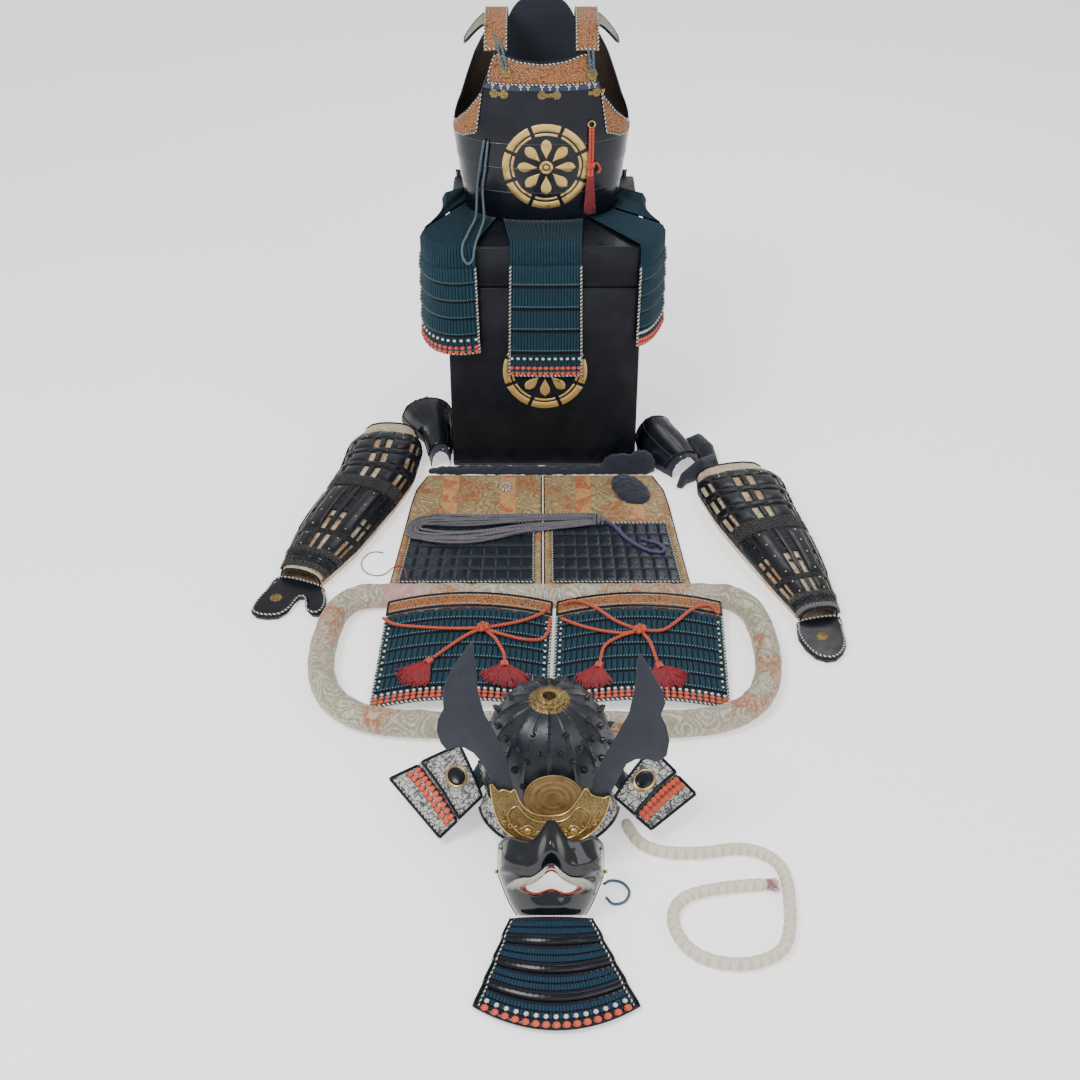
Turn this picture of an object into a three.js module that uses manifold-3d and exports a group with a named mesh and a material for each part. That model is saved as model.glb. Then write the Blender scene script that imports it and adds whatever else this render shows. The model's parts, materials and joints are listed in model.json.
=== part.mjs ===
// A samurai armour set, laid out on the floor in front of its armour chest.
// Units are millimetres. X is to the right, Y goes back and Z is up. The origin is on the floor
// under the middle of the layout. The cuirass stands on the chest, and everything else lies flat.
import * as THREE from 'three';
import { mergeVertices } from 'three/addons/utils/BufferGeometryUtils.js';
import Module from 'manifold-3d';

// Driving dimensions
const GAP = 0.4;              // air between two pieces that touch
const PLATE = 2.5;            // lacquered iron or rawhide plate
const CLOTH = 2.5;            // lined brocade or hemp, two layers and a core
const LACED = 4;              // a row of scales with its silk lacing
const FLOOR = 0.3;            // underside of what lies on the floor

const CHEST = { half: 206, front: 555, depth: 400, wall: 12, body: 442.6, top: 535 };
const DO = { x: -6, y: 816, bottom: 535.4, armpit: 712, squareness: 2.5 };
const SKIRT = { lie: 540, arch: 545, edge: 533, lacing: 497, rows: 5 };
const SODE = { front: -285, back: -2, half: 162, edge: 8, rise: 24, crown: 24 };
const BELT_RING = { radius: 26, z: 26.3, back: 32, front: -346 };
const KABUTO = { x: 6, y: -510, halfWidth: 112, halfLength: 119, rim: 74, top: 229 };
const HORN = { x: 6, y: -652, z: 106, lean: 26.5, thick: 2.5 };
const MASK = { x: 8, y: -766, z: 9, lean: 50, half: 82, depth: 78, height: 108 };
const BIB = { x: 15, top: -796.2, front: -975.3, half: 62, spread: 61, rise: 44 };
const WHITE_CORD = { radius: 10.5 };
const ORANGE_CORD = { radius: 3.2 };
const STRANDS = 9;            // strands in each tassel

const RAD = Math.PI / 180;
const vec = (x, y, z) => new THREE.Vector3(x, y, z);
const mix = (a, b, t) => a + (b - a) * t;
const clamp = (t, low, high) => Math.min(high, Math.max(low, t));
const power = (t, n) => Math.max(t, 0) ** n;

// Finishes
const finish = (color, roughness, metalness = 0) =>
  new THREE.MeshStandardMaterial({ color, roughness, metalness });
const BLACK = finish(0x14161c, 0.25);
const IRON = finish(0x2c3540, 0.45, 0.6);
const GILT = finish(0xa98a45, 0.4, 0.8);
const LEATHER = finish(0xb9763f, 0.7);
const WHITE_LEATHER = finish(0xc9c7bd, 0.7);
const LACE = finish(0x24485c, 0.8);
const BROCADE = finish(0xcdbd97, 0.8);
const NAVY = finish(0x1a2238, 0.9);
const CHAIN = finish(0x1d1f24, 0.5, 0.4);
const ORANGE = finish(0xd4502a, 0.75);
const CRIMSON = finish(0xb02336, 0.85);
const MAUVE = finish(0x837a80, 0.85);
const CREAM = finish(0xe3d9c4, 0.85);
const SLATE = finish(0x51697a, 0.8);

const armour = new THREE.Group();

// Turns the triangles outward if they face in, and merges the points that they share
function closed(points) {
  let volume = 0;
  for (let i = 0; i < points.length; i += 3) {
    volume += points[i].dot(points[i + 1].clone().cross(points[i + 2]));
  }
  const order = volume < 0 ? [0, 2, 1] : [0, 1, 2];
  const flat = [];
  for (let i = 0; i < points.length; i += 3) {
    for (const k of order) flat.push(points[i + k].x, points[i + k].y, points[i + k].z);
  }
  const geometry = new THREE.BufferGeometry();
  geometry.setAttribute('position', new THREE.Float32BufferAttribute(flat, 3));
  return mergeVertices(geometry, 1e-4);
}

function bare(geometry) {
  const copy = geometry.clone();
  copy.deleteAttribute('normal');
  copy.deleteAttribute('uv');
  return mergeVertices(copy, 1e-4);
}

function piece(name, geometry, material) {
  const mesh = new THREE.Mesh(geometry, material);
  mesh.name = name;
  armour.add(mesh);
}

// Boolean joins and cuts
const wasm = await Module();
wasm.setup();
function solid(geometry) {
  const merged = bare(geometry);
  return new wasm.Manifold(new wasm.Mesh({
    numProp: 3,
    vertProperties: new Float32Array(merged.attributes.position.array),
    triVerts: new Uint32Array(merged.index.array),
  }));
}

function fromSolid(manifold) {
  const mesh = manifold.getMesh();
  const geometry = new THREE.BufferGeometry();
  const count = mesh.vertProperties.length / mesh.numProp;
  const flat = new Float32Array(count * 3);
  for (let i = 0; i < count; i++) {
    for (let k = 0; k < 3; k++) flat[i * 3 + k] = mesh.vertProperties[i * mesh.numProp + k];
  }
  geometry.setAttribute('position', new THREE.BufferAttribute(flat, 3));
  geometry.setIndex(new THREE.BufferAttribute(new Uint32Array(mesh.triVerts), 1));
  return geometry;
}

function joined(geometries) {
  let sum = solid(geometries[0]);
  for (const next of geometries.slice(1)) sum = sum.add(solid(next));
  return fromSolid(sum);
}

// Keeps what lies above the floor
function aboveFloor(geometry, height = FLOOR) {
  const ground = new THREE.BoxGeometry(4000, 4000, 1000);
  ground.translate(0, 0, height - 500);
  return fromSolid(solid(geometry).subtract(solid(ground)));
}

// Smooth value of a column of a table, at a place along its key column
function along(table, key, column, at) {
  const last = table.length - 1;
  let i = 0;
  while (i < last - 1 && at > table[i + 1][key]) i++;
  const [a, b] = [table[i], table[i + 1]];
  const t = clamp((at - a[key]) / (b[key] - a[key]), 0, 1);
  const before = table[Math.max(i - 1, 0)];
  const after = table[Math.min(i + 2, last)];
  const span = b[key] - a[key];
  const slope = (p, q) => (q[key] === p[key] ? 0 : ((q[column] - p[column]) / (q[key] - p[key])) * span);
  const m0 = slope(before, b);
  const m1 = slope(a, after);
  const t2 = t * t;
  const t3 = t2 * t;
  return (2 * t3 - 3 * t2 + 1) * a[column] + (t3 - 2 * t2 + t) * m0
    + (-2 * t3 + 3 * t2) * b[column] + (t3 - t2) * m1;
}

// A closed wall of real thickness over a surface of outer points. across and up are the places of
// its columns and rows, relief raises the outer points alone, and keep leaves windows open.
function wall({ surface, across, up, thick, relief = () => 0, keep = () => true, ring = false }) {
  const step = 1e-3;
  const period = across[across.length - 1] - across[0];
  const outer = [];
  const inner = [];
  const columns = ring ? across.slice(0, -1) : across;
  for (const u of columns) {
    const outerColumn = [];
    const innerColumn = [];
    for (const v of up) {
      const base = surface(u, v);
      const du = period * step;
      const dv = (up[up.length - 1] - up[0]) * step;
      const alongU = surface(u + du, v).sub(surface(u - du, v));
      const alongV = surface(u, v + dv).sub(surface(u, v - dv));
      const normal = alongU.cross(alongV).normalize();
      outerColumn.push(base.clone().addScaledVector(normal, relief(u, v)));
      innerColumn.push(base.clone().addScaledVector(normal, -thick));
    }
    outer.push(outerColumn);
    inner.push(innerColumn);
  }
  const cells = across.length - 1;
  const rows = up.length - 1;
  const next = (i) => (ring ? (i + 1) % columns.length : i + 1);
  const held = (i, j) => {
    if (j < 0 || j >= rows) return false;
    if (ring) return keep((i + cells) % cells, j);
    return i >= 0 && i < cells && keep(i, j);
  };
  const points = [];
  const quad = (a, b, c, d) => points.push(a, b, c, a, c, d);
  for (let i = 0; i < cells; i++) {
    for (let j = 0; j < rows; j++) {
      if (!held(i, j)) continue;
      const n = next(i);
      quad(outer[i][j], outer[n][j], outer[n][j + 1], outer[i][j + 1]);
      quad(inner[i][j], inner[i][j + 1], inner[n][j + 1], inner[n][j]);
      if (!held(i, j - 1)) quad(outer[n][j], outer[i][j], inner[i][j], inner[n][j]);
      if (!held(i, j + 1)) quad(outer[i][j + 1], outer[n][j + 1], inner[n][j + 1], inner[i][j + 1]);
      if (!held(i - 1, j)) quad(outer[i][j], outer[i][j + 1], inner[i][j + 1], inner[i][j]);
      if (!held(i + 1, j)) quad(outer[n][j + 1], outer[n][j], inner[n][j], inner[n][j + 1]);
    }
  }
  return closed(points);
}

function steps(from, to, count) {
  return Array.from({ length: count + 1 }, (_, i) => mix(from, to, i / count));
}

// A round cord or tube along a route
function rod(route, radius, sides, count, centripetal = 'centripetal') {
  const shape = new THREE.Shape();
  for (let i = 0; i < sides; i++) {
    const angle = (i / sides) * 2 * Math.PI;
    const [x, y] = [radius * Math.cos(angle), radius * Math.sin(angle)];
    if (i === 0) shape.moveTo(x, y);
    else shape.lineTo(x, y);
  }
  const extrudePath = new THREE.CatmullRomCurve3(route.map((p) => vec(...p)), false, centripetal);
  return bare(new THREE.ExtrudeGeometry(shape, { steps: count, extrudePath, bevelEnabled: false }));
}

// Half sections, as fractions of the half width and of the height
const SLEEVE_SECTION = [
  { x: 1, z: 0.34 }, { x: 0.93, z: 0.64 }, { x: 0.72, z: 0.86 }, { x: 0.4, z: 0.97 }, { x: 0, z: 1 },
  { x: -0.4, z: 0.97 }, { x: -0.72, z: 0.86 }, { x: -0.93, z: 0.64 }, { x: -1, z: 0.34 },
  { x: -0.9, z: 0 }, { x: 0.9, z: 0 },
];
const BAND_SECTION = [
  { x: 1, z: 0.35 }, { x: 0.8, z: 0.82 }, { x: 0.3, z: 1 }, { x: -0.3, z: 1 },
  { x: -0.8, z: 0.82 }, { x: -1, z: 0.35 }, { x: -0.8, z: 0 }, { x: 0.8, z: 0 },
];

const ROUND_SECTION = [
  { x: 1, z: 0.5 }, { x: 0.86, z: 0.77 }, { x: 0.5, z: 0.95 }, { x: 0, z: 1 }, { x: -0.5, z: 0.95 },
  { x: -0.86, z: 0.77 }, { x: -1, z: 0.5 }, { x: -0.83, z: 0.18 }, { x: -0.45, z: 0 },
  { x: 0.45, z: 0 }, { x: 0.83, z: 0.18 },
];

// A soft band that lies along a route, with the width and height of each row
function band(rows, section = BAND_SECTION) {
  const rings = rows.map((row, i) => {
    const [a, b] = [rows[Math.max(i - 1, 0)], rows[Math.min(i + 1, rows.length - 1)]];
    const way = vec(b.x - a.x, b.y - a.y, 0).normalize();
    return section.map((p) => vec(
      row.x + way.y * p.x * row.w,
      row.y - way.x * p.x * row.w,
      row.z + p.z * row.h,
    ));
  });
  const points = [];
  const count = section.length;
  for (let i = 0; i < rings.length - 1; i++) {
    for (let k = 0; k < count; k++) {
      const n = (k + 1) % count;
      points.push(rings[i][k], rings[i + 1][k], rings[i + 1][n], rings[i][k], rings[i + 1][n], rings[i][n]);
    }
  }
  const [first, end] = [rings[0], rings[rings.length - 1]];
  for (let k = 1; k < count - 1; k++) {
    points.push(first[0], first[k], first[k + 1]);
    points.push(end[0], end[k + 1], end[k]);
  }
  return closed(points);
}

// Rounded heap of cloth, from overlapping lumps
function heap(lumps) {
  return aboveFloor(joined(lumps.map((lump) => {
    const ball = new THREE.SphereGeometry(1, 10, 7);
    ball.scale(lump.rx, lump.ry, lump.rz);
    ball.rotateZ((lump.turn ?? 0) * RAD);
    ball.translate(lump.x, lump.y, lump.z);
    return ball;
  })));
}

// Armour chest: a body with a cap lid
function box(x0, x1, y0, y1, z0, z1) {
  const geometry = new THREE.BoxGeometry(x1 - x0, y1 - y0, z1 - z0);
  geometry.translate((x0 + x1) / 2, (y0 + y1) / 2, (z0 + z1) / 2);
  return geometry;
}

function chest() {
  const { half, front, depth, wall: side, body, top } = CHEST;
  const back = front + depth;
  const shell = solid(box(-half, half, front, back, 0, body));
  const room = solid(box(-half + side, half - side, front + side, back - side, side, body + 50));
  piece('chest_body', fromSolid(shell.subtract(room)), BLACK);
  const lid = solid(box(-half, half, front, back, body + GAP, top));
  const under = solid(box(-half + side, half - side, front + side, back - side, body - 50, top - side));
  piece('chest_lid', fromSolid(lid.subtract(under)), BLACK);
}

// Cuirass. Angles go round from the front: 90 is the wearer's left side, on the right of the view.
const DO_LEVELS = [
  { z: 500, a: 162, b: 127 },
  { z: 535, a: 166, b: 130 },
  { z: 620, a: 177, b: 132 },
  { z: 712, a: 187, b: 134 },
  { z: 770, a: 176, b: 130 },
  { z: 830, a: 165, b: 125 },
  { z: 900, a: 153, b: 117 },
  { z: 960, a: 146, b: 112 },
];
const FRONT_TOP = [
  { angle: 0, z: 872 }, { angle: 13, z: 877 }, { angle: 25, z: 887 }, { angle: 32, z: 890 },
  { angle: 37, z: 846 }, { angle: 43, z: 802 }, { angle: 56, z: 764 }, { angle: 72, z: 734 },
  { angle: 89.9, z: 718 },
];
const BACK_TOP = [
  { angle: 90.1, z: 718 }, { angle: 106, z: 752 }, { angle: 123, z: 838 }, { angle: 140, z: 894 },
  { angle: 153, z: 899 }, { angle: 166, z: 901 }, { angle: 180, z: 901 },
];
const LAMES = [600, 653, 706];

function doPoint(angle, z, out = 0) {
  const a = along(DO_LEVELS, 'z', 'a', z) + out;
  const b = along(DO_LEVELS, 'z', 'b', z) + out;
  const [s, c] = [Math.sin(angle * RAD), Math.cos(angle * RAD)];
  const x = a * Math.sign(s) * power(Math.abs(s), 2 / DO.squareness);
  const y = -b * Math.sign(c) * power(Math.abs(c), 2 / DO.squareness);
  return vec(DO.x + x, DO.y + y, z);
}

// Depth of the front face at a place on it
function doFace(x, z, out = 0) {
  const a = along(DO_LEVELS, 'z', 'a', z) + out;
  const b = along(DO_LEVELS, 'z', 'b', z) + out;
  const side = Math.abs((x - DO.x) / a) ** DO.squareness;
  return DO.y - b * power(1 - side, 1 / DO.squareness);
}

// Exact value of a table at one of its own rows, or on the line between two
function straight(table, key, column, at) {
  let i = 0;
  while (i < table.length - 2 && at > table[i + 1][key]) i++;
  const [a, b] = [table[i], table[i + 1]];
  return mix(a[column], b[column], (at - a[key]) / (b[key] - a[key]));
}

// Rows of a plate: lame edges below the armpit, then three more up to its own top edge
function plateRows() {
  const rows = [{ z: DO.bottom, raise: 0 }];
  for (const z of LAMES) {
    rows.push({ z: z - 0.6, raise: 0 });
    rows.push({ z: z + 0.6, raise: 1.5 });
  }
  rows.push({ z: DO.armpit, raise: 1.2 });
  for (const part of [0.5, 1]) rows.push({ part, raise: 0 });
  return rows;
}

function doPlate(top, angles) {
  const rows = plateRows();
  const level = (v, angle) => {
    const i = clamp(Math.floor(v), 0, rows.length - 2);
    const height = (row) => row.z ?? mix(DO.armpit, top(angle), row.part);
    return mix(height(rows[i]), height(rows[i + 1]), v - i);
  };
  return wall({
    surface: (angle, v) => doPoint(angle, level(v, angle)),
    across: angles,
    up: rows.map((_, i) => i),
    thick: PLATE,
    relief: (angle, v) => rows[Math.round(v)].raise,
  });
}

function mirrored(angles, middle) {
  const far = angles.filter((angle) => angle !== middle).map((angle) => 2 * middle - angle);
  return [...angles, ...far].sort((p, q) => p - q);
}

const frontTop = (angle) => straight(FRONT_TOP, 'angle', 'z', Math.abs(angle));
const backTop = (angle) => straight(BACK_TOP, 'angle', 'z', angle > 180 ? 360 - angle : angle);

function cuirass() {
  const frontAngles = mirrored(FRONT_TOP.map((row) => row.angle), 0);
  const backAngles = mirrored(BACK_TOP.map((row) => row.angle), 180);
  piece('do_front', doPlate(frontTop, frontAngles), BLACK);
  piece('do_back', doPlate(backTop, backAngles), BLACK);
  // Printed leather over the top of the front plate
  const leather = 1.4;
  const bandBottom = 829;
  piece('muna_ita_leather', wall({
    surface: (angle, v) => doPoint(angle, mix(bandBottom, frontTop(angle) - 2, v), leather + GAP),
    across: [-36, -32, -25, -13, 0, 13, 25, 32, 36],
    up: [0, 0.5, 1],
    thick: leather,
  }), LEATHER);
  // Padded collar that stands inside the top of the back plate, with a round head
  const collar = { thick: 5, bottom: 790, straightTo: 905, crown: 940, fall: 46, reach: 24 };
  const collarTop = (angle) => collar.crown - collar.fall * (Math.abs(angle - 180) / collar.reach) ** 3;
  piece('collar', wall({
    surface: (angle, v) => {
      const z = mix(collar.bottom, collarTop(angle), v);
      const point = doPoint(angle, Math.min(z, collar.straightTo), -PLATE - 2.4);
      point.z = z;
      return point;
    },
    across: [156, 162, 170, 180, 190, 198, 204],
    up: steps(0, 1, 4),
    thick: collar.thick,
  }), NAVY);
}

// Shoulder straps, each with its lobed pad on the outer edge
const STRAP_PATH = [
  { t: 0, y: 707.6, z: 893.4 }, { t: 1, y: 724, z: 914 }, { t: 2, y: 758, z: 935 },
  { t: 3, y: 805, z: 944 }, { t: 4, y: 852, z: 940 }, { t: 5, y: 893, z: 925 }, { t: 6, y: 923.4, z: 905 },
];
function strap(name, side) {
  const size = { middle: 93, width: 46, thick: 5, padLength: 88, padY: 782, padReach: 46, padFall: 44 };
  const centre = DO.x + side * size.middle;
  const at = (t) => ({ y: along(STRAP_PATH, 't', 'y', t), z: along(STRAP_PATH, 't', 'z', t) });
  const leather = wall({
    surface: (u, t) => vec(centre + u * size.width / 2, at(t).y, at(t).z),
    across: [-1, 0, 1],
    up: steps(0, 6, 8),
    thick: size.thick,
  });
  const edge = centre + side * (size.width / 2 - 4);
  const pad = wall({
    surface: (u, v) => {
      const waist = 1 - 0.12 * Math.sin(Math.PI * v);
      const length = size.padLength * power(1 - power(0.93 * v, 3), 0.5) * waist;
      const x = edge + side * v * size.padReach;
      const y = size.padY - side * u * length / 2;
      return vec(x, y, 939 - size.padFall * power(v, 1.4));
    },
    across: steps(-1, 1, 5),
    up: steps(0, 1, 3),
    thick: size.thick - 0.6,
  });
  piece(name, joined([leather, pad]), LEATHER);
}

// Ring on the breast with its orange cord and knot, the tassel below it, and the slate side cord
function breastCords() {
  const place = { x: 98, ring: 746, knot: 660, head: 652.5 };
  const stand = 4.6;
  const ring = new THREE.TorusGeometry(7, 1.6, 5, 10);
  ring.rotateX(Math.PI / 2);
  ring.translate(place.x, doFace(place.x, place.ring) - stand, place.ring);
  const front = (x, z, out) => [x, doFace(x, z) - out, z];
  const strand = (dx) => rod([
    front(place.x + dx * 0.3, place.ring - 6, 5.6),
    front(place.x + dx, place.ring - 24, 7.5),
    front(place.x + dx, place.knot + 20, 7.5),
    front(place.x + dx * 0.4, place.knot, 8),
  ], 2.6, 8, 4);
  const loop = (side, reach, drop) => rod([
    front(place.x, place.knot, 8),
    front(place.x + side * reach * 0.6, place.knot + 3, 9),
    front(place.x + side * reach, place.knot - drop, 9),
    front(place.x + side * reach * 0.7, place.knot - drop - 8, 8),
  ], 2.4, 8, 4);
  const knot = new THREE.SphereGeometry(7, 8, 6);
  knot.translate(...front(place.x, place.knot, 9.6));
  const parts = [ring, strand(-3), strand(3), knot, loop(1, 20, 12)];
  piece('breast_ring_cord', joined(parts), ORANGE);
  const y = doFace(place.x, place.head) - 12;
  piece('breast_tassel', hangingTassel(vec(place.x - 1, y, place.head), 9, 104), CRIMSON);
  const slate = 2.4;
  const reach = (angle, z) => doPoint(angle, z, slate + 4.6).toArray();
  piece('side_cord', rod([
    reach(-33, 712), reach(-39, 650), reach(-45, 596), [-146, 676, 552.5], [-156, 608, 552.5],
    [-162, 566, 552.5], [-167, 540, 551.5], [-169, 526, 541], [-167, 520, 526], [-157, 519, 514],
    [-147, 520, 524], [-144, 526, 541], [-141, 541, 551.5], [-138, 566, 552.5], [-133, 608, 552.5],
    [-128, 668, 554], reach(-39, 596), reach(-34, 652), reach(-30, 711),
  ], slate, 8, 27), SLATE);
}

// Three-sided strand through two or three points
function strand(route, width) {
  const last = route.length - 1;
  const way = route[last].clone().sub(route[0]).normalize();
  const side = Math.abs(way.z) > 0.8 ? vec(1, 0, 0) : vec(0, 0, 1);
  const a = way.clone().cross(side).normalize();
  const b = way.clone().cross(a).normalize();
  const ringAt = (point, scale) => [0, 1, 2].map((k) => {
    const angle = (k / 3) * 2 * Math.PI;
    const spread = a.clone().multiplyScalar(Math.cos(angle)).addScaledVector(b, Math.sin(angle));
    return point.clone().addScaledVector(spread, (width / 2) * scale);
  });
  const rings = route.map((point, i) => ringAt(point, i === last ? 0.6 : 1));
  const points = [];
  for (let i = 0; i < last; i++) {
    for (let k = 0; k < 3; k++) {
      const n = (k + 1) % 3;
      points.push(rings[i][k], rings[i][n], rings[i + 1][n], rings[i][k], rings[i + 1][n], rings[i + 1][k]);
    }
  }
  points.push(rings[0][0], rings[0][2], rings[0][1], rings[last][0], rings[last][1], rings[last][2]);
  return closed(points);
}

function hangingTassel(top, radius, length) {
  const head = new THREE.CylinderGeometry(radius * 0.45, radius * 0.85, 16, 10);
  head.rotateX(Math.PI / 2);
  head.translate(top.x, top.y, top.z - 8);
  const parts = [head];
  const golden = 137.5 * RAD;
  for (let i = 0; i < STRANDS; i++) {
    const r = power((i + 0.5) / STRANDS, 0.5);
    const [c, s] = [Math.cos(i * golden), Math.sin(i * golden)];
    const start = vec(top.x + c * r * radius * 0.6, top.y + s * r * radius * 0.6, top.z - 14);
    const half = vec(top.x + c * r * radius * 0.9, top.y + s * r * radius * 0.9, top.z - length * 0.5);
    const end = vec(top.x + c * r * radius, top.y + s * r * radius, top.z - length);
    parts.push(strand([start, half, end], 2));
  }
  return joined(parts);
}

// Kusazuri: laced skirts that lie over the lid's edge and hang outside the chest.
// from and to are the angles of the top edge on the cuirass; e is the bend at the lid's edge.
const KUSAZURI = [
  { name: 'kusazuri_front', from: -24, to: 27, e: [[-72, 549], [4, 547], [78, 549]], bottom: 238 },
  { name: 'kusazuri_front_left', from: -80, to: -30, e: [[-262, 618], [-222, 541], [-143, 540]],
    bottom: 300 },
  { name: 'kusazuri_front_right', from: 33, to: 64, e: [[200, 541], [231, 572], [258, 648]], bottom: 316 },
  { name: 'kusazuri_side_right', from: 68, to: 118, e: [[252, 668], [226, 745], [226, 822]], bottom: 310 },
  { name: 'kusazuri_side_left', from: -125, to: -84, e: [[-226, 826], [-226, 742], [-258, 640]],
    bottom: 310 },
  { name: 'kusazuri_back_right', from: 124, to: 172, e: [[190, 972], [118, 966], [30, 964]], bottom: 290 },
  { name: 'kusazuri_back_left', from: -173, to: -130, e: [[-42, 964], [-130, 966], [-202, 972]],
    bottom: 290 },
];

function kusazuri(row) {
  const bend = (u) => {
    const weights = [(2 * u - 1) * (u - 1), 4 * u * (1 - u), u * (2 * u - 1)];
    const [x, y] = [0, 1].map((k) => weights.reduce((sum, w, i) => sum + w * row.e[i][k], 0));
    return vec(x, y, SKIRT.edge);
  };
  const middle = bend(0.5);
  const down = (u, z) => {
    const flare = 1 + 0.07 * (SKIRT.edge - z) / (SKIRT.edge - row.bottom);
    const point = bend(u);
    return vec(mix(middle.x, point.x, flare), mix(middle.y, point.y, flare), z);
  };
  const outward = (u) => {
    const way = bend(u + 0.01).sub(bend(u - 0.01));
    return vec(way.y, -way.x, 0).normalize();
  };
  const rows = [
    { at: (u) => doPoint(mix(row.from, row.to, u), SKIRT.lie, 2.3) },
    { at: (u) => bend(u).addScaledVector(outward(u), -7).setZ(SKIRT.arch) },
    { at: (u) => bend(u) },
    { at: (u) => down(u, SKIRT.lacing) },
  ];
  const raises = [0, 0.5, 0.5, 0.4];
  const drop = (SKIRT.lacing - row.bottom) / SKIRT.rows;
  for (let k = 0; k < SKIRT.rows; k++) {
    const top = SKIRT.lacing - k * drop;
    if (k > 0) {
      rows.push({ at: (u) => down(u, top) });
      raises.push(0.4);
    }
    rows.push({ at: (u) => down(u, top - drop * 0.8) });
    raises.push(3);
  }
  rows.push({ at: (u) => down(u, row.bottom) });
  raises.push(2);
  const place = (u, v) => {
    const i = clamp(Math.floor(v), 0, rows.length - 2);
    return rows[i].at(u).lerp(rows[i + 1].at(u), v - i);
  };
  // v runs downward here, so the columns run from right to left
  return wall({
    surface: (u, v) => place(1 - u, v),
    across: steps(0, 1, 3),
    up: rows.map((_, i) => i),
    thick: LACED,
    relief: (u, v) => raises[Math.round(v)],
  });
}

// Armoured sleeves, laid flat, from the shoulder opening down to the wrist
const KOTE_LEFT = [
  { s: 0, x: -358, y: 674, w: 58, h: 44 },
  { s: 1, x: -361, y: 575, w: 84, h: 58 },
  { s: 2, x: -370, y: 470, w: 84, h: 62 },
  { s: 3, x: -398, y: 375, w: 80, h: 58 },
  { s: 4, x: -430, y: 285, w: 76, h: 56 },
  { s: 5, x: -453, y: 215, w: 70, h: 52 },
  { s: 6, x: -474, y: 155, w: 58, h: 46 },
  { s: 7, x: -493, y: 100, w: 44, h: 38 },
];
const KOTE_RIGHT = [
  { s: 0, x: 414, y: 494, w: 76, h: 46 },
  { s: 1, x: 430, y: 420, w: 96, h: 58 },
  { s: 2, x: 449, y: 315, w: 88, h: 62 },
  { s: 3, x: 477, y: 215, w: 78, h: 58 },
  { s: 4, x: 497, y: 140, w: 68, h: 54 },
  { s: 5, x: 516, y: 65, w: 56, h: 48 },
  { s: 6, x: 529, y: 15, w: 46, h: 42 },
  { s: 7, x: 536, y: -22, w: 38, h: 36 },
];

function sleevePoint(table, q, s, out = 0) {
  const count = SLEEVE_SECTION.length;
  const i = Math.floor(q);
  const at = (k) => SLEEVE_SECTION[((k % count) + count) % count];
  const [a, b] = [at(i), at(i + 1)];
  const w = straight(table, 's', 'w', s);
  const h = straight(table, 's', 'h', s);
  const flat = { x: mix(a.x, b.x, q - i) * w, z: mix(a.z, b.z, q - i) * h };
  const tangent = { x: (b.x - a.x) * w, z: (b.z - a.z) * h };
  const length = Math.hypot(tangent.x, tangent.z);
  const [x, z] = [flat.x + (tangent.z / length) * out, flat.z - (tangent.x / length) * out];
  const ahead = { x: along(table, 's', 'x', s + 0.01), y: along(table, 's', 'y', s + 0.01) };
  const here = { x: along(table, 's', 'x', s - 0.01), y: along(table, 's', 'y', s - 0.01) };
  const way = vec(ahead.x - here.x, ahead.y - here.y, 0).normalize();
  const centre = vec(straight(table, 's', 'x', s), straight(table, 's', 'y', s), 0);
  return vec(centre.x - way.y * x, centre.y + way.x * x, FLOOR + z);
}

// Rows of the armour on a sleeve: a top plate, the lattice of small plates, the mail over the
// elbow, the long splints and the mail at the wrist. Even rows are bars, odd rows have windows.
const KOTE_ROWS = [
  { s: 0.6, open: false }, { s: 1, open: true }, { s: 1.4, open: false }, { s: 1.6, open: true },
  { s: 2, open: false }, { s: 2.2, open: true }, { s: 2.6, open: false }, { s: 3, open: false },
  { s: 4, open: true }, { s: 4.9, open: false }, { s: 5.1, open: true }, { s: 5.9, open: false },
  { s: 6.1, open: false }, { s: 6.8, open: false },
];
const KOTE_COLUMNS = [0.5, 1, 2, 3.4, 4.6, 6, 7, 7.5];

function kote(name, table) {
  piece(name + '_cloth', wall({
    surface: (q, s) => sleevePoint(table, q, s),
    across: steps(0, SLEEVE_SECTION.length, SLEEVE_SECTION.length),
    up: steps(0, 7, 7),
    thick: CLOTH,
    ring: true,
  }), BROCADE);
  const plate = 2;
  piece(name + '_plates', wall({
    surface: (q, s) => sleevePoint(table, q, s, plate + 2.8),
    across: KOTE_COLUMNS,
    up: KOTE_ROWS.map((row) => row.s),
    thick: plate,
    keep: (i, j) => !(i % 2 === 1 && KOTE_ROWS[j].open),
  }), CHAIN);
}

// Hand guards: a domed plate with a thumb, from its outline seen from above
const HAND_LEFT = [
  [-534.8, 113.2], [-560, 66], [-574, 30], [-578, 2], [-566, -12], [-545, -17], [-522, -14], [-506, 4],
  [-498, 32], [-488, 48], [-477, 48], [-469, 32], [-468, 10], [-458, -6], [-444, -8], [-434, 8],
  [-433, 36], [-440, 62], [-451.3, 84.8],
];
const HAND_RIGHT = [
  [498.9, -29.8], [490, -50], [488, -80], [497, -112], [513, -138], [533, -148], [552, -144], [569, -124],
  [578, -96], [578, -60], [573.4, -15.8],
];
function handGuard(name, outline) {
  const shape = new THREE.Shape(outline.map(([x, y]) => new THREE.Vector2(x, y)));
  const size = { depth: 9, bevel: 3 };
  const geometry = new THREE.ExtrudeGeometry(shape, {
    depth: size.depth, bevelEnabled: true, bevelSize: size.bevel, bevelThickness: size.bevel,
    bevelSegments: 1, bevelOffset: -size.bevel, steps: 1,
  });
  geometry.translate(0, 0, size.bevel + FLOOR);
  piece(name, bare(geometry), BLACK);
}

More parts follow.
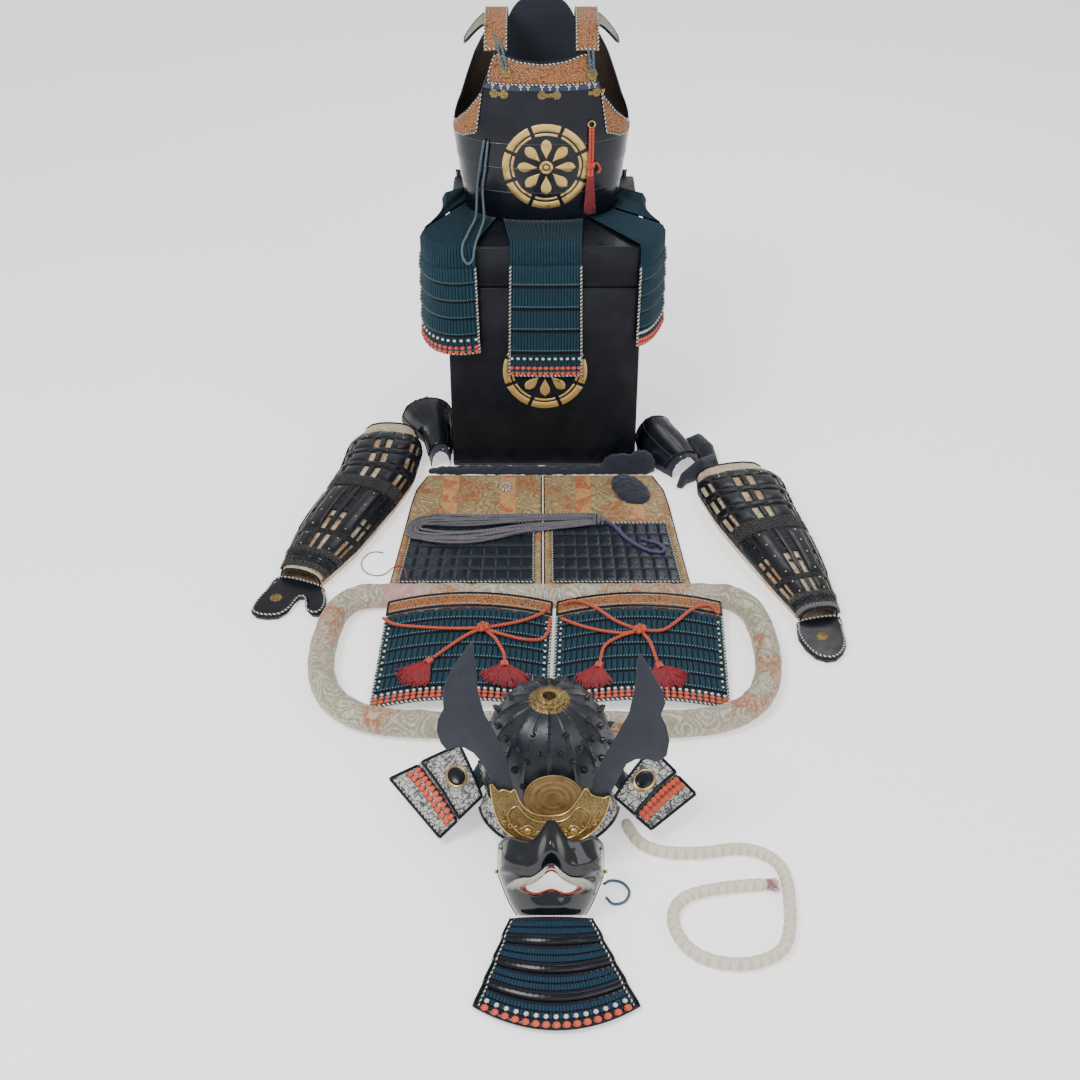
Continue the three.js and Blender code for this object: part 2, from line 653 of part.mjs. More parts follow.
// Shin guards beside the chest: a curved plate over its lining, whose edges rest on the floor
const SUNEATE_LEFT = [
  { s: 0, x: -234, y: 546, w: 20, h: 42 },
  { s: 1, x: -239, y: 600, w: 25, h: 50 },
  { s: 2, x: -248, y: 660, w: 31, h: 58 },
  { s: 3, x: -268, y: 715, w: 47, h: 62 },
  { s: 4, x: -280, y: 765, w: 60, h: 60 },
];
const SUNEATE_RIGHT = [
  { s: 0, x: 322, y: 516, w: 36, h: 44 },
  { s: 1, x: 304, y: 548, w: 44, h: 50 },
  { s: 2, x: 284, y: 582, w: 50, h: 58 },
  { s: 3, x: 262, y: 626, w: 50, h: 64 },
  { s: 4, x: 252, y: 676, w: 40, h: 62 },
];
const SHELL_SECTION = [
  { x: 1, z: 0 }, { x: 0.95, z: 0.36 }, { x: 0.78, z: 0.7 }, { x: 0.45, z: 0.92 }, { x: 0, z: 1 },
  { x: -0.45, z: 0.92 }, { x: -0.78, z: 0.7 }, { x: -0.95, z: 0.36 }, { x: -1, z: 0 },
];
function shellPoint(table, q, s, out = 0) {
  const i = clamp(Math.floor(q), 0, SHELL_SECTION.length - 2);
  const [a, b] = [SHELL_SECTION[i], SHELL_SECTION[i + 1]];
  const w = straight(table, 's', 'w', s) + out;
  const h = straight(table, 's', 'h', s) + out;
  const [first, last] = [table[0], table[table.length - 1]];
  const way = vec(last.x - first.x, last.y - first.y, 0).normalize();
  const x = mix(a.x, b.x, q - i) * w;
  const centre = vec(straight(table, 's', 'x', s), straight(table, 's', 'y', s), 0);
  return vec(centre.x + way.y * x, centre.y - way.x * x, FLOOR + mix(a.z, b.z, q - i) * h);
}

function suneate(name, table, cloth) {
  const lining = wall({
    surface: (q, s) => shellPoint(table, q, s),
    across: steps(0, 8, 8),
    up: steps(0, 4, 4),
    thick: CLOTH,
  });
  piece(name + '_lining', aboveFloor(joined([lining, ...cloth])), NAVY);
  piece(name + '_plate', wall({
    surface: (q, s) => shellPoint(table, q, s, PLATE + 0.9),
    across: steps(1, 7, 6),
    up: [0.5, 1, 2, 3, 3.7],
    thick: PLATE,
  }), BLACK);
}

const LEFT_TIES = [
  band([
    { x: -330, y: 771, z: FLOOR, w: 12, h: 26 }, { x: -312, y: 773, z: FLOOR, w: 16, h: 40 },
    { x: -280, y: 775, z: FLOOR, w: 16, h: 56 }, { x: -246, y: 773, z: FLOOR, w: 15, h: 44 },
    { x: -224, y: 768, z: FLOOR, w: 12, h: 26 },
  ]),
];
const RIGHT_TIES = [
  band([
    { x: 298, y: 656, z: FLOOR, w: 10, h: 10 }, { x: 322, y: 650, z: FLOOR, w: 12, h: 12 },
    { x: 352, y: 628, z: FLOOR, w: 20, h: 42 }, { x: 371, y: 580, z: FLOOR, w: 20, h: 46 },
    { x: 387, y: 530, z: FLOOR, w: 10, h: 28 },
  ]),
  band([
    { x: 384, y: 548, z: FLOOR, w: 11, h: 36 }, { x: 350, y: 510, z: FLOOR, w: 15, h: 46 },
    { x: 312, y: 482, z: FLOOR, w: 12, h: 28 }, { x: 300, y: 458, z: FLOOR, w: 8, h: 12 },
  ]),
];

// Haidate: thigh guards, two brocade panels side by side with small plates below
const HAIDATE = { front: 80, back: 511, plateTop: 312, plateBottom: 104, border: 17, seam: -3 };
const HAIDATE_OUTER = [
  { y: 80, reach: 316 }, { y: 200, reach: 306 }, { y: 384, reach: 292 }, { y: 450, reach: 284 },
  { y: 511, reach: 262 },
];
function haidate(name, side) {
  const lift = 1;
  const edge = (y) => side * straight(HAIDATE_OUTER, 'y', 'reach', y) + (side > 0 ? -18 : 0);
  const inner = HAIDATE.seam + side * 1.2;
  const [left, right] = side < 0 ? [edge, () => inner] : [() => inner, edge];
  const border = { roll: 6 };
  const cloth = 3;
  piece(name + '_cloth', wall({
    surface: (u, y) => vec(mix(left(y), right(y), u), y, FLOOR + cloth),
    across: [0, 0.028, 0.056, 0.35, 0.65, 0.944, 0.972, 1],
    up: [80, 90, 100, 200, 320, 384, 450, 511],
    thick: cloth,
    relief: (u, y) => {
      const rolled = u === 0.028 || u === 0.972 || y === 90;
      const inside = u > 0 && u < 1 && y > HAIDATE.front;
      return inside && rolled && y < 330 ? border.roll : 0;
    },
  }), BROCADE);
  const rows = 5;
  const pitch = (HAIDATE.plateTop - HAIDATE.plateBottom) / rows;
  const levels = [];
  const raise = [];
  for (let k = 0; k < rows; k++) {
    levels.push(HAIDATE.plateBottom + k * pitch, HAIDATE.plateBottom + k * pitch + 3);
    raise.push(k === 0 ? 1.8 : 0, 1.8);
  }
  levels.push(HAIDATE.plateTop);
  raise.push(0);
  const inset = HAIDATE.border + lift;
  const plateLift = 3.3;
  piece(name + '_plates', wall({
    surface: (u, y) => vec(mix(left(y) + inset, right(y) - inset, u), y, FLOOR + cloth + GAP + plateLift),
    across: steps(0, 1, 4),
    up: levels,
    thick: plateLift,
    relief: (u, y) => raise[levels.indexOf(y)] ?? 0,
  }), BLACK);
}

function haidateBelt() {
  const strip = band([
    { x: -262, y: 527, z: FLOOR, w: 10, h: 9 }, { x: -228, y: 528, z: FLOOR, w: 16, h: 13 },
    { x: -120, y: 529, z: FLOOR, w: 18, h: 14 }, { x: 0, y: 529, z: FLOOR, w: 18, h: 13 },
    { x: 110, y: 530, z: FLOOR, w: 18, h: 16 }, { x: 200, y: 529, z: FLOOR, w: 17, h: 20 },
  ]);
  const bundle = heap([
    { x: 172, y: 533, z: 14, rx: 44, ry: 20, rz: 34 },
    { x: 218, y: 532, z: 16, rx: 36, ry: 20, rz: 42 },
  ]);
  piece('haidate_belt', aboveFloor(joined([strip, bundle])), NAVY);
  // The loose end of the belt is folded over the brocade
  piece('haidate_belt_end', band([
    { x: 168, y: 486, z: 3.8, w: 20, h: 20 }, { x: 178, y: 462, z: 3.8, w: 34, h: 24 },
    { x: 196, y: 432, z: 3.8, w: 40, h: 18 }, { x: 206, y: 404, z: 3.8, w: 30, h: 10 },
    { x: 208, y: 392, z: 3.8, w: 16, h: 5 },
  ]), NAVY);
}

// Mauve cord: a flat hank of folded runs across the haidate, and its knotted tail
function hank() {
  const bed = 9.7;
  piece('mauve_hank', band([
    { x: -286, y: 292, z: bed, w: 20, h: 8 }, { x: -272, y: 290, z: bed, w: 40, h: 9 },
    { x: -230, y: 284, z: bed, w: 58, h: 11 }, { x: -150, y: 286, z: bed, w: 56, h: 11 },
    { x: -60, y: 300, z: bed, w: 42, h: 11 }, { x: 20, y: 312, z: bed, w: 32, h: 11 },
    { x: 90, y: 318, z: bed, w: 26, h: 10 }, { x: 128, y: 316, z: bed, w: 14, h: 8 },
  ]), MAUVE);
  piece('mauve_tail', rod([
    [130.4, 314, 13.6], [146, 300, 12.8], [158, 280, 12.6], [170, 256, 12.6], [186, 234, 12.6],
    [206, 214, 12.6], [226, 202, 12.6], [244, 200, 12.6], [250, 214, 12.6], [238, 232, 12.6],
    [222, 240, 12.6],
  ], 3.2, 8, 17), MAUVE);
}

function looseString() {
  const thin = 1.2;
  piece('loose_string', rod([
    [-336, 212, 1.6], [-352, 216, 1.6], [-366, 210, 1.6], [-376, 192, 1.6], [-378, 172, 1.6],
    [-372, 152, 1.6], [-360, 138, 1.6], [-344, 132, 1.6], [-332, 134, 1.6], [-323, 139, 3.4],
    [-316, 144, 7.6], [-306, 150, 11.4], [-296, 151, 11.2], [-287, 143, 10.7], [-283, 128, 10.6],
    [-280, 110, 10.6],
  ], thin, 8, 19), CRIMSON);
}

// Padded brocade belt, laid in a long ring, as its left and right halves
const RING_ROUTE = [
  [70, 32], [180, 34], [292, 33], [367, 27], [404, -18], [416, -80], [419, -150], [411, -215],
  [388, -272], [346, -314], [290, -336], [200, -345], [100, -346],
];
function beltRing() {
  for (const [name, side] of [['brocade_belt_left', -1], ['brocade_belt_right', 1]]) {
    const route = [[side * 0.3, BELT_RING.back], [side * 30, BELT_RING.back]];
    route.push(...RING_ROUTE.map(([x, y]) => [side * x, y]));
    route.push([side * 40, BELT_RING.front], [side * 0.3, BELT_RING.front]);
    const curve = new THREE.CatmullRomCurve3(route.map(([x, y]) => vec(x, y, 0)));
    const rows = curve.getSpacedPoints(17).map((point) => (
      { x: point.x, y: point.y, z: FLOOR, w: BELT_RING.radius, h: BELT_RING.radius * 1.9 }));
    piece(name, band(rows, ROUND_SECTION), BROCADE);
  }
}

// Sode: two curved shoulder guards that lie on their backs inside the ring
const SODE_PAIR = [
  { name: 'sode_left', top: -145, bottom: -157 },
  { name: 'sode_right', top: 185, bottom: 174 },
];
function sodePoint(row, u, y, out = 0) {
  const v = (y - SODE.front) / (SODE.back - SODE.front);
  const x = mix(row.bottom, row.top, v) + u * SODE.half;
  return vec(x, y, SODE.edge + SODE.rise * v + SODE.crown * (1 - u * u) + out);
}

function sode(row) {
  const rows = 7;
  const top = -40;
  const pitch = (top - SODE.front) / rows;
  const levels = [];
  const raise = [];
  for (let k = 0; k < rows; k++) {
    levels.push(SODE.front + k * pitch, SODE.front + k * pitch + pitch * 0.25);
    raise.push(k === 0 ? 1.5 : 0, 2.4);
  }
  levels.push(top);
  raise.push(0);
  piece(row.name, wall({
    surface: (u, y) => sodePoint(row, u, y),
    across: [-1, -0.6, 0, 0.6, 1],
    up: levels,
    thick: LACED,
    relief: (u, y) => raise[levels.indexOf(y)] ?? 0,
  }), LACE);
  piece(row.name + '_cap', wall({
    surface: (u, y) => sodePoint(row, u, y, 2.4),
    across: [-1, -0.6, 0, 0.6, 1],
    up: [top + GAP, top + 8, SODE.back - 10, SODE.back],
    thick: LACED + 2,
    relief: (u, y) => (y === SODE.back - 10 || y === top + 8 ? 2 : 0),
  }), LEATHER);
}

// Orange cords over the sode, each tied in one knot
function onSode(row, points, lift) {
  return points.map(([x, y, up = 0]) => {
    const v = (y - SODE.front) / (SODE.back - SODE.front);
    const u = clamp((x - mix(row.bottom, row.top, v)) / SODE.half, -1.2, 1.2);
    const z = sodePoint(row, u, y).z;
    return [x, y, Math.max(z, 16) + lift + up];
  });
}

const LEFT_CORDS = [
  [[-312, -52, 2], [-286, -76], [-240, -94], [-180, -106], [-117, -105]],
  [[-117, -105], [-80, -92], [-40, -72], [-6, -46, 2], [8, -26, 6]],
  [[-117, -105], [-80, -118], [-40, -124], [-8, -116], [6, -92], [10, -60, 3]],
  [[-117, -105], [-146, -124], [-180, -156], [-206, -182]],
  [[-117, -105], [-94, -130], [-78, -164], [-74, -186]],
];
const RIGHT_CORDS = [
  [[34, -22, 8], [62, -20, 5.5], [98, -42, 1], [136, -84], [180, -112]],
  [[32, -58, 2], [66, -84], [104, -106], [146, -118], [180, -112]],
  [[180, -112], [222, -110], [252, -82], [286, -44, 3], [318, -28, 4], [336, -44, 2]],
  [[180, -112], [140, -128], [112, -150], [102, -190]],
  [[180, -112], [196, -140], [204, -176], [208, -196]],
];
function sodeCords() {
  const lift = ORANGE_CORD.radius + 3.4;
  for (const [row, name, routes, knotAt] of [
    [SODE_PAIR[0], 'sode_cord_left', LEFT_CORDS, [-117, -105]],
    [SODE_PAIR[1], 'sode_cord_right', RIGHT_CORDS, [180, -112]],
  ]) {
    const parts = routes.map((route) => rod(onSode(row, route, lift), ORANGE_CORD.radius, 8, 6));
    const knot = new THREE.SphereGeometry(1, 8, 6);
    knot.scale(13, 10, 7);
    knot.translate(...onSode(row, [knotAt], lift + 3.6)[0]);
    piece(name, joined([knot, ...parts]), ORANGE);
  }
}

// Tassels that lie on the sode, spread like a fan
const SODE_TASSELS = [
  { name: 'sode_tassel_1', row: 0, x: -212, y: -189, turn: 232, spread: 34, length: 66 },
  { name: 'sode_tassel_2', row: 0, x: -75, y: -193, turn: 272, spread: 52, length: 58 },
  { name: 'sode_tassel_3', row: 1, x: 101, y: -197, turn: 250, spread: 40, length: 56 },
  { name: 'sode_tassel_4', row: 1, x: 209, y: -203, turn: 290, spread: 52, length: 60 },
];
function lyingTassel({ name, row, x, y, turn, spread, length }) {
  const guard = SODE_PAIR[row];
  const bed = 5.2;
  const lay = (distance, angle, up) => {
    const px = x + distance * Math.cos(angle * RAD);
    const py = y + distance * Math.sin(angle * RAD);
    return vec(...onSode(guard, [[px, Math.max(py, SODE.front + 4)]], bed + up)[0]).setY(py);
  };
  const head = new THREE.SphereGeometry(1, 8, 6);
  head.scale(9, 9, 6.5);
  head.translate(...lay(6, turn, 3).toArray());
  const parts = [head];
  for (let i = 0; i < STRANDS; i++) {
    const place = i / (STRANDS - 1) - 0.5;
    const reach = length * (0.88 + 0.12 * Math.cos(i * 2.4));
    const angle = turn + place * 2 * spread;
    parts.push(strand([lay(4, turn, 1), lay(reach, angle, 0)], 2.6));
  }
  piece(name, joined(parts), CRIMSON);
}

// Helmet bowl: ribbed iron with cone studs on its plates and a stepped ring on top
function bowlPoint(angle, v, out = 0) {
  const r = power(Math.cos(v * Math.PI / 2), 0.82);
  const height = power(Math.sin(v * Math.PI / 2), 0.9);
  const front = 1 - 0.06 * Math.cos(angle * RAD);
  const x = KABUTO.x + (KABUTO.halfWidth + out) * r * Math.sin(angle * RAD);
  const y = KABUTO.y - (KABUTO.halfLength + out) * r * Math.cos(angle * RAD) * front;
  return vec(x, y, KABUTO.rim + (KABUTO.top - KABUTO.rim + out) * height);
}

function kabutoBowl() {
  const ribs = 8;
  const shell = wall({
    surface: (angle, v) => bowlPoint(angle, v),
    across: steps(0, 360, ribs * 2),
    up: [0, 0.2, 0.42, 0.64, 0.86],
    thick: PLATE,
    ring: true,
    relief: (angle) => (Math.round(angle / 22.5) % 2 === 0 ? 2 : 0),
  });
  const parts = [shell];
  for (let k = 0; k < ribs; k++) {
    const angle = (k + 0.5) * 45;
    for (const v of [0.2, 0.42, 0.64]) {
      const from = bowlPoint(angle, v, -1);
      const to = bowlPoint(angle, v, 9);
      const cone = new THREE.ConeGeometry(4.5, 10, 4);
      cone.translate(0, 4, 0);
      const way = to.clone().sub(from).normalize();
      cone.applyQuaternion(new THREE.Quaternion().setFromUnitVectors(vec(0, 1, 0), way));
      cone.translate(from.x, from.y, from.z);
      parts.push(cone);
    }
  }
  const ring = new THREE.LatheGeometry([
    new THREE.Vector2(9, -6), new THREE.Vector2(35, -9), new THREE.Vector2(34, -1), new THREE.Vector2(24, 2),
    new THREE.Vector2(17, 9), new THREE.Vector2(9, 9), new THREE.Vector2(9, -6),
  ], 12);
  ring.rotateX(Math.PI / 2);
  ring.translate(KABUTO.x, KABUTO.y + 1, KABUTO.top - 2);
  parts.push(ring);
  piece('kabuto_bowl', joined(parts), IRON);
}

// Peak: flares out and down from the front of the rim
function kabutoPeak() {
  const rim = (angle, out) => bowlPoint(angle, 0, out);
  piece('kabuto_peak', wall({
    surface: (angle, v) => {
      const start = rim(angle, -1);
      const reach = 38 * power(Math.cos(angle * RAD * 1.15), 0.5);
      const dip = 30;
      const way = vec(Math.sin(angle * RAD) * 0.75, -Math.cos(angle * RAD), 0);
      return start.addScaledVector(way, v * reach).setZ(KABUTO.rim - 0.5 - power(v, 1.3) * dip);
    },
    across: steps(-66, 66, 8),
    up: [1, 0.5, 0],
    thick: PLATE,
  }), WHITE_LEATHER);
}

// Neck guard: three lames that widen round the sides and back
function shikoro() {
  const lames = 3;
  const levels = [];
  const raise = [];
  for (let k = 0; k < lames; k++) {
    levels.push(k / lames, (k + 0.12) / lames);
    raise.push(k === 0 ? 1 : 0, 2.2);
  }
  levels.push(1);
  raise.push(0);
  piece('kabuto_shikoro', wall({
    surface: (angle, v) => {
      const t = 1 - v;
      const back = -Math.cos(angle * RAD);
      const side = Math.abs(Math.sin(angle * RAD));
      const flare = t * mix(56, 4, clamp(back, 0, 1)) * (0.4 + 0.6 * side) - 1;
      const x = KABUTO.x + (KABUTO.halfWidth + flare) * Math.sin(angle * RAD);
      const y = KABUTO.y - (KABUTO.halfLength + Math.min(flare, 5 + 4 * t)) * Math.cos(angle * RAD);
      return vec(x, y, mix(1.9, KABUTO.rim - 0.6, v));
    },
    across: steps(74, 286, 10),
    up: levels,
    thick: PLATE,
    relief: (angle, v) => raise[levels.findIndex((level) => Math.abs(level - v) < 1e-6)] ?? 0,
  }), BLACK);
}

// Turned-back ends of the neck guard, as two layered panels on each side
const FUKIGAESHI = [
  {
    name: 'fukigaeshi_left', inner: [-142, -470, 92], outer: [-262, -512, 56], low: [-172, -612, 18],
    near: [-101, -567.4, 67.5],
  },
  {
    name: 'fukigaeshi_right', inner: [176, -478, 92], outer: [250, -545, 52], low: [172, -606, 31],
    near: [110.4, -569.4, 68],
  },
];
function fukigaeshi(row) {
  const [a, b, c, d] = [row.inner, row.outer, row.low, row.near].map((p) => vec(...p));
  const left = row.inner[0] < 0;
  const place = (u, v) => {
    const top = a.clone().lerp(b, u);
    const bottom = d.clone().lerp(c, u);
    const point = bottom.lerp(top, v);
    point.z += 8 * Math.sin(Math.PI * clamp(u, 0, 1)) * Math.sin(Math.PI * clamp(v, 0, 1));
    return point;
  };
  piece(row.name, wall({
    surface: (u, v) => (left ? place(1 - u, v) : place(u, v)),
    across: left ? [0, 0.25, 0.42, 0.44, 0.7, 1] : [0, 0.3, 0.56, 0.58, 0.75, 1],
    up: [0, 0.12, 0.5, 0.88, 1],
    thick: 4,
    relief: (u) => ((left ? u > 0.43 : u < 0.57) ? 4 : 0),
  }), WHITE_LEATHER);
}

// Horns: flat leaf-shaped plates that lean back. x is from the middle, s is up the lean.
const HORN_LEFT = [
  [-46, 26], [-62, 101], [-79, 139], [-95, 167], [-105, 204], [-109, 247], [-113, 286], [-132, 261],
  [-146, 241], [-156, 218], [-160, 196], [-159, 177], [-168, 160], [-170, 142], [-164, 122],
  [-154, 110], [-143, 115], [-128, 115], [-113, 106], [-101, 92], [-88, 67], [-76, 26],
];
const HORN_RIGHT = [
  [62, 26], [90, 98], [109, 132], [129, 169], [137, 206], [140, 240], [144, 268], [156, 251],
  [169, 227], [181, 206], [186, 186], [179, 167], [188, 149], [193, 126], [189, 102], [176, 91],
  [159, 96], [141, 96], [126, 88], [112, 60], [92, 22],
];
function onLean(geometry) {
  geometry.rotateX((90 - HORN.lean) * RAD);
  geometry.translate(0, HORN.y, HORN.z);
  return bare(geometry);
}

function horns() {
  for (const [name, outline] of [['kuwagata_left', HORN_LEFT], ['kuwagata_right', HORN_RIGHT]]) {
    const shape = new THREE.Shape(outline.map(([x, s]) => new THREE.Vector2(x, s)));
    piece(name, onLean(new THREE.ExtrudeGeometry(shape, { depth: HORN.thick, bevelEnabled: false })), IRON);
  }
}

// Gilt base of the horns with its zigzag ends, and the plain disc that stands on it
const BASE_OUTLINE = [
  [-88, 58], [-76, 47], [-68, 50], [-56, 46], [-50, 50], [-42, 30], [-30, 16], [-12, 8], [18, 8], [36, 14],
  [50, 30], [64, 52], [72, 42], [80, 38], [92, 36], [102, 38], [96, 12], [82, -14], [60, -32], [34, -42],
  [6, -45], [-22, -42], [-48, -32], [-70, -14], [-82, 14],
];
function hornBase() {
  const shape = new THREE.Shape(BASE_OUTLINE.map(([x, s]) => new THREE.Vector2(x, s)));
  const base = new THREE.ExtrudeGeometry(shape, { depth: 5, bevelEnabled: false });
  base.translate(0, 0, HORN.thick + GAP);
  const parts = [onLean(base)];
  for (const x of [-28, 8, 44]) {
    const rivet = new THREE.SphereGeometry(7, 8, 4);
    rivet.translate(x, x === 8 ? -24 : -18, HORN.thick + GAP + 4.5);
    parts.push(onLean(rivet));
  }
  const disc = new THREE.CylinderGeometry(46, 46, 2.6, 20);
  disc.rotateX(Math.PI / 2);
  disc.scale(1, 0.8, 1);
  disc.translate(12, 34, HORN.thick + GAP + 1.6);
  parts.push(onLean(disc));
  parts.push(bare(box(-6, 22, -667, KABUTO.y - KABUTO.halfLength * 0.94 - 1.6, 86, 98)));
  piece('kuwagata_base', joined(parts), GILT);
}

// Half mask: a shell round the jaw with a nose, cheeks and an open mouth, leaning back
function maskPoint(angle, v, out = 0) {
  const t = angle * RAD;
  const jaw = 0.6 + 0.4 * power(Math.min(1, v * 1.7), 0.7);
  const half = (MASK.half * jaw) + out;
  const depth = MASK.depth * (0.55 + 0.45 * Math.min(1, v * 1.5)) + out;
  const nose = Math.exp(-((angle / 13) ** 2));
  const cheek = Math.exp(-(((Math.abs(angle) - 52) / 20) ** 2));
  const height = v * (MASK.height + 34 * nose + 10 * cheek);
  const chin = 10 * Math.exp(-(((v - 0.12) / 0.12) ** 2)) * power(Math.cos(t), 8);
  const noseOut = 26 * nose * Math.exp(-(((v - 0.72) / 0.2) ** 2));
  const cheekOut = 7 * cheek * Math.exp(-(((v - 0.68) / 0.18) ** 2));
  const forward = depth * Math.cos(t) + noseOut * 0.9 + (cheekOut + chin) * 0.8;
  const lean = MASK.lean * RAD;
  const up = vec(0, Math.sin(lean), Math.cos(lean));
  const front = vec(0, -Math.cos(lean), Math.sin(lean));
  const point = vec(MASK.x + (half + cheekOut) * Math.sin(t), MASK.y, MASK.z);
  return point.addScaledVector(up, height).addScaledVector(front, forward);
}

function mask() {
  const angles = [-96, -74, -54, -38, -24, -11, 0, 11, 24, 38, 54, 74, 96];
  const rows = [0, 0.12, 0.25, 0.36, 0.48, 0.58, 0.7, 0.85, 1];
  const mouth = { from: 3, to: 9, low: 2, high: 4 };
  piece('menpo', wall({
    surface: (angle, v) => maskPoint(angle, v),
    across: angles,
    up: rows,
    thick: PLATE,
    keep: (i, j) => !(i >= mouth.from && i < mouth.to && j >= mouth.low && j < mouth.high),
  }), BLACK);
}

// Throat guard below the mask: four curved lames that fan out on the floor
function throatGuard() {
  const lames = 4;
  const levels = [];
  const raise = [];
  for (let k = 0; k < lames; k++) {
    levels.push(k / lames, (k + 0.2) / lames);
    raise.push(k === 0 ? 1 : 0, 3.4);
  }
  levels.push(1);
  raise.push(0);
  piece('yodare_kake', wall({
    surface: (u, v) => {
      const t = 1 - v;
      const half = BIB.half + BIB.spread * t;
      const y = mix(BIB.top, BIB.front, t) + 44 * u * u * (0.35 + 0.65 * t);
      const z = mix(BIB.rise, 8.5, power(t, 0.8)) - (1 - t) * 22 * u * u;
      return vec(mix(MASK.x, BIB.x, t) + u * half, y, z - 3.2 * t * u * u);
    },
    across: steps(-1, 1, 6),
    up: levels,
    thick: LACED,
    relief: (u, v) => raise[levels.findIndex((level) => Math.abs(level - v) < 1e-6)] ?? 0,
  }), LACE);
}

// Padded white cord of the helmet, lying in a loop on the right
function whiteCord() {
  const z = WHITE_CORD.radius + FLOOR + 0.2;
  piece('white_cord', rod([
    [132, -566, z], [140, -590, z], [154, -614, z], [178, -630, z], [210, -637, z], [256, -636, z],
    [312, -628, z], [350, -638, z], [374, -662, z], [382, -700, z], [380, -745, z], [374, -790, z],
    [360, -828, z], [330, -851, z], [290, -860, z], [246, -852, z], [214, -828, z], [198, -792, z],
    [199, -758, z], [216, -733, z], [248, -718, z], [300, -708, z], [350, -703, z],
  ], WHITE_CORD.radius, 8, 29), CREAM);
}

chest();
cuirass();
strap('watagami_left', -1);
strap('watagami_right', 1);
breastCords();
for (const row of KUSAZURI) piece(row.name, kusazuri(row), LACE);
kote('kote_left', KOTE_LEFT);
kote('kote_right', KOTE_RIGHT);
handGuard('tekko_left', HAND_LEFT);
handGuard('tekko_right', HAND_RIGHT);
suneate('suneate_left', SUNEATE_LEFT, LEFT_TIES);
suneate('suneate_right', SUNEATE_RIGHT, RIGHT_TIES);
haidate('haidate_left', -1);
haidate('haidate_right', 1);
haidateBelt();
hank();
looseString();
beltRing();
for (const row of SODE_PAIR) sode(row);
sodeCords();
for (const row of SODE_TASSELS) lyingTassel(row);
kabutoBowl();
kabutoPeak();
shikoro();
for (const row of FUKIGAESHI) fukigaeshi(row);
horns();
hornBase();
mask();
throatGuard();
whiteCord();

export default armour;
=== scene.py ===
# Looks of the samurai armour set. Shapes are written in millimetres and made in metres.
import json
import math
import random

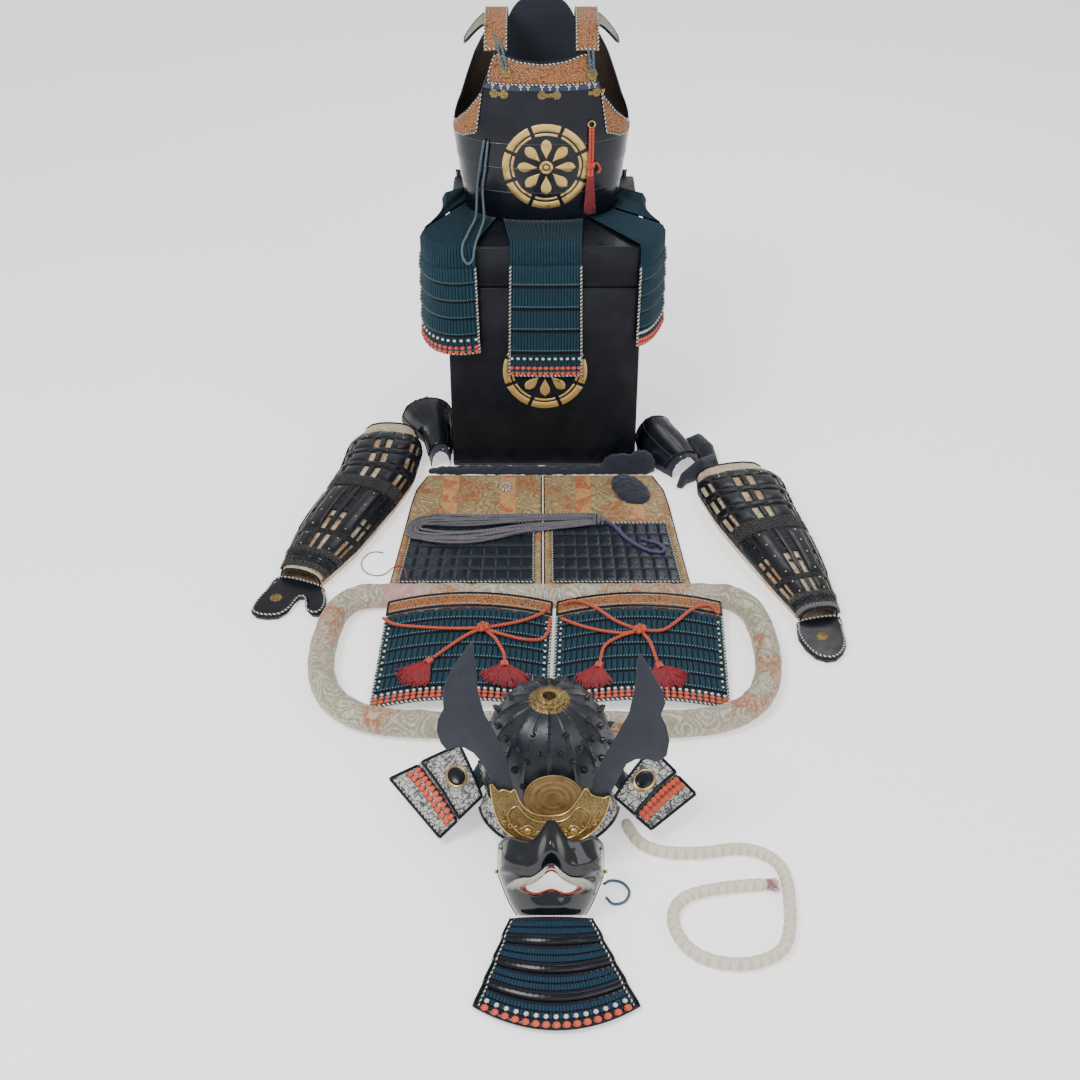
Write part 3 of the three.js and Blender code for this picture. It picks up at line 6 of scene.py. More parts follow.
import bpy
from mathutils import Vector, noise
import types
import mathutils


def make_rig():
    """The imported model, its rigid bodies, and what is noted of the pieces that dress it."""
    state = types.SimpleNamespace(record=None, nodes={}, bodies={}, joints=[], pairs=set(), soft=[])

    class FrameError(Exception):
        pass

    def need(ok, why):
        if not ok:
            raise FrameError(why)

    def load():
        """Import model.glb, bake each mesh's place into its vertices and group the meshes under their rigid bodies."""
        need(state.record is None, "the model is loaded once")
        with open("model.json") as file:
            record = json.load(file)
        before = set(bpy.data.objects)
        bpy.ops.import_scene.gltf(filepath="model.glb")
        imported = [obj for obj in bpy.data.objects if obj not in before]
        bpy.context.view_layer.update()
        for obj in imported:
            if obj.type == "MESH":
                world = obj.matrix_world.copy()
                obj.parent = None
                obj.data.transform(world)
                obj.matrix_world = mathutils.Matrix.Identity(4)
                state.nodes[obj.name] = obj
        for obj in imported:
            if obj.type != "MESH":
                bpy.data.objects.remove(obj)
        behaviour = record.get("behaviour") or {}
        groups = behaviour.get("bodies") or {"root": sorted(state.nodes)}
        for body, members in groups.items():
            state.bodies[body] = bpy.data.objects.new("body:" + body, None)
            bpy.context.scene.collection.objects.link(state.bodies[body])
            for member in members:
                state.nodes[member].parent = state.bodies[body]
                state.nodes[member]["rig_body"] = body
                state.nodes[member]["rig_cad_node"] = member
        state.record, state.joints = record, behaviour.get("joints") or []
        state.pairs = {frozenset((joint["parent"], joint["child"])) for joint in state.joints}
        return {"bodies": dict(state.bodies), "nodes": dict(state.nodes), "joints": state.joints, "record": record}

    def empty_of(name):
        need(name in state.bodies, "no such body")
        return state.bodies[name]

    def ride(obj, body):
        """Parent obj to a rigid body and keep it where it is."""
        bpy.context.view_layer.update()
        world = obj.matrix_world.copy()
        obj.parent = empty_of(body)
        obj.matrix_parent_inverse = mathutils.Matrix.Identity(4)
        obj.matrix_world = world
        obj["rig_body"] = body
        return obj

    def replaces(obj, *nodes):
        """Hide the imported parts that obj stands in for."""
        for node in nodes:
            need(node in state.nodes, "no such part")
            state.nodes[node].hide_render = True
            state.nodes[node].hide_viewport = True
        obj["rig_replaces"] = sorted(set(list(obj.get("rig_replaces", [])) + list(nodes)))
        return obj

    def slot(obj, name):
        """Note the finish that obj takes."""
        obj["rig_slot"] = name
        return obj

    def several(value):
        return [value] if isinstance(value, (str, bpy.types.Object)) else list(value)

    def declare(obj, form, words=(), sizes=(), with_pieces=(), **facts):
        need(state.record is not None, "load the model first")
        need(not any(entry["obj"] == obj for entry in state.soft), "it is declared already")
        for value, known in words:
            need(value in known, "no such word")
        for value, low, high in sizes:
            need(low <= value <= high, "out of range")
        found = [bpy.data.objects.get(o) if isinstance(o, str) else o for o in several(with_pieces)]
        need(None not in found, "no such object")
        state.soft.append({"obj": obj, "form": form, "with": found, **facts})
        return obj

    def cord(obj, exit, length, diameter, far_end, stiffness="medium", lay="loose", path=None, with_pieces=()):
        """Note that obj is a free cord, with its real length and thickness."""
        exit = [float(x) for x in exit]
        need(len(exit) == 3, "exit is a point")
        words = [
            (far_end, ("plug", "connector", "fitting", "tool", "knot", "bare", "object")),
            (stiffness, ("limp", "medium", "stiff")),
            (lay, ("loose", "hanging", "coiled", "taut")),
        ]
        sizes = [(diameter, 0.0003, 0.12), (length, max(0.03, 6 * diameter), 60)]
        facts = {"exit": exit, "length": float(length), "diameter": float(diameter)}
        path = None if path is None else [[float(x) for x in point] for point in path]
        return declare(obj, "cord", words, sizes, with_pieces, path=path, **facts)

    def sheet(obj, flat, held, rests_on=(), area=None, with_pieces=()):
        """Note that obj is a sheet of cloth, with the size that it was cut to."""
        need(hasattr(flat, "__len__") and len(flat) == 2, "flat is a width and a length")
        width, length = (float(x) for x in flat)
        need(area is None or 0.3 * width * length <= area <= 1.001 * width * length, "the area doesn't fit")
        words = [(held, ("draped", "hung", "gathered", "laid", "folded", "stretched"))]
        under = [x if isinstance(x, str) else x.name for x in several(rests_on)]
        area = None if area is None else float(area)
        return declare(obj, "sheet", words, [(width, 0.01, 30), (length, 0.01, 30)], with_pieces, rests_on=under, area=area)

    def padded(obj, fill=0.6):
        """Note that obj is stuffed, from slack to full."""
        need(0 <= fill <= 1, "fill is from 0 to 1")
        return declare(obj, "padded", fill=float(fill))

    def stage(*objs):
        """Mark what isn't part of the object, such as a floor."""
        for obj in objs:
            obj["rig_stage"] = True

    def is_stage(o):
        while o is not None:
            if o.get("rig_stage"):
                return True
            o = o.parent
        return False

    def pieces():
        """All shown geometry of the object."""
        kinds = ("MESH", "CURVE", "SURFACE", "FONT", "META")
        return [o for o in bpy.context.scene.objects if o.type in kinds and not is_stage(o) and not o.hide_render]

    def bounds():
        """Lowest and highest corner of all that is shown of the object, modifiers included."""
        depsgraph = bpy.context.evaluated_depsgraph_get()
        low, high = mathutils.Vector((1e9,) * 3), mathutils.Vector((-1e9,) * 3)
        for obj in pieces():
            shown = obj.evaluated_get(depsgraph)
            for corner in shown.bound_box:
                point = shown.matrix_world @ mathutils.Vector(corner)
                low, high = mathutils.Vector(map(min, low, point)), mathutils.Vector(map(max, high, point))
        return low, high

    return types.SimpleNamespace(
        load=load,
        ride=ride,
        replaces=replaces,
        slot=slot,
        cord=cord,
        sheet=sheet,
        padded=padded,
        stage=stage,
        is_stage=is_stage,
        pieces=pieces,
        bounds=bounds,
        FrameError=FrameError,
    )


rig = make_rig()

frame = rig.load()
CAD_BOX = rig.bounds()
NODES = frame["nodes"]
MM = 0.001
RAD = math.pi / 180
random.seed(7)


# ---------------------------------------------------------------- numbers
def mix(a, b, t):
    return a + (b - a) * t


def clamp(t, low=0.0, high=1.0):
    return max(low, min(high, t))


def power(t, n):
    return max(t, 0.0) ** n


def steps(a, b, n):
    return [mix(a, b, i / n) for i in range(n + 1)]


def fract(t):
    return t - math.floor(t)


def smooth(t):
    t = clamp(t)
    return t * t * (3 - 2 * t)


def bump(t, middle, width):
    return math.exp(-(((t - middle) / width) ** 2))


def straight(table, column, at):
    i = 0
    while i < len(table) - 2 and at > table[i + 1][0]:
        i += 1
    a, b = table[i], table[i + 1]
    return mix(a[column], b[column], (at - a[0]) / (b[0] - a[0]))


def along(table, column, at):
    last = len(table) - 1
    i = 0
    while i < last - 1 and at > table[i + 1][0]:
        i += 1
    a, b = table[i], table[i + 1]
    t = clamp((at - a[0]) / (b[0] - a[0]))
    before, after = table[max(i - 1, 0)], table[min(i + 2, last)]
    span = b[0] - a[0]

    def slope(p, q):
        return 0 if q[0] == p[0] else (q[column] - p[column]) / (q[0] - p[0]) * span

    m0, m1 = slope(before, b), slope(a, after)
    t2, t3 = t * t, t * t * t
    return ((2 * t3 - 3 * t2 + 1) * a[column] + (t3 - 2 * t2 + t) * m0
            + (-2 * t3 + 3 * t2) * b[column] + (t3 - t2) * m1)


def wobble(p, scale, seed=0):
    return noise.noise(Vector((p[0] * scale + seed * 7.3, p[1] * scale - seed * 3.1, p[2] * scale)))


def curve_points(points, count, closed=False):
    """Even points on a smooth curve through the given ones."""
    pts = [Vector(p) for p in points]
    n = len(pts)
    dense = []
    spans = n if closed else n - 1
    for i in range(spans):
        p0 = pts[(i - 1) % n] if closed or i > 0 else pts[0] * 2 - pts[1]
        p1, p2 = pts[i], pts[(i + 1) % n]
        p3 = pts[(i + 2) % n] if closed or i + 2 < n else p2 * 2 - p1
        for k in range(12):
            t = k / 12
            dense.append(0.5 * ((2 * p1) + (p2 - p0) * t + (2 * p0 - 5 * p1 + 4 * p2 - p3) * t * t
                                + (3 * p1 - p0 - 3 * p2 + p3) * t ** 3))
    dense.append(pts[0].copy() if closed else pts[-1].copy())
    total = [0.0]
    for a, b in zip(dense, dense[1:]):
        total.append(total[-1] + (b - a).length)
    out, j = [], 0
    for i in range(count + 1):
        want = total[-1] * i / count
        while j < len(total) - 2 and total[j + 1] < want:
            j += 1
        gap = total[j + 1] - total[j]
        out.append(dense[j].lerp(dense[j + 1], 0 if gap == 0 else clamp((want - total[j]) / gap)))
    return out


def route_length(points):
    return sum((b - a).length for a, b in zip(points, points[1:]))


# ---------------------------------------------------------------- meshes
class Build:
    """Points, faces, UVs and material places of one piece, in millimetres."""

    def __init__(self):
        self.verts, self.faces, self.uvs, self.mats = [], [], [], []

    def face(self, ids, uvs, mat=0):
        self.faces.append(ids)
        self.uvs.append(uvs)
        self.mats.append(mat)

    def grid(self, surface, us, vs, mat=0, uv=None, wrap=False):
        uv = uv or (lambda u, v: (u, v))
        base, n = len(self.verts), len(vs)
        columns = us[:-1] if wrap else us
        for u in columns:
            for v in vs:
                self.verts.append(surface(u, v))
        for i in range(len(us) - 1):
            k = (i + 1) % len(columns) if wrap else i + 1
            for j in range(n - 1):
                ids = (base + i * n + j, base + k * n + j, base + k * n + j + 1, base + i * n + j + 1)
                self.face(ids, (uv(us[i], vs[j]), uv(us[i + 1], vs[j]), uv(us[i + 1], vs[j + 1]),
                                uv(us[i], vs[j + 1])), mat)

    def tube(self, points, radius, sides=8, mat=0, caps=True, flat=1.0, turns=0.0):
        """A round or flattened tube. radius is a number or a function of the place along it."""
        count = len(points)
        size = radius if callable(radius) else (lambda t: radius)
        tangent = [(points[min(i + 1, count - 1)] - points[max(i - 1, 0)]).normalized()
                   for i in range(count)]
        side = tangent[0].cross(Vector((0, 0, 1)))
        if side.length < 0.2:
            side = tangent[0].cross(Vector((0, 1, 0)))
        side.normalize()
        base = len(self.verts)
        run = 0.0
        runs = []
        for i, p in enumerate(points):
            if i:
                run += (p - points[i - 1]).length
                side = (side - tangent[i] * side.dot(tangent[i])).normalized()
            runs.append(run)
            up = side.cross(tangent[i])
            r = size(i / (count - 1))
            for k in range(sides):
                a = 2 * math.pi * k / sides + turns * run
                self.verts.append(p + side * (math.cos(a) * r) + up * (math.sin(a) * r * flat))
        for i in range(count - 1):
            for k in range(sides):
                n = (k + 1) % sides
                a, b = base + i * sides, base + (i + 1) * sides
                self.face((a + k, a + n, b + n, b + k),
                          ((k / sides, runs[i]), ((k + 1) / sides, runs[i]), ((k + 1) / sides, runs[i + 1]),
                           (k / sides, runs[i + 1])), mat)
        if caps:
            first = tuple(base + k for k in reversed(range(sides)))
            last = tuple(base + (count - 1) * sides + k for k in range(sides))
            self.face(first, tuple((0.5, 0) for _ in range(sides)), mat)
            self.face(last, tuple((0.5, run) for _ in range(sides)), mat)

    def ball(self, centre, size, axes=None, sides=8, rings=5, mat=0, power_=1.0):
        x, y, z = axes or (Vector((1, 0, 0)), Vector((0, 1, 0)), Vector((0, 0, 1)))
        base = len(self.verts)
        centre = Vector(centre)
        self.verts.append(centre - z * size[2])
        for j in range(1, rings):
            a = -math.pi / 2 + math.pi * j / rings
            c, s = math.cos(a), math.sin(a)
            c = abs(c) ** power_
            s = math.copysign(abs(s) ** power_, s)
            for k in range(sides):
                b = 2 * math.pi * k / sides
                self.verts.append(centre + x * (size[0] * c * math.cos(b)) + y * (size[1] * c * math.sin(b))
                                  + z * (size[2] * s))
        self.verts.append(centre + z * size[2])
        top = len(self.verts) - 1
        for k in range(sides):
            n = (k + 1) % sides
            self.face((base, base + 1 + n, base + 1 + k), ((0, 0),) * 3, mat)
            for j in range(rings - 2):
                a = base + 1 + j * sides
                b = a + sides
                self.face((a + k, a + n, b + n, b + k),
                          ((k / sides, j), (n / sides, j), (n / sides, j + 1), (k / sides, j + 1)), mat)
            a = base + 1 + (rings - 2) * sides
            self.face((a + k, a + n, top), ((0, 1),) * 3, mat)

    def slab(self, centre, axes, half, mat=0, taper=1.0):
        """A small block whose outer face may be smaller than its foot."""
        base = len(self.verts)
        for dz, k in ((-1, 1.0), (1, taper)):
            for dx, dy in ((-1, -1), (1, -1), (1, 1), (-1, 1)):
                self.verts.append(centre + axes[0] * (dx * half[0] * k) + axes[1] * (dy * half[1] * k)
                                  + axes[2] * (dz * half[2]))
        for ids in ((0, 3, 2, 1), (4, 5, 6, 7), (0, 1, 5, 4), (1, 2, 6, 5), (2, 3, 7, 6), (3, 0, 4, 7)):
            self.face(tuple(base + i for i in ids), ((0, 0), (1, 0), (1, 1), (0, 1)), mat)

    def tile(self, surface, u0, u1, v0, v1, rise, sink=0.5, mat=0, nu=3, nv=3, edge=0.16):
        """A domed plate on a surface(u, v, out), with its edges turned down."""
        us = [u0, mix(u0, u1, edge)] + [mix(u0, u1, mix(edge, 1 - edge, i / nu)) for i in range(1, nu)] + [
            mix(u0, u1, 1 - edge), u1]
        vs = [v0, mix(v0, v1, edge)] + [mix(v0, v1, mix(edge, 1 - edge, i / nv)) for i in range(1, nv)] + [
            mix(v0, v1, 1 - edge), v1]

        def height(t):
            return 1 - abs(2 * t - 1) ** 4

        def place(u, v):
            h = min(height((u - u0) / (u1 - u0)), height((v - v0) / (v1 - v0)))
            return surface(u, v, -sink + (rise + sink) * clamp(h * 1.6) ** 0.7)

        self.grid(place, us, vs, mat)


def frame_at(surface, u, v, du=1e-3, dv=1e-3):
    p = surface(u, v)
    a = (surface(u + du, v) - surface(u - du, v)).normalized()
    b = surface(u, v + dv) - surface(u, v - dv)
    n = a.cross(b).normalized()
    return p, a, n.cross(a), n


def raised(surface, flip=1.0, du=1e-3, dv=1e-3):
    """The same surface as a function of u, v and the distance outward."""
    def place(u, v, out=0.0):
        p, _, _, n = frame_at(surface, u, v, du, dv)
        return p + n * (out * flip)
    return place


def make(name, build, materials, replaces=(), slot=None, smooth_angle=40, solid=0.0, offset=-1.0):
    mesh = bpy.data.meshes.new(name)
    mesh.from_pydata([tuple(Vector(v) * MM) for v in build.verts], [], [tuple(f) for f in build.faces])
    layer = mesh.uv_layers.new(name="UVMap")
    flat = []
    for uvs in build.uvs:
        for uv in uvs:
            flat.extend(uv)
    layer.data.foreach_set("uv", flat)
    mesh.polygons.foreach_set("material_index", build.mats)
    for material in materials:
        mesh.materials.append(material)
    mesh.validate()
    mesh.shade_smooth()
    if smooth_angle < 180:
        mesh.set_sharp_from_angle(angle=smooth_angle * RAD)
    obj = bpy.data.objects.new(name, mesh)
    bpy.context.scene.collection.objects.link(obj)
    if solid:
        wall = obj.modifiers.new("wall", "SOLIDIFY")
        wall.thickness = solid * MM
        wall.offset = offset
        wall.use_even_offset = False
    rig.ride(obj, "root")
    if replaces:
        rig.replaces(obj, *replaces)
    if slot:
        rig.slot(obj, slot)
    return obj


# ---------------------------------------------------------------- materials
class Shader:
    """A node material built from short calls."""

    def __init__(self, name, rough=0.5, metal=0.0, **sockets):
        self.material = bpy.data.materials.new(name)
        self.material.use_nodes = True
        self.tree = self.material.node_tree
        self.bsdf = self.tree.nodes["Principled BSDF"]
        self.bsdf.inputs["Roughness"].default_value = rough
        self.bsdf.inputs["Metallic"].default_value = metal
        for key, value in sockets.items():
            self.bsdf.inputs[key.replace("_", " ")].default_value = value

    def node(self, kind, **props):
        n = self.tree.nodes.new(kind)
        for key, value in props.items():
            setattr(n, key, value)
        return n

    def put(self, socket, value):
        if value is None:
            return
        if isinstance(value, bpy.types.NodeSocket):
            self.tree.links.new(value, socket)
        elif isinstance(value, (tuple, list)):
            full = list(value)
            if len(socket.default_value) == 4 and len(full) == 3:
                full.append(1.0)
            socket.default_value = full
        else:
            socket.default_value = value

    def place(self, scale=(1, 1, 1), uv=False, turn=(0, 0, 0)):
        source = self.node("ShaderNodeTexCoord")
        mapping = self.node("ShaderNodeMapping")
        self.put(mapping.inputs["Vector"], source.outputs["UV" if uv else "Object"])
        mapping.inputs["Scale"].default_value = scale
        mapping.inputs["Rotation"].default_value = turn
        return mapping.outputs["Vector"]

    def noise(self, scale, detail=3.0, rough=0.5, distort=0.0, vector=None):
        n = self.node("ShaderNodeTexNoise")
        self.put(n.inputs["Vector"], vector if vector is not None else self.place())
        n.inputs["Scale"].default_value = scale
        n.inputs["Detail"].default_value = detail
        n.inputs["Roughness"].default_value = rough
        n.inputs["Distortion"].default_value = distort
        return n.outputs["Fac"]

    def voronoi(self, scale, feature="F1", vector=None, output="Distance"):
        n = self.node("ShaderNodeTexVoronoi", feature=feature)
        self.put(n.inputs["Vector"], vector if vector is not None else self.place())
        n.inputs["Scale"].default_value = scale
        return n.outputs[output]

    def wave(self, scale, distort=0.0, direction="X", vector=None, kind="BANDS", detail=2.0):
        n = self.node("ShaderNodeTexWave", wave_type=kind)
        if kind == "BANDS":
            n.bands_direction = direction
        self.put(n.inputs["Vector"], vector if vector is not None else self.place())
        n.inputs["Scale"].default_value = scale
        n.inputs["Distortion"].default_value = distort
        n.inputs["Detail"].default_value = detail
        return n.outputs["Fac"]

    def math(self, operation, a, b=0.0, c=0.0, clamped=False):
        n = self.node("ShaderNodeMath", operation=operation, use_clamp=clamped)
        self.put(n.inputs[0], a)
        self.put(n.inputs[1], b)
        self.put(n.inputs[2], c)
        return n.outputs[0]

    def mix(self, factor, a, b):
        n = self.node("ShaderNodeMix", data_type="RGBA")
        self.put(n.inputs["Factor"], factor)
        self.put(n.inputs[6], a)
        self.put(n.inputs[7], b)
        return n.outputs[2]

    def ramp(self, value, stops, smooth_=False):
        n = self.node("ShaderNodeValToRGB")
        self.put(n.inputs[0], value)
        ramp = n.color_ramp
        ramp.interpolation = "EASE" if smooth_ else "LINEAR"
        while len(ramp.elements) < len(stops):
            ramp.elements.new(0.5)
        for element, (at, colour) in zip(ramp.elements, stops):
            element.position = at
            if not isinstance(colour, (tuple, list)):
                colour = (colour, colour, colour)
            element.color = (*colour, 1.0)
        return n.outputs[0]

    def split(self, vector):
        n = self.node("ShaderNodeSeparateXYZ")
        self.put(n.inputs[0], vector)
        return n.outputs

    def join(self, x, y, z=0.0):
        n = self.node("ShaderNodeCombineXYZ")
        for socket, value in zip(n.inputs, (x, y, z)):
            self.put(socket, value)
        return n.outputs[0]

    def step(self, value, edge, soft=0.02):
        """0 below the edge and 1 above it."""
        n = self.node("ShaderNodeMapRange", clamp=True)
        self.put(n.inputs["Value"], value)
        n.inputs["From Min"].default_value = edge - soft
        n.inputs["From Max"].default_value = edge + soft
        return n.outputs[0]

    def colour(self, value):
        self.put(self.bsdf.inputs["Base Color"], value)
        return self

    def rough(self, value):
        self.put(self.bsdf.inputs["Roughness"], value)
        return self

    def metal(self, value):
        self.put(self.bsdf.inputs["Metallic"], value)
        return self

    def bump(self, height, strength=0.4, distance=0.0006, under=None):
        n = self.node("ShaderNodeBump")
        n.inputs["Strength"].default_value = strength
        n.inputs["Distance"].default_value = distance
        self.put(n.inputs["Height"], height)
        if under is not None:
            self.put(n.inputs["Normal"], under)
        self.put(self.bsdf.inputs["Normal"], n.outputs[0])
        return n.outputs[0]


def weave(s, size=900.0):
    """A fine over-and-under weave from two sets of bands."""
    a = s.wave(size, direction="X", detail=0)
    b = s.wave(size, direction="Y", detail=0)
    c = s.wave(size, direction="Z", detail=0)
    return s.math("ADD", s.math("MULTIPLY", a, b), c)


def lacquer_material(name, tint=(0.004, 0.005, 0.009), rough=0.2, wear=0.0, coat=0.12):
    s = Shader(name, rough=rough, Coat_Weight=coat, Coat_Roughness=0.1, Specular_IOR_Level=0.2)
    clouds = s.noise(14, 4)
    light = tuple(c * 1.8 + 0.002 for c in tint)
    base = s.mix(s.ramp(clouds, [(0.35, 0.0), (0.75, 1.0)]), tint, light)
    if wear:
        chips = s.step(s.noise(60, 8, 0.75), 1 - wear, 0.02)
        base = s.mix(s.math("MULTIPLY", chips, 0.35), base, (0.045, 0.035, 0.03))
    s.colour(base)
    s.rough(s.ramp(s.noise(40, 5, 0.6), [(0.3, rough * 0.75), (0.8, rough * 2.0)]))
    s.bump(s.noise(22, 2), 0.12, 0.002)
    return s.material


def leather_print_material():
    s = Shader("leather_print", rough=0.62)
    twist = s.noise(90, 2)
    vector = s.node("ShaderNodeVectorMath", operation="ADD")
    s.put(vector.inputs[0], s.place())
    s.put(vector.inputs[1], s.join(s.math("MULTIPLY", twist, 0.006), s.math("MULTIPLY", twist, -0.004),
                                   s.math("MULTIPLY", twist, 0.007)))
    lines = s.voronoi(230, "DISTANCE_TO_EDGE", vector.outputs[0])
    dots = s.voronoi(420, "F1", vector.outputs[0])
    ink = s.math("MULTIPLY", s.step(lines, 0.10, 0.05), s.step(dots, 0.22, 0.08))
    ground = s.mix(s.noise(35, 4), (0.33, 0.11, 0.022), (0.46, 0.185, 0.052))
    s.colour(s.mix(ink, (0.045, 0.018, 0.012), ground))
    s.bump(s.math("ADD", ink, s.noise(500, 3)), 0.35, 0.0004)
    return s.material


def leather_white_material():
    s = Shader("leather_white", rough=0.6)
    specks = s.noise(150, 4, 0.6, 2.2)
    curls = s.voronoi(85, "DISTANCE_TO_EDGE")
    leaves = s.step(s.noise(48, 2, 0.5, 2.5), 0.56, 0.02)
    ink = s.math("MAXIMUM", s.step(specks, 0.57, 0.02), s.math("SUBTRACT", 1.0, s.step(curls, 0.05, 0.02)))
    ink = s.math("MAXIMUM", ink, s.math("MULTIPLY", leaves, s.step(specks, 0.42, 0.03)))
    ground = s.mix(s.noise(30, 3), (0.40, 0.39, 0.33), (0.60, 0.59, 0.52))
    s.colour(s.mix(ink, ground, (0.035, 0.04, 0.055)))
    s.bump(s.noise(420, 3), 0.3, 0.0004)
    return s.material


def leather_brown_material():
    s = Shader("leather_brown", rough=0.6)
    s.colour(s.mix(s.noise(25, 6), (0.016, 0.011, 0.009), (0.050, 0.032, 0.023)))
    s.bump(s.voronoi(520, "DISTANCE_TO_EDGE"), 0.4, 0.0004)
    return s.material


def brocade_material(name, ground, deep, gold, rust, flower=26.0, stripes=None, pink=None):
    s = Shader(name, rough=0.62, Sheen_Weight=0.25, Sheen_Roughness=0.4)
    twist = s.noise(flower * 0.9, 2)
    warped = s.node("ShaderNodeVectorMath", operation="ADD")
    s.put(warped.inputs[0], s.place())
    s.put(warped.inputs[1], s.join(s.math("MULTIPLY", twist, 0.03), s.math("MULTIPLY", twist, -0.022), 0.0))
    cells = s.voronoi(flower, "SMOOTH_F1", warped.outputs[0])
    rings = s.math("ABSOLUTE", s.math("SINE", s.math("MULTIPLY", cells, 30.0)))
    leaf = s.step(s.noise(flower * 3.2, 2, 0.5, 1.6), 0.52, 0.03)
    base = s.mix(s.noise(9, 3), ground, deep)
    base = s.mix(s.math("MULTIPLY", s.step(rings, 0.6, 0.1), 0.55), base, gold)
    base = s.mix(s.math("MULTIPLY", leaf, 0.45), base, gold)
    patches = s.step(s.noise(flower * 0.55, 1, 0.4), 0.55, 0.03)
    base = s.mix(s.math("MULTIPLY", patches, s.math("ADD", 0.35, s.math("MULTIPLY", leaf, 0.6))), base, rust)
    if pink:
        blooms = s.math("SUBTRACT", 1.0, s.step(s.voronoi(6.0, "F1"), 0.26, 0.05))
        base = s.mix(s.math("MULTIPLY", blooms, 0.8), base, s.mix(s.noise(60, 3, 0.6, 1.0), pink, ground))
    if stripes:
        place = s.split(s.place(uv=True))[0]
        part = s.math("FRACT", s.math("MULTIPLY", place, stripes))
        band = s.math("MULTIPLY", s.step(part, 0.36, 0.01),
                      s.math("SUBTRACT", 1.0, s.step(part, 0.60, 0.01)))
        orange = s.mix(s.step(s.noise(110, 3, 0.5, 1.5), 0.5, 0.05), (0.50, 0.20, 0.06), (0.60, 0.38, 0.17))
        base = s.mix(s.math("MULTIPLY", band, 0.9), base, orange)
    s.colour(base)
    grain = weave(s, 420)
    s.bump(s.math("ADD", s.math("MULTIPLY", grain, 0.5), leaf), 0.35, 0.0005)
    return s.material


def cloth_material(name, dark, light, size=520.0, sheen=0.2):
    s = Shader(name, rough=0.85, Sheen_Weight=sheen, Sheen_Roughness=0.5)
    s.colour(s.mix(s.noise(24, 5), dark, light))
    s.bump(s.math("ADD", weave(s, size), s.noise(35, 3)), 0.35, 0.0007)
    return s.material


def lacing_material(name, dark, light, lame=True):
    """U counts braids and V counts lames. Each braid is a chevron, and each lame ends in a dark line."""
    s = Shader(name, rough=0.75, Sheen_Weight=0.06, Sheen_Roughness=0.35, Specular_IOR_Level=0.12)
    u, v, _ = s.split(s.place(uv=True))
    across = s.math("ABSOLUTE", s.math("SUBTRACT", s.math("FRACT", u), 0.5))
    braid = s.math("SINE", s.math("ADD", s.math("MULTIPLY", v, 88.0), s.math("MULTIPLY", across, 7.0)))
    tone = s.noise(120, 3)
    body = s.mix(tone, dark, light)
    body = s.mix(s.math("MULTIPLY", s.math("ADD", braid, 1.0), 0.22), body, tuple(c * 0.35 for c in dark))
    groove = s.step(across, 0.37, 0.07)
    body = s.mix(groove, body, (0.004, 0.006, 0.010))
    height = s.math("SUBTRACT", s.math("MULTIPLY", braid, 0.25), groove)
    if lame:
        row = s.math("FRACT", v)
        low = s.step(row, 0.85, 0.02)
        body = s.mix(low, body, (0.006, 0.007, 0.010))
        stitch = s.math("MULTIPLY", s.step(row, 0.77, 0.01),
                        s.math("SUBTRACT", 1.0, s.step(row, 0.83, 0.01)))
        dots = s.step(s.math("SINE", s.math("MULTIPLY", u, 12.566)), 0.15, 0.2)
        body = s.mix(s.math("MULTIPLY", stitch, dots), body, (0.10, 0.21, 0.27))
        body = s.mix(s.math("MULTIPLY", stitch, s.math("SUBTRACT", 1.0, dots)), body, (0.006, 0.008, 0.012))
        height = s.math("SUBTRACT", height, s.math("MULTIPLY", low, 2.0))
    s.colour(body)
    s.bump(height, 0.5, 0.0005)
    return s.material


def cord_material(name, dark, light, pitch=0.9, strands=2.0, rough=0.7, deep=0.45):
    """A round braid: two sets of bands that wind round the cord. V is millimetres along it."""
    s = Shader(name, rough=rough, Sheen_Weight=0.3, Sheen_Roughness=0.4)
    u, v, _ = s.split(s.place(uv=True))
    one = s.math("SINE",
                 s.math("ADD", s.math("MULTIPLY", v, pitch), s.math("MULTIPLY", u, 6.2832 * strands)))
    two = s.math("SINE",
                 s.math("SUBTRACT", s.math("MULTIPLY", v, pitch), s.math("MULTIPLY", u, 6.2832 * strands)))
    relief = s.math("MAXIMUM", one, two)
    base = s.mix(s.noise(60, 3), dark, light)
    s.colour(s.mix(s.step(relief, 0.25, 0.35), tuple(c * deep for c in dark), base))
    s.bump(relief, 0.45, 0.0006)
    return s.material


def striped_material(name, one, two, pitch=0.9, ratio=0.0, rough=0.65):
    s = Shader(name, rough=rough)
    u, v, _ = s.split(s.place(uv=True))
    turn = s.math("SINE", s.math("ADD", s.math("MULTIPLY", v, pitch), s.math("MULTIPLY", u, 6.2832)))
    s.colour(s.mix(s.step(turn, ratio, 0.15), one, two))
    s.bump(turn, 0.4, 0.0005)
    return s.material


def gilt_material(name="gilt", bright=(0.40, 0.28, 0.11), dark=(0.06, 0.04, 0.018), rough=0.36, chased=True):
    s = Shader(name, rough=rough, metal=0.9)
    wear = s.noise(45, 6, 0.65)
    base = s.mix(s.ramp(wear, [(0.35, 0.0), (0.7, 1.0)]), bright,
                 tuple(mix(b, d, 0.6) for b, d in zip(bright, dark)))
    if chased:
        cut = s.voronoi(330, "DISTANCE_TO_EDGE")
        line = s.step(cut, 0.07, 0.05)
        base = s.mix(line, dark, base)
        s.bump(line, 0.5, 0.0005)
    else:
        s.bump(s.noise(120, 4), 0.15, 0.0006)
    s.colour(base)
    s.rough(s.ramp(s.noise(70, 4), [(0.3, rough * 0.8), (0.8, rough * 1.7)]))
    return s.material


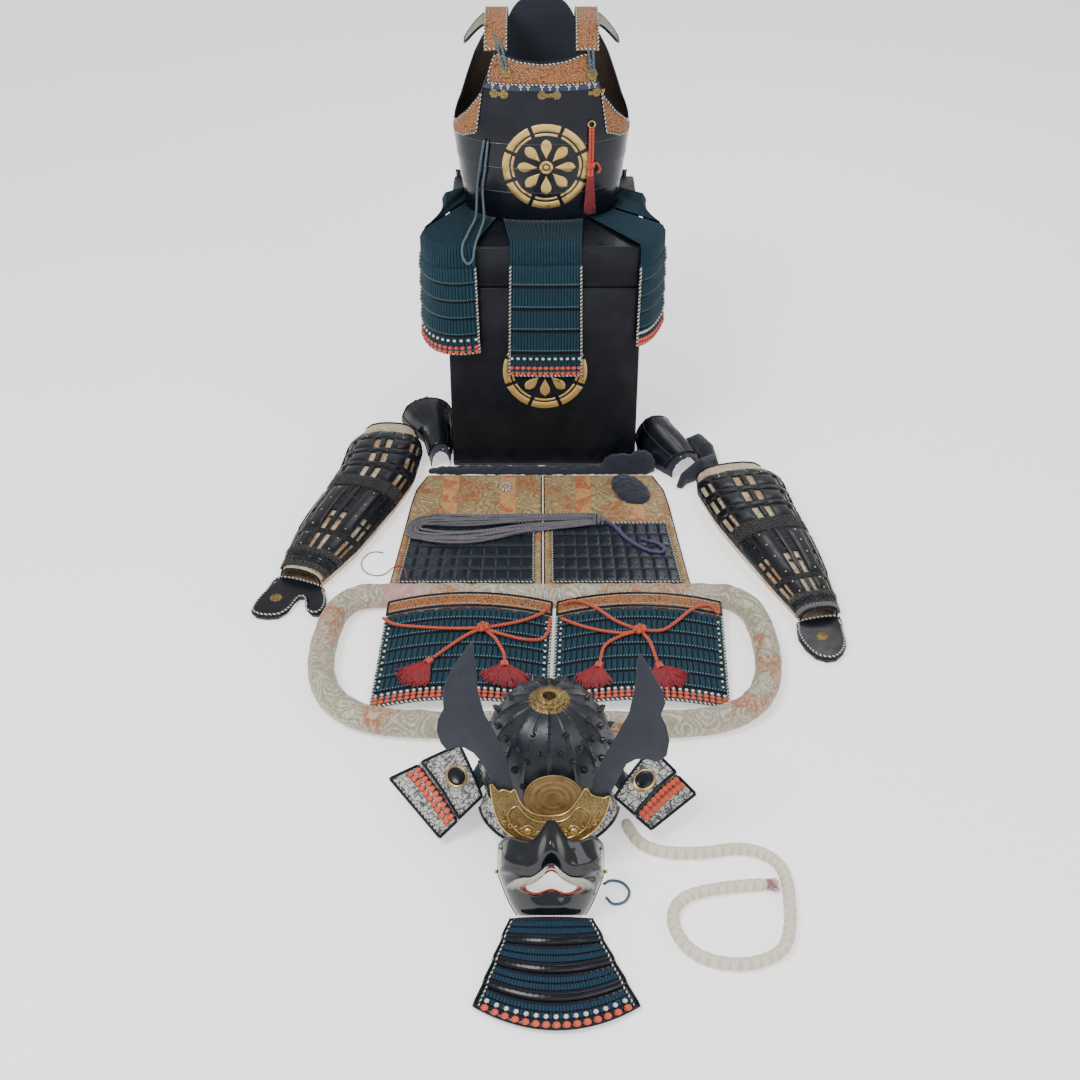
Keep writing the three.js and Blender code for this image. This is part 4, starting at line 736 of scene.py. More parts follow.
def gold_leaf_material():
    s = Shader("gold_leaf", rough=0.42, metal=0.75)
    worn = s.noise(38, 8, 0.7)
    gold = s.mix(s.noise(12, 3), (0.56, 0.37, 0.10), (0.72, 0.52, 0.20))
    brown = s.mix(s.ramp(worn, [(0.55, 0.0), (0.68, 1.0)]), gold, (0.16, 0.09, 0.035))
    s.colour(brown)
    s.rough(s.ramp(worn, [(0.3, 0.36), (0.8, 0.62)]))
    s.bump(worn, 0.12, 0.0005)
    return s.material


def iron_material(name, dark, light, chips=0.0, rough=0.42, metal=0.35):
    s = Shader(name, rough=rough, metal=metal, Coat_Weight=0.15, Coat_Roughness=0.3)
    base = s.mix(s.noise(18, 6, 0.6), dark, light)
    if chips:
        flake = s.step(s.noise(55, 10, 0.8), 1 - chips, 0.012)
        base = s.mix(flake, base, (0.12, 0.075, 0.045))
    s.colour(base)
    s.rough(s.ramp(s.noise(50, 5), [(0.3, rough * 0.8), (0.8, rough * 1.5)]))
    s.bump(s.noise(160, 6, 0.65), 0.18, 0.0006)
    return s.material


def mail_material():
    s = Shader("mail", rough=0.5, metal=0.6)
    rings = s.voronoi(260, "F1")
    ring = s.math("MULTIPLY", s.step(rings, 0.28, 0.06), s.math("SUBTRACT", 1.0, s.step(rings, 0.52, 0.06)))
    s.colour(s.mix(ring, (0.003, 0.003, 0.004), (0.035, 0.036, 0.042)))
    s.bump(ring, 0.8, 0.0010)
    return s.material


LACQUER = lacquer_material("lacquer_black")
LACQUER_CHEST = lacquer_material("lacquer_chest", (0.003, 0.004, 0.007), 0.38, 0.12, 0.08)
LACQUER_MASK = lacquer_material("lacquer_mask", (0.003, 0.004, 0.006), 0.09, coat=0.6)
LACQUER_PLATE = lacquer_material("lacquer_plate", (0.003, 0.004, 0.007), 0.28, 0.12, 0.15)
PRINT = leather_print_material()
WHITE_PRINT = leather_white_material()
BROWN = leather_brown_material()
NAVY = cloth_material("navy_cloth", (0.003, 0.004, 0.012), (0.008, 0.011, 0.028))
LACE = lacing_material("lacing_blue", (0.008, 0.030, 0.047), (0.019, 0.058, 0.082))
LACE_LONG = lacing_material("lacing_blue_long", (0.007, 0.028, 0.044), (0.018, 0.054, 0.078), lame=False)
BROCADE = brocade_material("brocade", (0.50, 0.38, 0.19), (0.34, 0.24, 0.10), (0.13, 0.075, 0.028),
                           (0.28, 0.09, 0.025))
BROCADE_STRIPED = brocade_material("brocade_sleeve", (0.70, 0.62, 0.46), (0.58, 0.49, 0.33),
                                   (0.30, 0.22, 0.12), (0.36, 0.15, 0.055), flower=34.0)
BROCADE_BELT = brocade_material("brocade_belt", (0.56, 0.52, 0.42), (0.40, 0.37, 0.28), (0.17, 0.15, 0.09),
                                (0.32, 0.11, 0.04), flower=24.0, pink=(0.36, 0.03, 0.08))
OLIVE = brocade_material("brocade_olive", (0.16, 0.14, 0.06), (0.09, 0.08, 0.03), (0.24, 0.20, 0.09),
                         (0.05, 0.05, 0.03), flower=60.0)
ORANGE = cord_material("cord_orange", (0.44, 0.040, 0.014), (0.68, 0.085, 0.026))
SLATE = cord_material("cord_slate", (0.045, 0.085, 0.125), (0.090, 0.150, 0.200))
MAUVE = cord_material("cord_mauve", (0.075, 0.070, 0.095), (0.17, 0.155, 0.17))
PURPLE = cord_material("cord_purple", (0.05, 0.04, 0.14), (0.09, 0.07, 0.20))
CRIMSON = cord_material("silk_crimson", (0.20, 0.006, 0.012), (0.42, 0.014, 0.026), pitch=2.5, strands=1.0)
CORAL = cord_material("cord_coral", (0.48, 0.050, 0.018), (0.72, 0.105, 0.040), pitch=2.0, strands=1.0)
WHITE_SILK = cord_material("silk_white", (0.50, 0.48, 0.42), (0.76, 0.74, 0.68), pitch=2.0, strands=1.0)
EDGE = striped_material("edge_braid", (0.010, 0.013, 0.018), (0.50, 0.50, 0.44), pitch=0.75)
CREAM = cord_material("cord_white", (0.62, 0.54, 0.43), (0.76, 0.69, 0.58), pitch=0.42, strands=1.0,
                      deep=0.93)
GILT = gilt_material()
GILT_PLAIN = gilt_material("gilt_plain", (0.60, 0.43, 0.17), (0.20, 0.12, 0.05), 0.30, False)
DISC = gilt_material("gilt_brown", (0.30, 0.20, 0.08), (0.10, 0.06, 0.03), 0.40, False)
LEAF = gold_leaf_material()
IRON = iron_material("iron_blue", (0.006, 0.008, 0.013), (0.014, 0.018, 0.026), 0.0, 0.34)
HORN = iron_material("iron_slate", (0.008, 0.010, 0.018), (0.020, 0.024, 0.036), 0.26, 0.5, 0.2)
STEEL = iron_material("iron_grey", (0.06, 0.06, 0.065), (0.15, 0.145, 0.14), 0.0, 0.38, 0.8)
MAIL = mail_material()
HAIR = cloth_material("hair_white", (0.42, 0.38, 0.31), (0.72, 0.68, 0.60), 900.0)
LIP = lacquer_material("lacquer_red", (0.16, 0.022, 0.012), 0.25)
TAN = cloth_material("lining_tan", (0.36, 0.19, 0.08), (0.55, 0.33, 0.16), 500.0)


def paint(node, *materials):
    """Gives a CAD node that stays its finish."""
    mesh = NODES[node].data
    mesh.materials.clear()
    for material in materials:
        mesh.materials.append(material)
    mesh.shade_smooth()
    mesh.set_sharp_from_angle(angle=35 * RAD)


# ---------------------------------------------------------------- camera, floor and light
camera_data = bpy.data.cameras.new("camera")
camera_data.lens = 49.53
camera_data.sensor_width = 36
camera = bpy.data.objects.new("camera", camera_data)
camera.location = (-0.009, -2.315, 1.804)
camera.rotation_euler = (55 * RAD, 0, 0)
bpy.context.scene.collection.objects.link(camera)
bpy.context.scene.camera = camera


def stage():
    s = Shader("floor_pale", rough=0.8, Specular_IOR_Level=0.2, Emission_Color=(1, 1, 1, 1),
               Emission_Strength=0.7)
    s.colour(s.mix(s.noise(3, 2), (0.88, 0.88, 0.88), (0.91, 0.91, 0.91)))
    s.bump(s.noise(90, 2), 0.03, 0.001)
    mesh = bpy.data.meshes.new("floor")
    size = 9.0
    mesh.from_pydata([(-size, -size, 0), (size, -size, 0), (size, size, 0), (-size, size, 0)], [],
                     [(0, 1, 2, 3)])
    mesh.materials.append(s.material)
    floor = bpy.data.objects.new("floor", mesh)
    bpy.context.scene.collection.objects.link(floor)
    floor.location.z = -0.0002
    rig.stage(floor)
    world = bpy.data.worlds.new("studio")
    bpy.context.scene.world = world
    world.use_nodes = True
    world.node_tree.nodes["Background"].inputs[0].default_value = (1.0, 1.0, 1.0, 1)
    world.node_tree.nodes["Background"].inputs[1].default_value = 0.75
    for name, place, aim, size, energy in (
        ("key", (-1.4, -1.4, 3.2), (0, 0.1, 0.2), 1.4, 105),
        ("fill", (2.2, -2.0, 2.4), (0, 0, 0.1), 2.2, 40),
        ("back", (0.8, 2.6, 2.8), (0, 0.6, 0.4), 1.6, 30),
    ):
        data = bpy.data.lights.new(name, "AREA")
        data.size = size
        data.energy = energy
        light = bpy.data.objects.new(name, data)
        light.location = place
        light.rotation_euler = (Vector(aim) - Vector(place)).to_track_quat("-Z", "Y").to_euler()
        bpy.context.scene.collection.objects.link(light)


stage()

# ---------------------------------------------------------------- free cords
WHITE_ROUTE = [
    (132, -566, 11), (140, -590, 11), (154, -614, 11), (178, -630, 11), (210, -637, 11), (256, -636, 11),
    (312, -628, 11), (350, -638, 11), (374, -662, 11), (382, -700, 11), (380, -745, 11), (374, -790, 11),
    (360, -828, 11), (330, -851, 11), (290, -860, 11), (246, -852, 11), (214, -828, 11), (198, -792, 11),
    (199, -758, 11), (216, -733, 11), (248, -718, 11), (300, -708, 11), (350, -703, 11),
]
SIDE_ROUTE_LOW = [
    (-146, 676, 552.5), (-156, 608, 552.5), (-162, 566, 552.5), (-167, 540, 551.5), (-169, 526, 541),
    (-167, 520, 526), (-157, 519, 514), (-147, 520, 524), (-144, 526, 541), (-141, 541, 551.5),
    (-138, 566, 552.5), (-133, 608, 552.5), (-128, 668, 554),
]
TAIL_ROUTE = [
    (130.4, 314, 13.6), (146, 300, 12.8), (158, 280, 12.6), (170, 256, 12.6), (186, 234, 12.6),
    (206, 214, 12.6), (226, 202, 12.6), (244, 200, 12.6), (250, 214, 12.6), (238, 232, 12.6),
    (222, 240, 12.6),
]
STRING_ROUTE = [
    (-336, 212, 1.6), (-352, 216, 1.6), (-366, 210, 1.6), (-376, 192, 1.6), (-378, 172, 1.6),
    (-372, 152, 1.6), (-360, 138, 1.6), (-344, 132, 1.6), (-332, 134, 1.6), (-323, 139, 3.4),
    (-316, 144, 7.6), (-306, 150, 11.4), (-296, 151, 11.2), (-287, 143, 10.7), (-283, 128, 10.6),
    (-280, 110, 10.6),
]


def free_cord(name, points, radius, material, far_end, replaces, slot, sides=12, count=160, lay="loose",
              with_pieces=(), stiffness="limp", shape=None, turns=0.0):
    route = curve_points(points, count)
    build = Build()
    build.tube(route, shape or radius, sides, turns=turns)
    obj = make(name, build, [material], replaces=replaces, slot=slot, smooth_angle=180)
    path = [tuple(p * MM) for p in route]
    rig.cord(obj, exit=path[0], length=route_length(route) * MM, diameter=2 * radius * MM, far_end=far_end,
            stiffness=stiffness, lay=lay, path=path, with_pieces=with_pieces)
    return obj


# ---------------------------------------------------------------- shared surfaces
def border(build, points, radius, mat=0, closed=False, sides=6, spacing=5.0):
    route = [Vector(p) for p in points]
    count = max(6, int(route_length(route) / spacing))
    route = curve_points(route, count, closed)
    build.tube(route, radius, sides, mat, caps=not closed)


def dressed(node, materials, bevel=0.8, segments=2, slot=None, angle=35):
    """The solid's own form with its edges rounded."""
    source = NODES[node]
    mesh = source.data.copy()
    mesh.materials.clear()
    for material in materials:
        mesh.materials.append(material)
    obj = bpy.data.objects.new(node + "_finish", mesh)
    bpy.context.scene.collection.objects.link(obj)
    weld = obj.modifiers.new("weld", "WELD")
    weld.merge_threshold = 2e-5
    flat = obj.modifiers.new("flat", "DECIMATE")
    flat.decimate_type = "DISSOLVE"
    flat.angle_limit = 2 * RAD
    round_ = obj.modifiers.new("round", "BEVEL")
    round_.width = bevel * MM
    round_.segments = segments
    round_.limit_method = "ANGLE"
    round_.angle_limit = 30 * RAD
    mesh.shade_smooth()
    mesh.set_sharp_from_angle(angle=angle * RAD)
    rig.ride(obj, "root")
    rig.replaces(obj, node)
    if slot:
        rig.slot(obj, slot)
    return obj


def softened(node, material, voxel=3.0, smooths=8, ripple=1.2, size=0.02, slot=None):
    """The solid's own form as soft cloth: rounded, then creased."""
    mesh = NODES[node].data.copy()
    mesh.materials.clear()
    mesh.materials.append(material)
    obj = bpy.data.objects.new(node + "_cloth_finish", mesh)
    bpy.context.scene.collection.objects.link(obj)
    cells = obj.modifiers.new("cells", "REMESH")
    cells.mode = "VOXEL"
    cells.voxel_size = voxel * MM
    soft = obj.modifiers.new("soft", "SMOOTH")
    soft.iterations = smooths
    soft.factor = 0.6
    clouds = bpy.data.textures.new(node + "_creases", "CLOUDS")
    clouds.noise_scale = size
    clouds.noise_depth = 2
    folds = obj.modifiers.new("folds", "DISPLACE")
    folds.texture = clouds
    folds.strength = ripple * MM
    folds.mid_level = 0.6
    folds.texture_coords = "GLOBAL"
    again = obj.modifiers.new("again", "SMOOTH")
    again.iterations = 2
    mesh.shade_smooth()
    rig.ride(obj, "root")
    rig.replaces(obj, node)
    if slot:
        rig.slot(obj, slot)
    return obj


# ---------------------------------------------------------------- helmet cord
def padded_radius(t):
    end = min(1.0, t / 0.012, (1 - t) / 0.012)
    return 10.1 * (0.55 + 0.45 * end ** 0.5) * (1 + 0.025 * math.sin(t * 300))


free_cord("helmet_cord", WHITE_ROUTE, 10.5, CREAM, "bare", ["white_cord"], "cord_white", sides=16,
          count=420, shape=padded_radius, stiffness="medium")

# Frayed end of the padded cord
fray = Build()
for i in range(70):
    a = i * 2.4
    r = 7.5 * math.sqrt((i + 0.5) / 70)
    start = Vector((346, -703 + r * math.cos(a), 11 + r * math.sin(a)))
    end = start + Vector((18 + 6 * math.sin(i * 1.7), (start.y + 703) * 0.9, -0.4 * (start.z - 6)))
    end.z = max(end.z, 1.2)
    mid = start.lerp(end, 0.5) + Vector((0, math.sin(i * 3.1) * 1.2, math.cos(i * 2.2) * 0.8 + 0.5))
    fray.tube(curve_points([start, mid, end], 5), 0.55, 4)
make("helmet_cord_fray", fray, [cord_material("silk_pink", (0.46, 0.22, 0.22), (0.66, 0.45, 0.42))],
     slot="cord_white")


# ---------------------------------------------------------------- cuirass surface
DO = dict(x=-6.0, y=816.0, bottom=535.4, armpit=712.0)
DO_LEVELS = [(500, 162, 127), (535, 166, 130), (620, 177, 132), (712, 187, 134), (770, 176, 130),
             (830, 165, 125), (900, 153, 117), (960, 146, 112)]
FRONT_TOP = [(0, 872), (13, 877), (25, 887), (32, 890), (37, 846), (43, 802), (56, 764), (72, 734),
             (89.9, 718)]
BACK_TOP = [(90.1, 718), (106, 752), (123, 838), (140, 894), (153, 899), (166, 901), (180, 901)]


def do_point(angle, z, out=0.0):
    a = along(DO_LEVELS, 1, z) + out
    b = along(DO_LEVELS, 2, z) + out
    s, c = math.sin(angle * RAD), math.cos(angle * RAD)
    return Vector((DO["x"] + a * math.copysign(power(abs(s), 0.8), s),
                   DO["y"] - b * math.copysign(power(abs(c), 0.8), c), z))


def do_face(x, z, out=0.0):
    a = along(DO_LEVELS, 1, z) + out
    b = along(DO_LEVELS, 2, z) + out
    return DO["y"] - b * power(1 - abs((x - DO["x"]) / a) ** 2.5, 0.4)


def on_front(x, z, out=0.0):
    """The point of the front plate at a width and a height."""
    a = along(DO_LEVELS, 1, z)
    part = clamp(abs(x - DO["x"]) / a, 0, 0.9999) ** 1.25
    angle = math.copysign(math.asin(part) / RAD, x - DO["x"])
    return do_point(angle, z, out)


def front_top(angle):
    return straight(FRONT_TOP, 1, abs(angle))


def back_top(angle):
    return straight(BACK_TOP, 1, 360 - angle if angle > 180 else angle)


LAME_ROWS = [(535.4, 0), (599.4, 0), (600.6, 1.5), (652.4, 0), (653.6, 1.5), (705.4, 0), (706.6, 1.5),
             (712, 1.2), (760, 0), (1000, 0)]


def do_relief(z):
    return straight(LAME_ROWS, 1, clamp(z, 535.4, 999))


Z_ROWS = [535.4, 540, 560, 580, 597, 599.4, 600.6, 603, 625, 650, 652.4, 653.6, 656, 680, 703, 705.4, 706.6,
          712]


def do_plate(name, top, angles, node):
    build = Build()
    rows = len(Z_ROWS) + 8

    def z_at(angle, v):
        if v < len(Z_ROWS):
            return Z_ROWS[int(v)]
        return mix(712, top(angle), (v - len(Z_ROWS) + 1) / 8)

    build.grid(lambda a, v: do_point(a, z_at(a, v), do_relief(z_at(a, v))), angles, list(range(rows)),
               uv=lambda a, v: (a / 10, z_at(a, v) / 50))
    obj = make(name, build, [LACQUER, BROWN], replaces=[node], slot="lacquer_black", solid=2.5)
    obj.modifiers["wall"].material_offset = 1
    obj.modifiers["wall"].material_offset_rim = 0
    return obj


FRONT_ANGLES = sorted(set([round(a, 2) for a in steps(-89.9, 89.9, 72)]
                          + [s * a for a, _ in FRONT_TOP for s in (-1, 1)] + [-34.5, 34.5, -40, 40]))
BACK_ANGLES = sorted(set([round(a, 2) for a in steps(90.1, 269.9, 72)] + [a for a, _ in BACK_TOP]
                         + [360 - a for a, _ in BACK_TOP]))
do_plate("cuirass_front", front_top, FRONT_ANGLES, "do_front")
do_plate("cuirass_back", back_top, BACK_ANGLES, "do_back")

rims = Build()
border(rims, [do_point(a, front_top(a) - 0.6, -1.0) for a in FRONT_ANGLES], 2.5, spacing=4)
border(rims, [do_point(a, back_top(a) - 0.6, -1.0) for a in BACK_ANGLES], 2.5, spacing=4)
for side in (-1, 1):
    for z0, z1 in ((537, 712),):
        border(rims, [do_point(side * 88.9, z, 0.8) for z in steps(z0, z1, 20)], 1.1)
make("cuirass_rims", rims, [LACQUER], slot="lacquer_black")

# Light seams under the lames' edges, and small rivets along them
seams = Build()
for z in (600, 653, 706):
    border(seams, [do_point(a, z + 0.9, 1.2) for a in steps(-88, 88, 60)], 0.55, mat=0)
    border(seams, [do_point(a, z + 0.9, 1.2) for a in steps(92, 268, 60)], 0.55, mat=0)
make("cuirass_seams", seams, [STEEL], slot="lacquer_black")


def leather_patch(name, a0, a1, low, high, out=1.8, thick=1.3, replaces=(), n=24):
    build = Build()
    build.grid(lambda a, v: do_point(a, mix(low(a), high(a), v), out), steps(a0, a1, n), steps(0, 1, 6))
    make(name, build, [PRINT], replaces=replaces, slot="leather_print", solid=thick)
    edge = Build()
    line = [do_point(a, low(a), out + 0.3) for a in steps(a0, a1, n)]
    line += [do_point(a1, mix(low(a1), high(a1), v), out + 0.3) for v in (0.3, 0.6)]
    line += [do_point(a, high(a), out + 0.3) for a in steps(a1, a0, n)]
    line += [do_point(a0, mix(low(a0), high(a0), v), out + 0.3) for v in (0.6, 0.3)]
    border(edge, line, 1.5, closed=True, spacing=4)
    make(name + "_edge", edge, [EDGE], slot="leather_print")


leather_patch("breast_leather", -36, 36, lambda a: 829.0, lambda a: min(front_top(a), 888) - 3.5,
              replaces=["muna_ita_leather"])
for side, name in ((-1, "armpit_leather_left"), (1, "armpit_leather_right")):
    leather_patch(name, side * 42, side * 80,
                  lambda a: front_top(a) - mix(84, 16, power((abs(a) - 42) / 38, 0.8)),
                  lambda a: front_top(a) - 4.5, n=14)

# Strip with white marks, and the gilt fittings below it
marks = Build()
for x0, x1 in ((-124, 112),):
    marks.grid(lambda x, v: on_front(x, mix(816.5, 827.5, v), 0.9), steps(x0, x1, 50), [0, 1])
make("breast_strip", marks, [cloth_material("strip_navy", (0.012, 0.022, 0.055), (0.03, 0.05, 0.10))],
     slot="lacing_blue", solid=0.6)
white_marks = Build()
for x in (-105, -88, -74, -48, -33, -5, 11, 26, 50, 66, 91, 103):
    c = on_front(x, 822, 1.3)
    d = (on_front(x + 1, 822, 1.3) - on_front(x - 1, 822, 1.3)).normalized()
    n = d.cross(Vector((0, 0, 1)))
    white_marks.slab(c + Vector((0, 0, 3.0)), (d, Vector((0, 0, 1)), n), (4.2, 1.4, 0.7), taper=0.8)
    white_marks.slab(c - Vector((0, 0, 1.2)), (d, Vector((0, 0, 1)), n), (1.4, 3.4, 0.7), taper=0.8)
make("breast_marks", white_marks, [WHITE_SILK], slot="lacing_blue")


def flower(build, place, x, z, radius, petals=8, mat=0, dome=2.2):
    """A notched round fitting, on place(x, z, out)."""
    def at(a, r, out):
        return place(x + r * math.cos(a), z + r * math.sin(a), out)
    us = steps(0, 2 * math.pi, petals * 6)
    vs = [0.02, 0.2, 0.4, 0.6, 0.8, 0.95, 1.0]

    def skin(u, v):
        notch = 1 - 0.13 * (0.5 - 0.5 * math.cos(u * petals)) ** 3
        rise = dome * (0.35 + 0.5 * power(1 - v * v, 0.5)
                       + 0.28 * abs(math.cos(u * petals / 2)) * math.sin(math.pi * v))
        return at(u, radius * v * notch, rise if v < 0.99 else -0.2)
    build.grid(skin, us, vs, mat)
    c = at(0, 0, dome * 1.0)
    e1 = (at(0, 1, 0) - at(0, 0, 0)).normalized()
    e2 = (at(math.pi / 2, 1, 0) - at(0, 0, 0)).normalized()
    build.ball(c, (radius * 0.22, radius * 0.22, dome * 0.5), (e1, e2, e1.cross(e2)), 10, 6, mat)


fittings = Build()
for x, w in ((-93, 20), (10, 30), (107, 16)):
    for dx in ((-w / 2, w / 2) if w > 18 else (0,)):
        flower(fittings, on_front, x + dx, 808, 9.5, 6)
    fittings.grid(lambda u, v: on_front(x + u * (w / 2 + 9), 808 + v * 4, 0.8), steps(-1, 1, 8),
                  steps(-1, 1, 2))
for x, z in ((-76, 853), (94, 846)):
    flower(fittings, lambda a, b, out: on_front(a, b, 3.2 + out), x, z, 12, 8, dome=3)
make("breast_fittings", fittings, [GILT], slot="gilt", smooth_angle=35)

for x, z, tops in ((-76, 853, ((-104, 734, 921), (-92, 728, 917))),
                   (94, 846, ((84, 730, 918), (96, 734, 921)))):
    for k, top in enumerate(tops):
        end = on_front(x + (k - 0.5) * 6, z + 5, 5.5)
        start = Vector(top)
        mid = start.lerp(end, 0.5) + Vector((0, -10, 4))
        free_cord("strap_tie_%s_%d" % ("left" if x < 0 else "right", k + 1), [start, mid, end], 2.5, SLATE,
                  "object",
                  [], "cord_slate", sides=8, count=24, lay="taut")


# ---------------------------------------------------------------- gold roundels
def roundel(name, place, x, z, radius, slot, lift=0.5):
    build = Build()

    def at(a, r, out):
        return place(x + r * math.sin(a), z + r * math.cos(a), lift + out)

    def arc(a0, a1, r0, r1, rise=1.0, n=10):
        build.tile(at, a0, a1, r0, r1, rise, 0.2, nu=n, nv=2, edge=0.05)
    for k in range(8):
        a = k * math.pi / 4
        arc(a - 0.345, a + 0.345, radius * 0.84, radius)
        arc(a - 0.33, a + 0.33, radius * 0.745, radius * 0.80, 0.7)
        petal = []
        for t in steps(0, 1, 10):
            petal.append((radius * mix(0.20, 0.66, t),
                          0.31 * math.sin(math.pi * t) ** 0.7 * (0.55 + 0.45 * t)))

        def leaf(u, t, a=a):
            i = clamp(t, 0, 1) * 10
            j = min(int(i), 9)
            r = mix(petal[j][0], petal[j + 1][0], i - j)
            half = mix(petal[j][1], petal[j + 1][1], i - j)
            return at(a + u * half, r, 1.1 * (1 - u ** 4) - 0.15 * (1 - abs(u)) ** 2)
        build.grid(leaf, steps(-1, 1, 8), steps(0, 1, 10))
    arc(0, math.pi * 2, radius * 0.085, radius * 0.155, 1.3, 30)
    build.ball(at(0, 0, 0.4), (radius * 0.06,) * 2 + (1.4,),
               (Vector((1, 0, 0)), Vector((0, 0, 1)), Vector((0, -1, 0))), 12, 6)
    make(name, build, [LEAF], slot=slot, smooth_angle=60)


roundel("cuirass_roundel", lambda x, z, out: on_front(x, z, out + do_relief(z)), 4, 658, 92, "gilt")
roundel("chest_roundel", lambda x, z, out: Vector((x, 555 - out, z)), 2, 244, 92, "gilt", 0.3)

# ---------------------------------------------------------------- chest
dressed("chest_body", [LACQUER_CHEST], 4.5, 3)
dressed("chest_lid", [LACQUER_CHEST], 6.0, 4)
lips = Build()
for x0, x1, y0, y1, z, r in ((-206, 206, 555, 955, 451, 1.6), (-206, 206, 555, 955, 8, 1.4)):
    line = []
    for (ax, ay), (bx, by) in (((x0, y0), (x1, y0)), ((x1, y0), (x1, y1)), ((x1, y1), (x0, y1)),
                               ((x0, y1), (x0, y0))):
        n = Vector((by - ay, ax - bx, 0)).normalized()
        line += [Vector((mix(ax, bx, t), mix(ay, by, t), z)) + n * -0.6
                 for t in (0.03, 0.2, 0.4, 0.6, 0.8, 0.97)]
    border(lips, line, r, closed=True, spacing=12)
make("chest_lines", lips, [LACQUER], slot="lacquer_black")

# ---------------------------------------------------------------- collar and straps
def collar_top(a):
    return 940 - 46 * (abs(a - 180) / 24) ** 3


def collar_point(a, v, out=0.0):
    z = mix(790, collar_top(a), v)
    p = do_point(a, min(z, 905), -4.9 + out)
    p.z = z
    return p


collar = Build()
collar.grid(lambda a, v: collar_point(a, v, 0.5 * math.cos(v * 44)), steps(156, 204, 30), steps(0, 1, 36))
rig.padded(make("collar_cloth", collar, [NAVY], replaces=["collar"], slot="navy_cloth", solid=4.6), 0.6)
collar_edge = Build()
border(collar_edge, [collar_point(a, 1.0, -2.3) for a in steps(156, 204, 30)], 2.9)
for v in (0.80, 0.88, 0.95):
    for i in range(36):
        a = mix(158, 202, i / 35)
        p, q = collar_point(a, v, 0.5), collar_point(a + 0.6, v, 0.5)
        collar_edge.tube([p, p.lerp(q, 0.5), q], 0.5, 4, mat=1)
make("collar_edge", collar_edge, [NAVY, WHITE_SILK], slot="navy_cloth")

STRAP_PATH = [(0, 707.6, 893.4), (1, 724, 914), (2, 758, 935), (3, 805, 944), (4, 852, 940), (5, 893, 925),
              (6, 923.4, 905)]
for side, name in ((-1, "left"), (1, "right")):
    centre = DO["x"] + side * 93

    def strap(u, t, out=0.0, centre=centre):
        return Vector((centre + u * 23, along(STRAP_PATH, 1, t), along(STRAP_PATH, 2, t) + out
                       + 0.8 * (1 - u * u)))

    def pad(u, v, out=0.0, side=side, centre=centre):
        length = 88 * power(1 - power(0.93 * v, 3), 0.5) * (1 - 0.12 * math.sin(math.pi * v))
        return Vector((centre + side * (19 + v * 46), 782 - side * u * length / 2,
                       939 - 44 * power(v, 1.4) + out))
    build = Build()
    build.grid(strap, steps(-1, 1, 8), steps(0, 6, 40))
    build.grid(pad, steps(-1, 1, 14), steps(0, 1, 12), mat=1)
    make("strap_" + name, build, [PRINT, OLIVE], replaces=["watagami_" + name], slot="leather_print",
         solid=4.3)
    edges = Build()
    for u in (-0.94, 0.94):
        border(edges, [strap(u, t, 0.4) for t in steps(0, 6, 40)], 1.7, mat=0)
    for t in (0.1, 5.9):
        border(edges, [strap(u, t, 0.4) for u in steps(-0.94, 0.94, 8)], 1.7, mat=0)
    rim = ([pad(-0.98, v, -1.5) for v in steps(0.12, 1, 10)]
           + [pad(u, 1.0, -1.5) for u in steps(-0.9, 0.9, 8)])
    rim += [pad(0.98, v, -1.5) for v in steps(1, 0.12, 10)]
    border(edges, rim, 2.4, mat=1, spacing=4)
    make("strap_edges_" + name, edges, [EDGE, LACQUER], slot="leather_print")

# ---------------------------------------------------------------- cords of the cuirass
side_route = [do_point(-33, 712, 7), do_point(-39, 650, 7), do_point(-45, 596, 7)]
side_route += [Vector(p) for p in SIDE_ROUTE_LOW]
side_route += [do_point(-39, 596, 7), do_point(-34, 652, 7), do_point(-30, 711, 7)]
free_cord("cuirass_side_cord", side_route, 2.4, SLATE, "object", ["side_cord"], "cord_slate", lay="hanging",
          count=220, sides=8)


def on_breast(x, z, out):
    return Vector((x, do_face(x, z) - out, z))


ring = Build()
ring_points = [on_breast(98, 746, 4.6) + Vector((7 * math.cos(a), 0, 7 * math.sin(a)))
               for a in steps(0, 2 * math.pi, 24)][:-1]
ring.tube(curve_points(ring_points, 32, True), 1.6, 8, caps=False)
make("breast_ring", ring, [GILT_PLAIN], slot="gilt")
breast = Build()
for dx, dz in ((20, -12), (-8, 6)):
    breast.tube(curve_points([on_breast(98, 660, 8), on_breast(98 + dx * 0.6, 663, 9),
                              on_breast(98 + dx, 660 + dz, 9),
                              on_breast(98 + dx * 0.7, 652 + dz, 8)], 16), 2.4, 8)
c = on_breast(98, 660, 9.2)
for tilt in (0.5, -0.5, 1.57):
    loop = [c + Vector((6 * math.cos(a), -1.5 * math.sin(2 * a), 5 * math.sin(a + tilt)))
            for a in steps(0, 6.2832, 12)]
    breast.tube(curve_points(loop[:-1], 22, True), 2.2, 7, caps=False)
breast_knot = make("breast_knot", breast, [ORANGE], slot="cord_orange", smooth_angle=180)


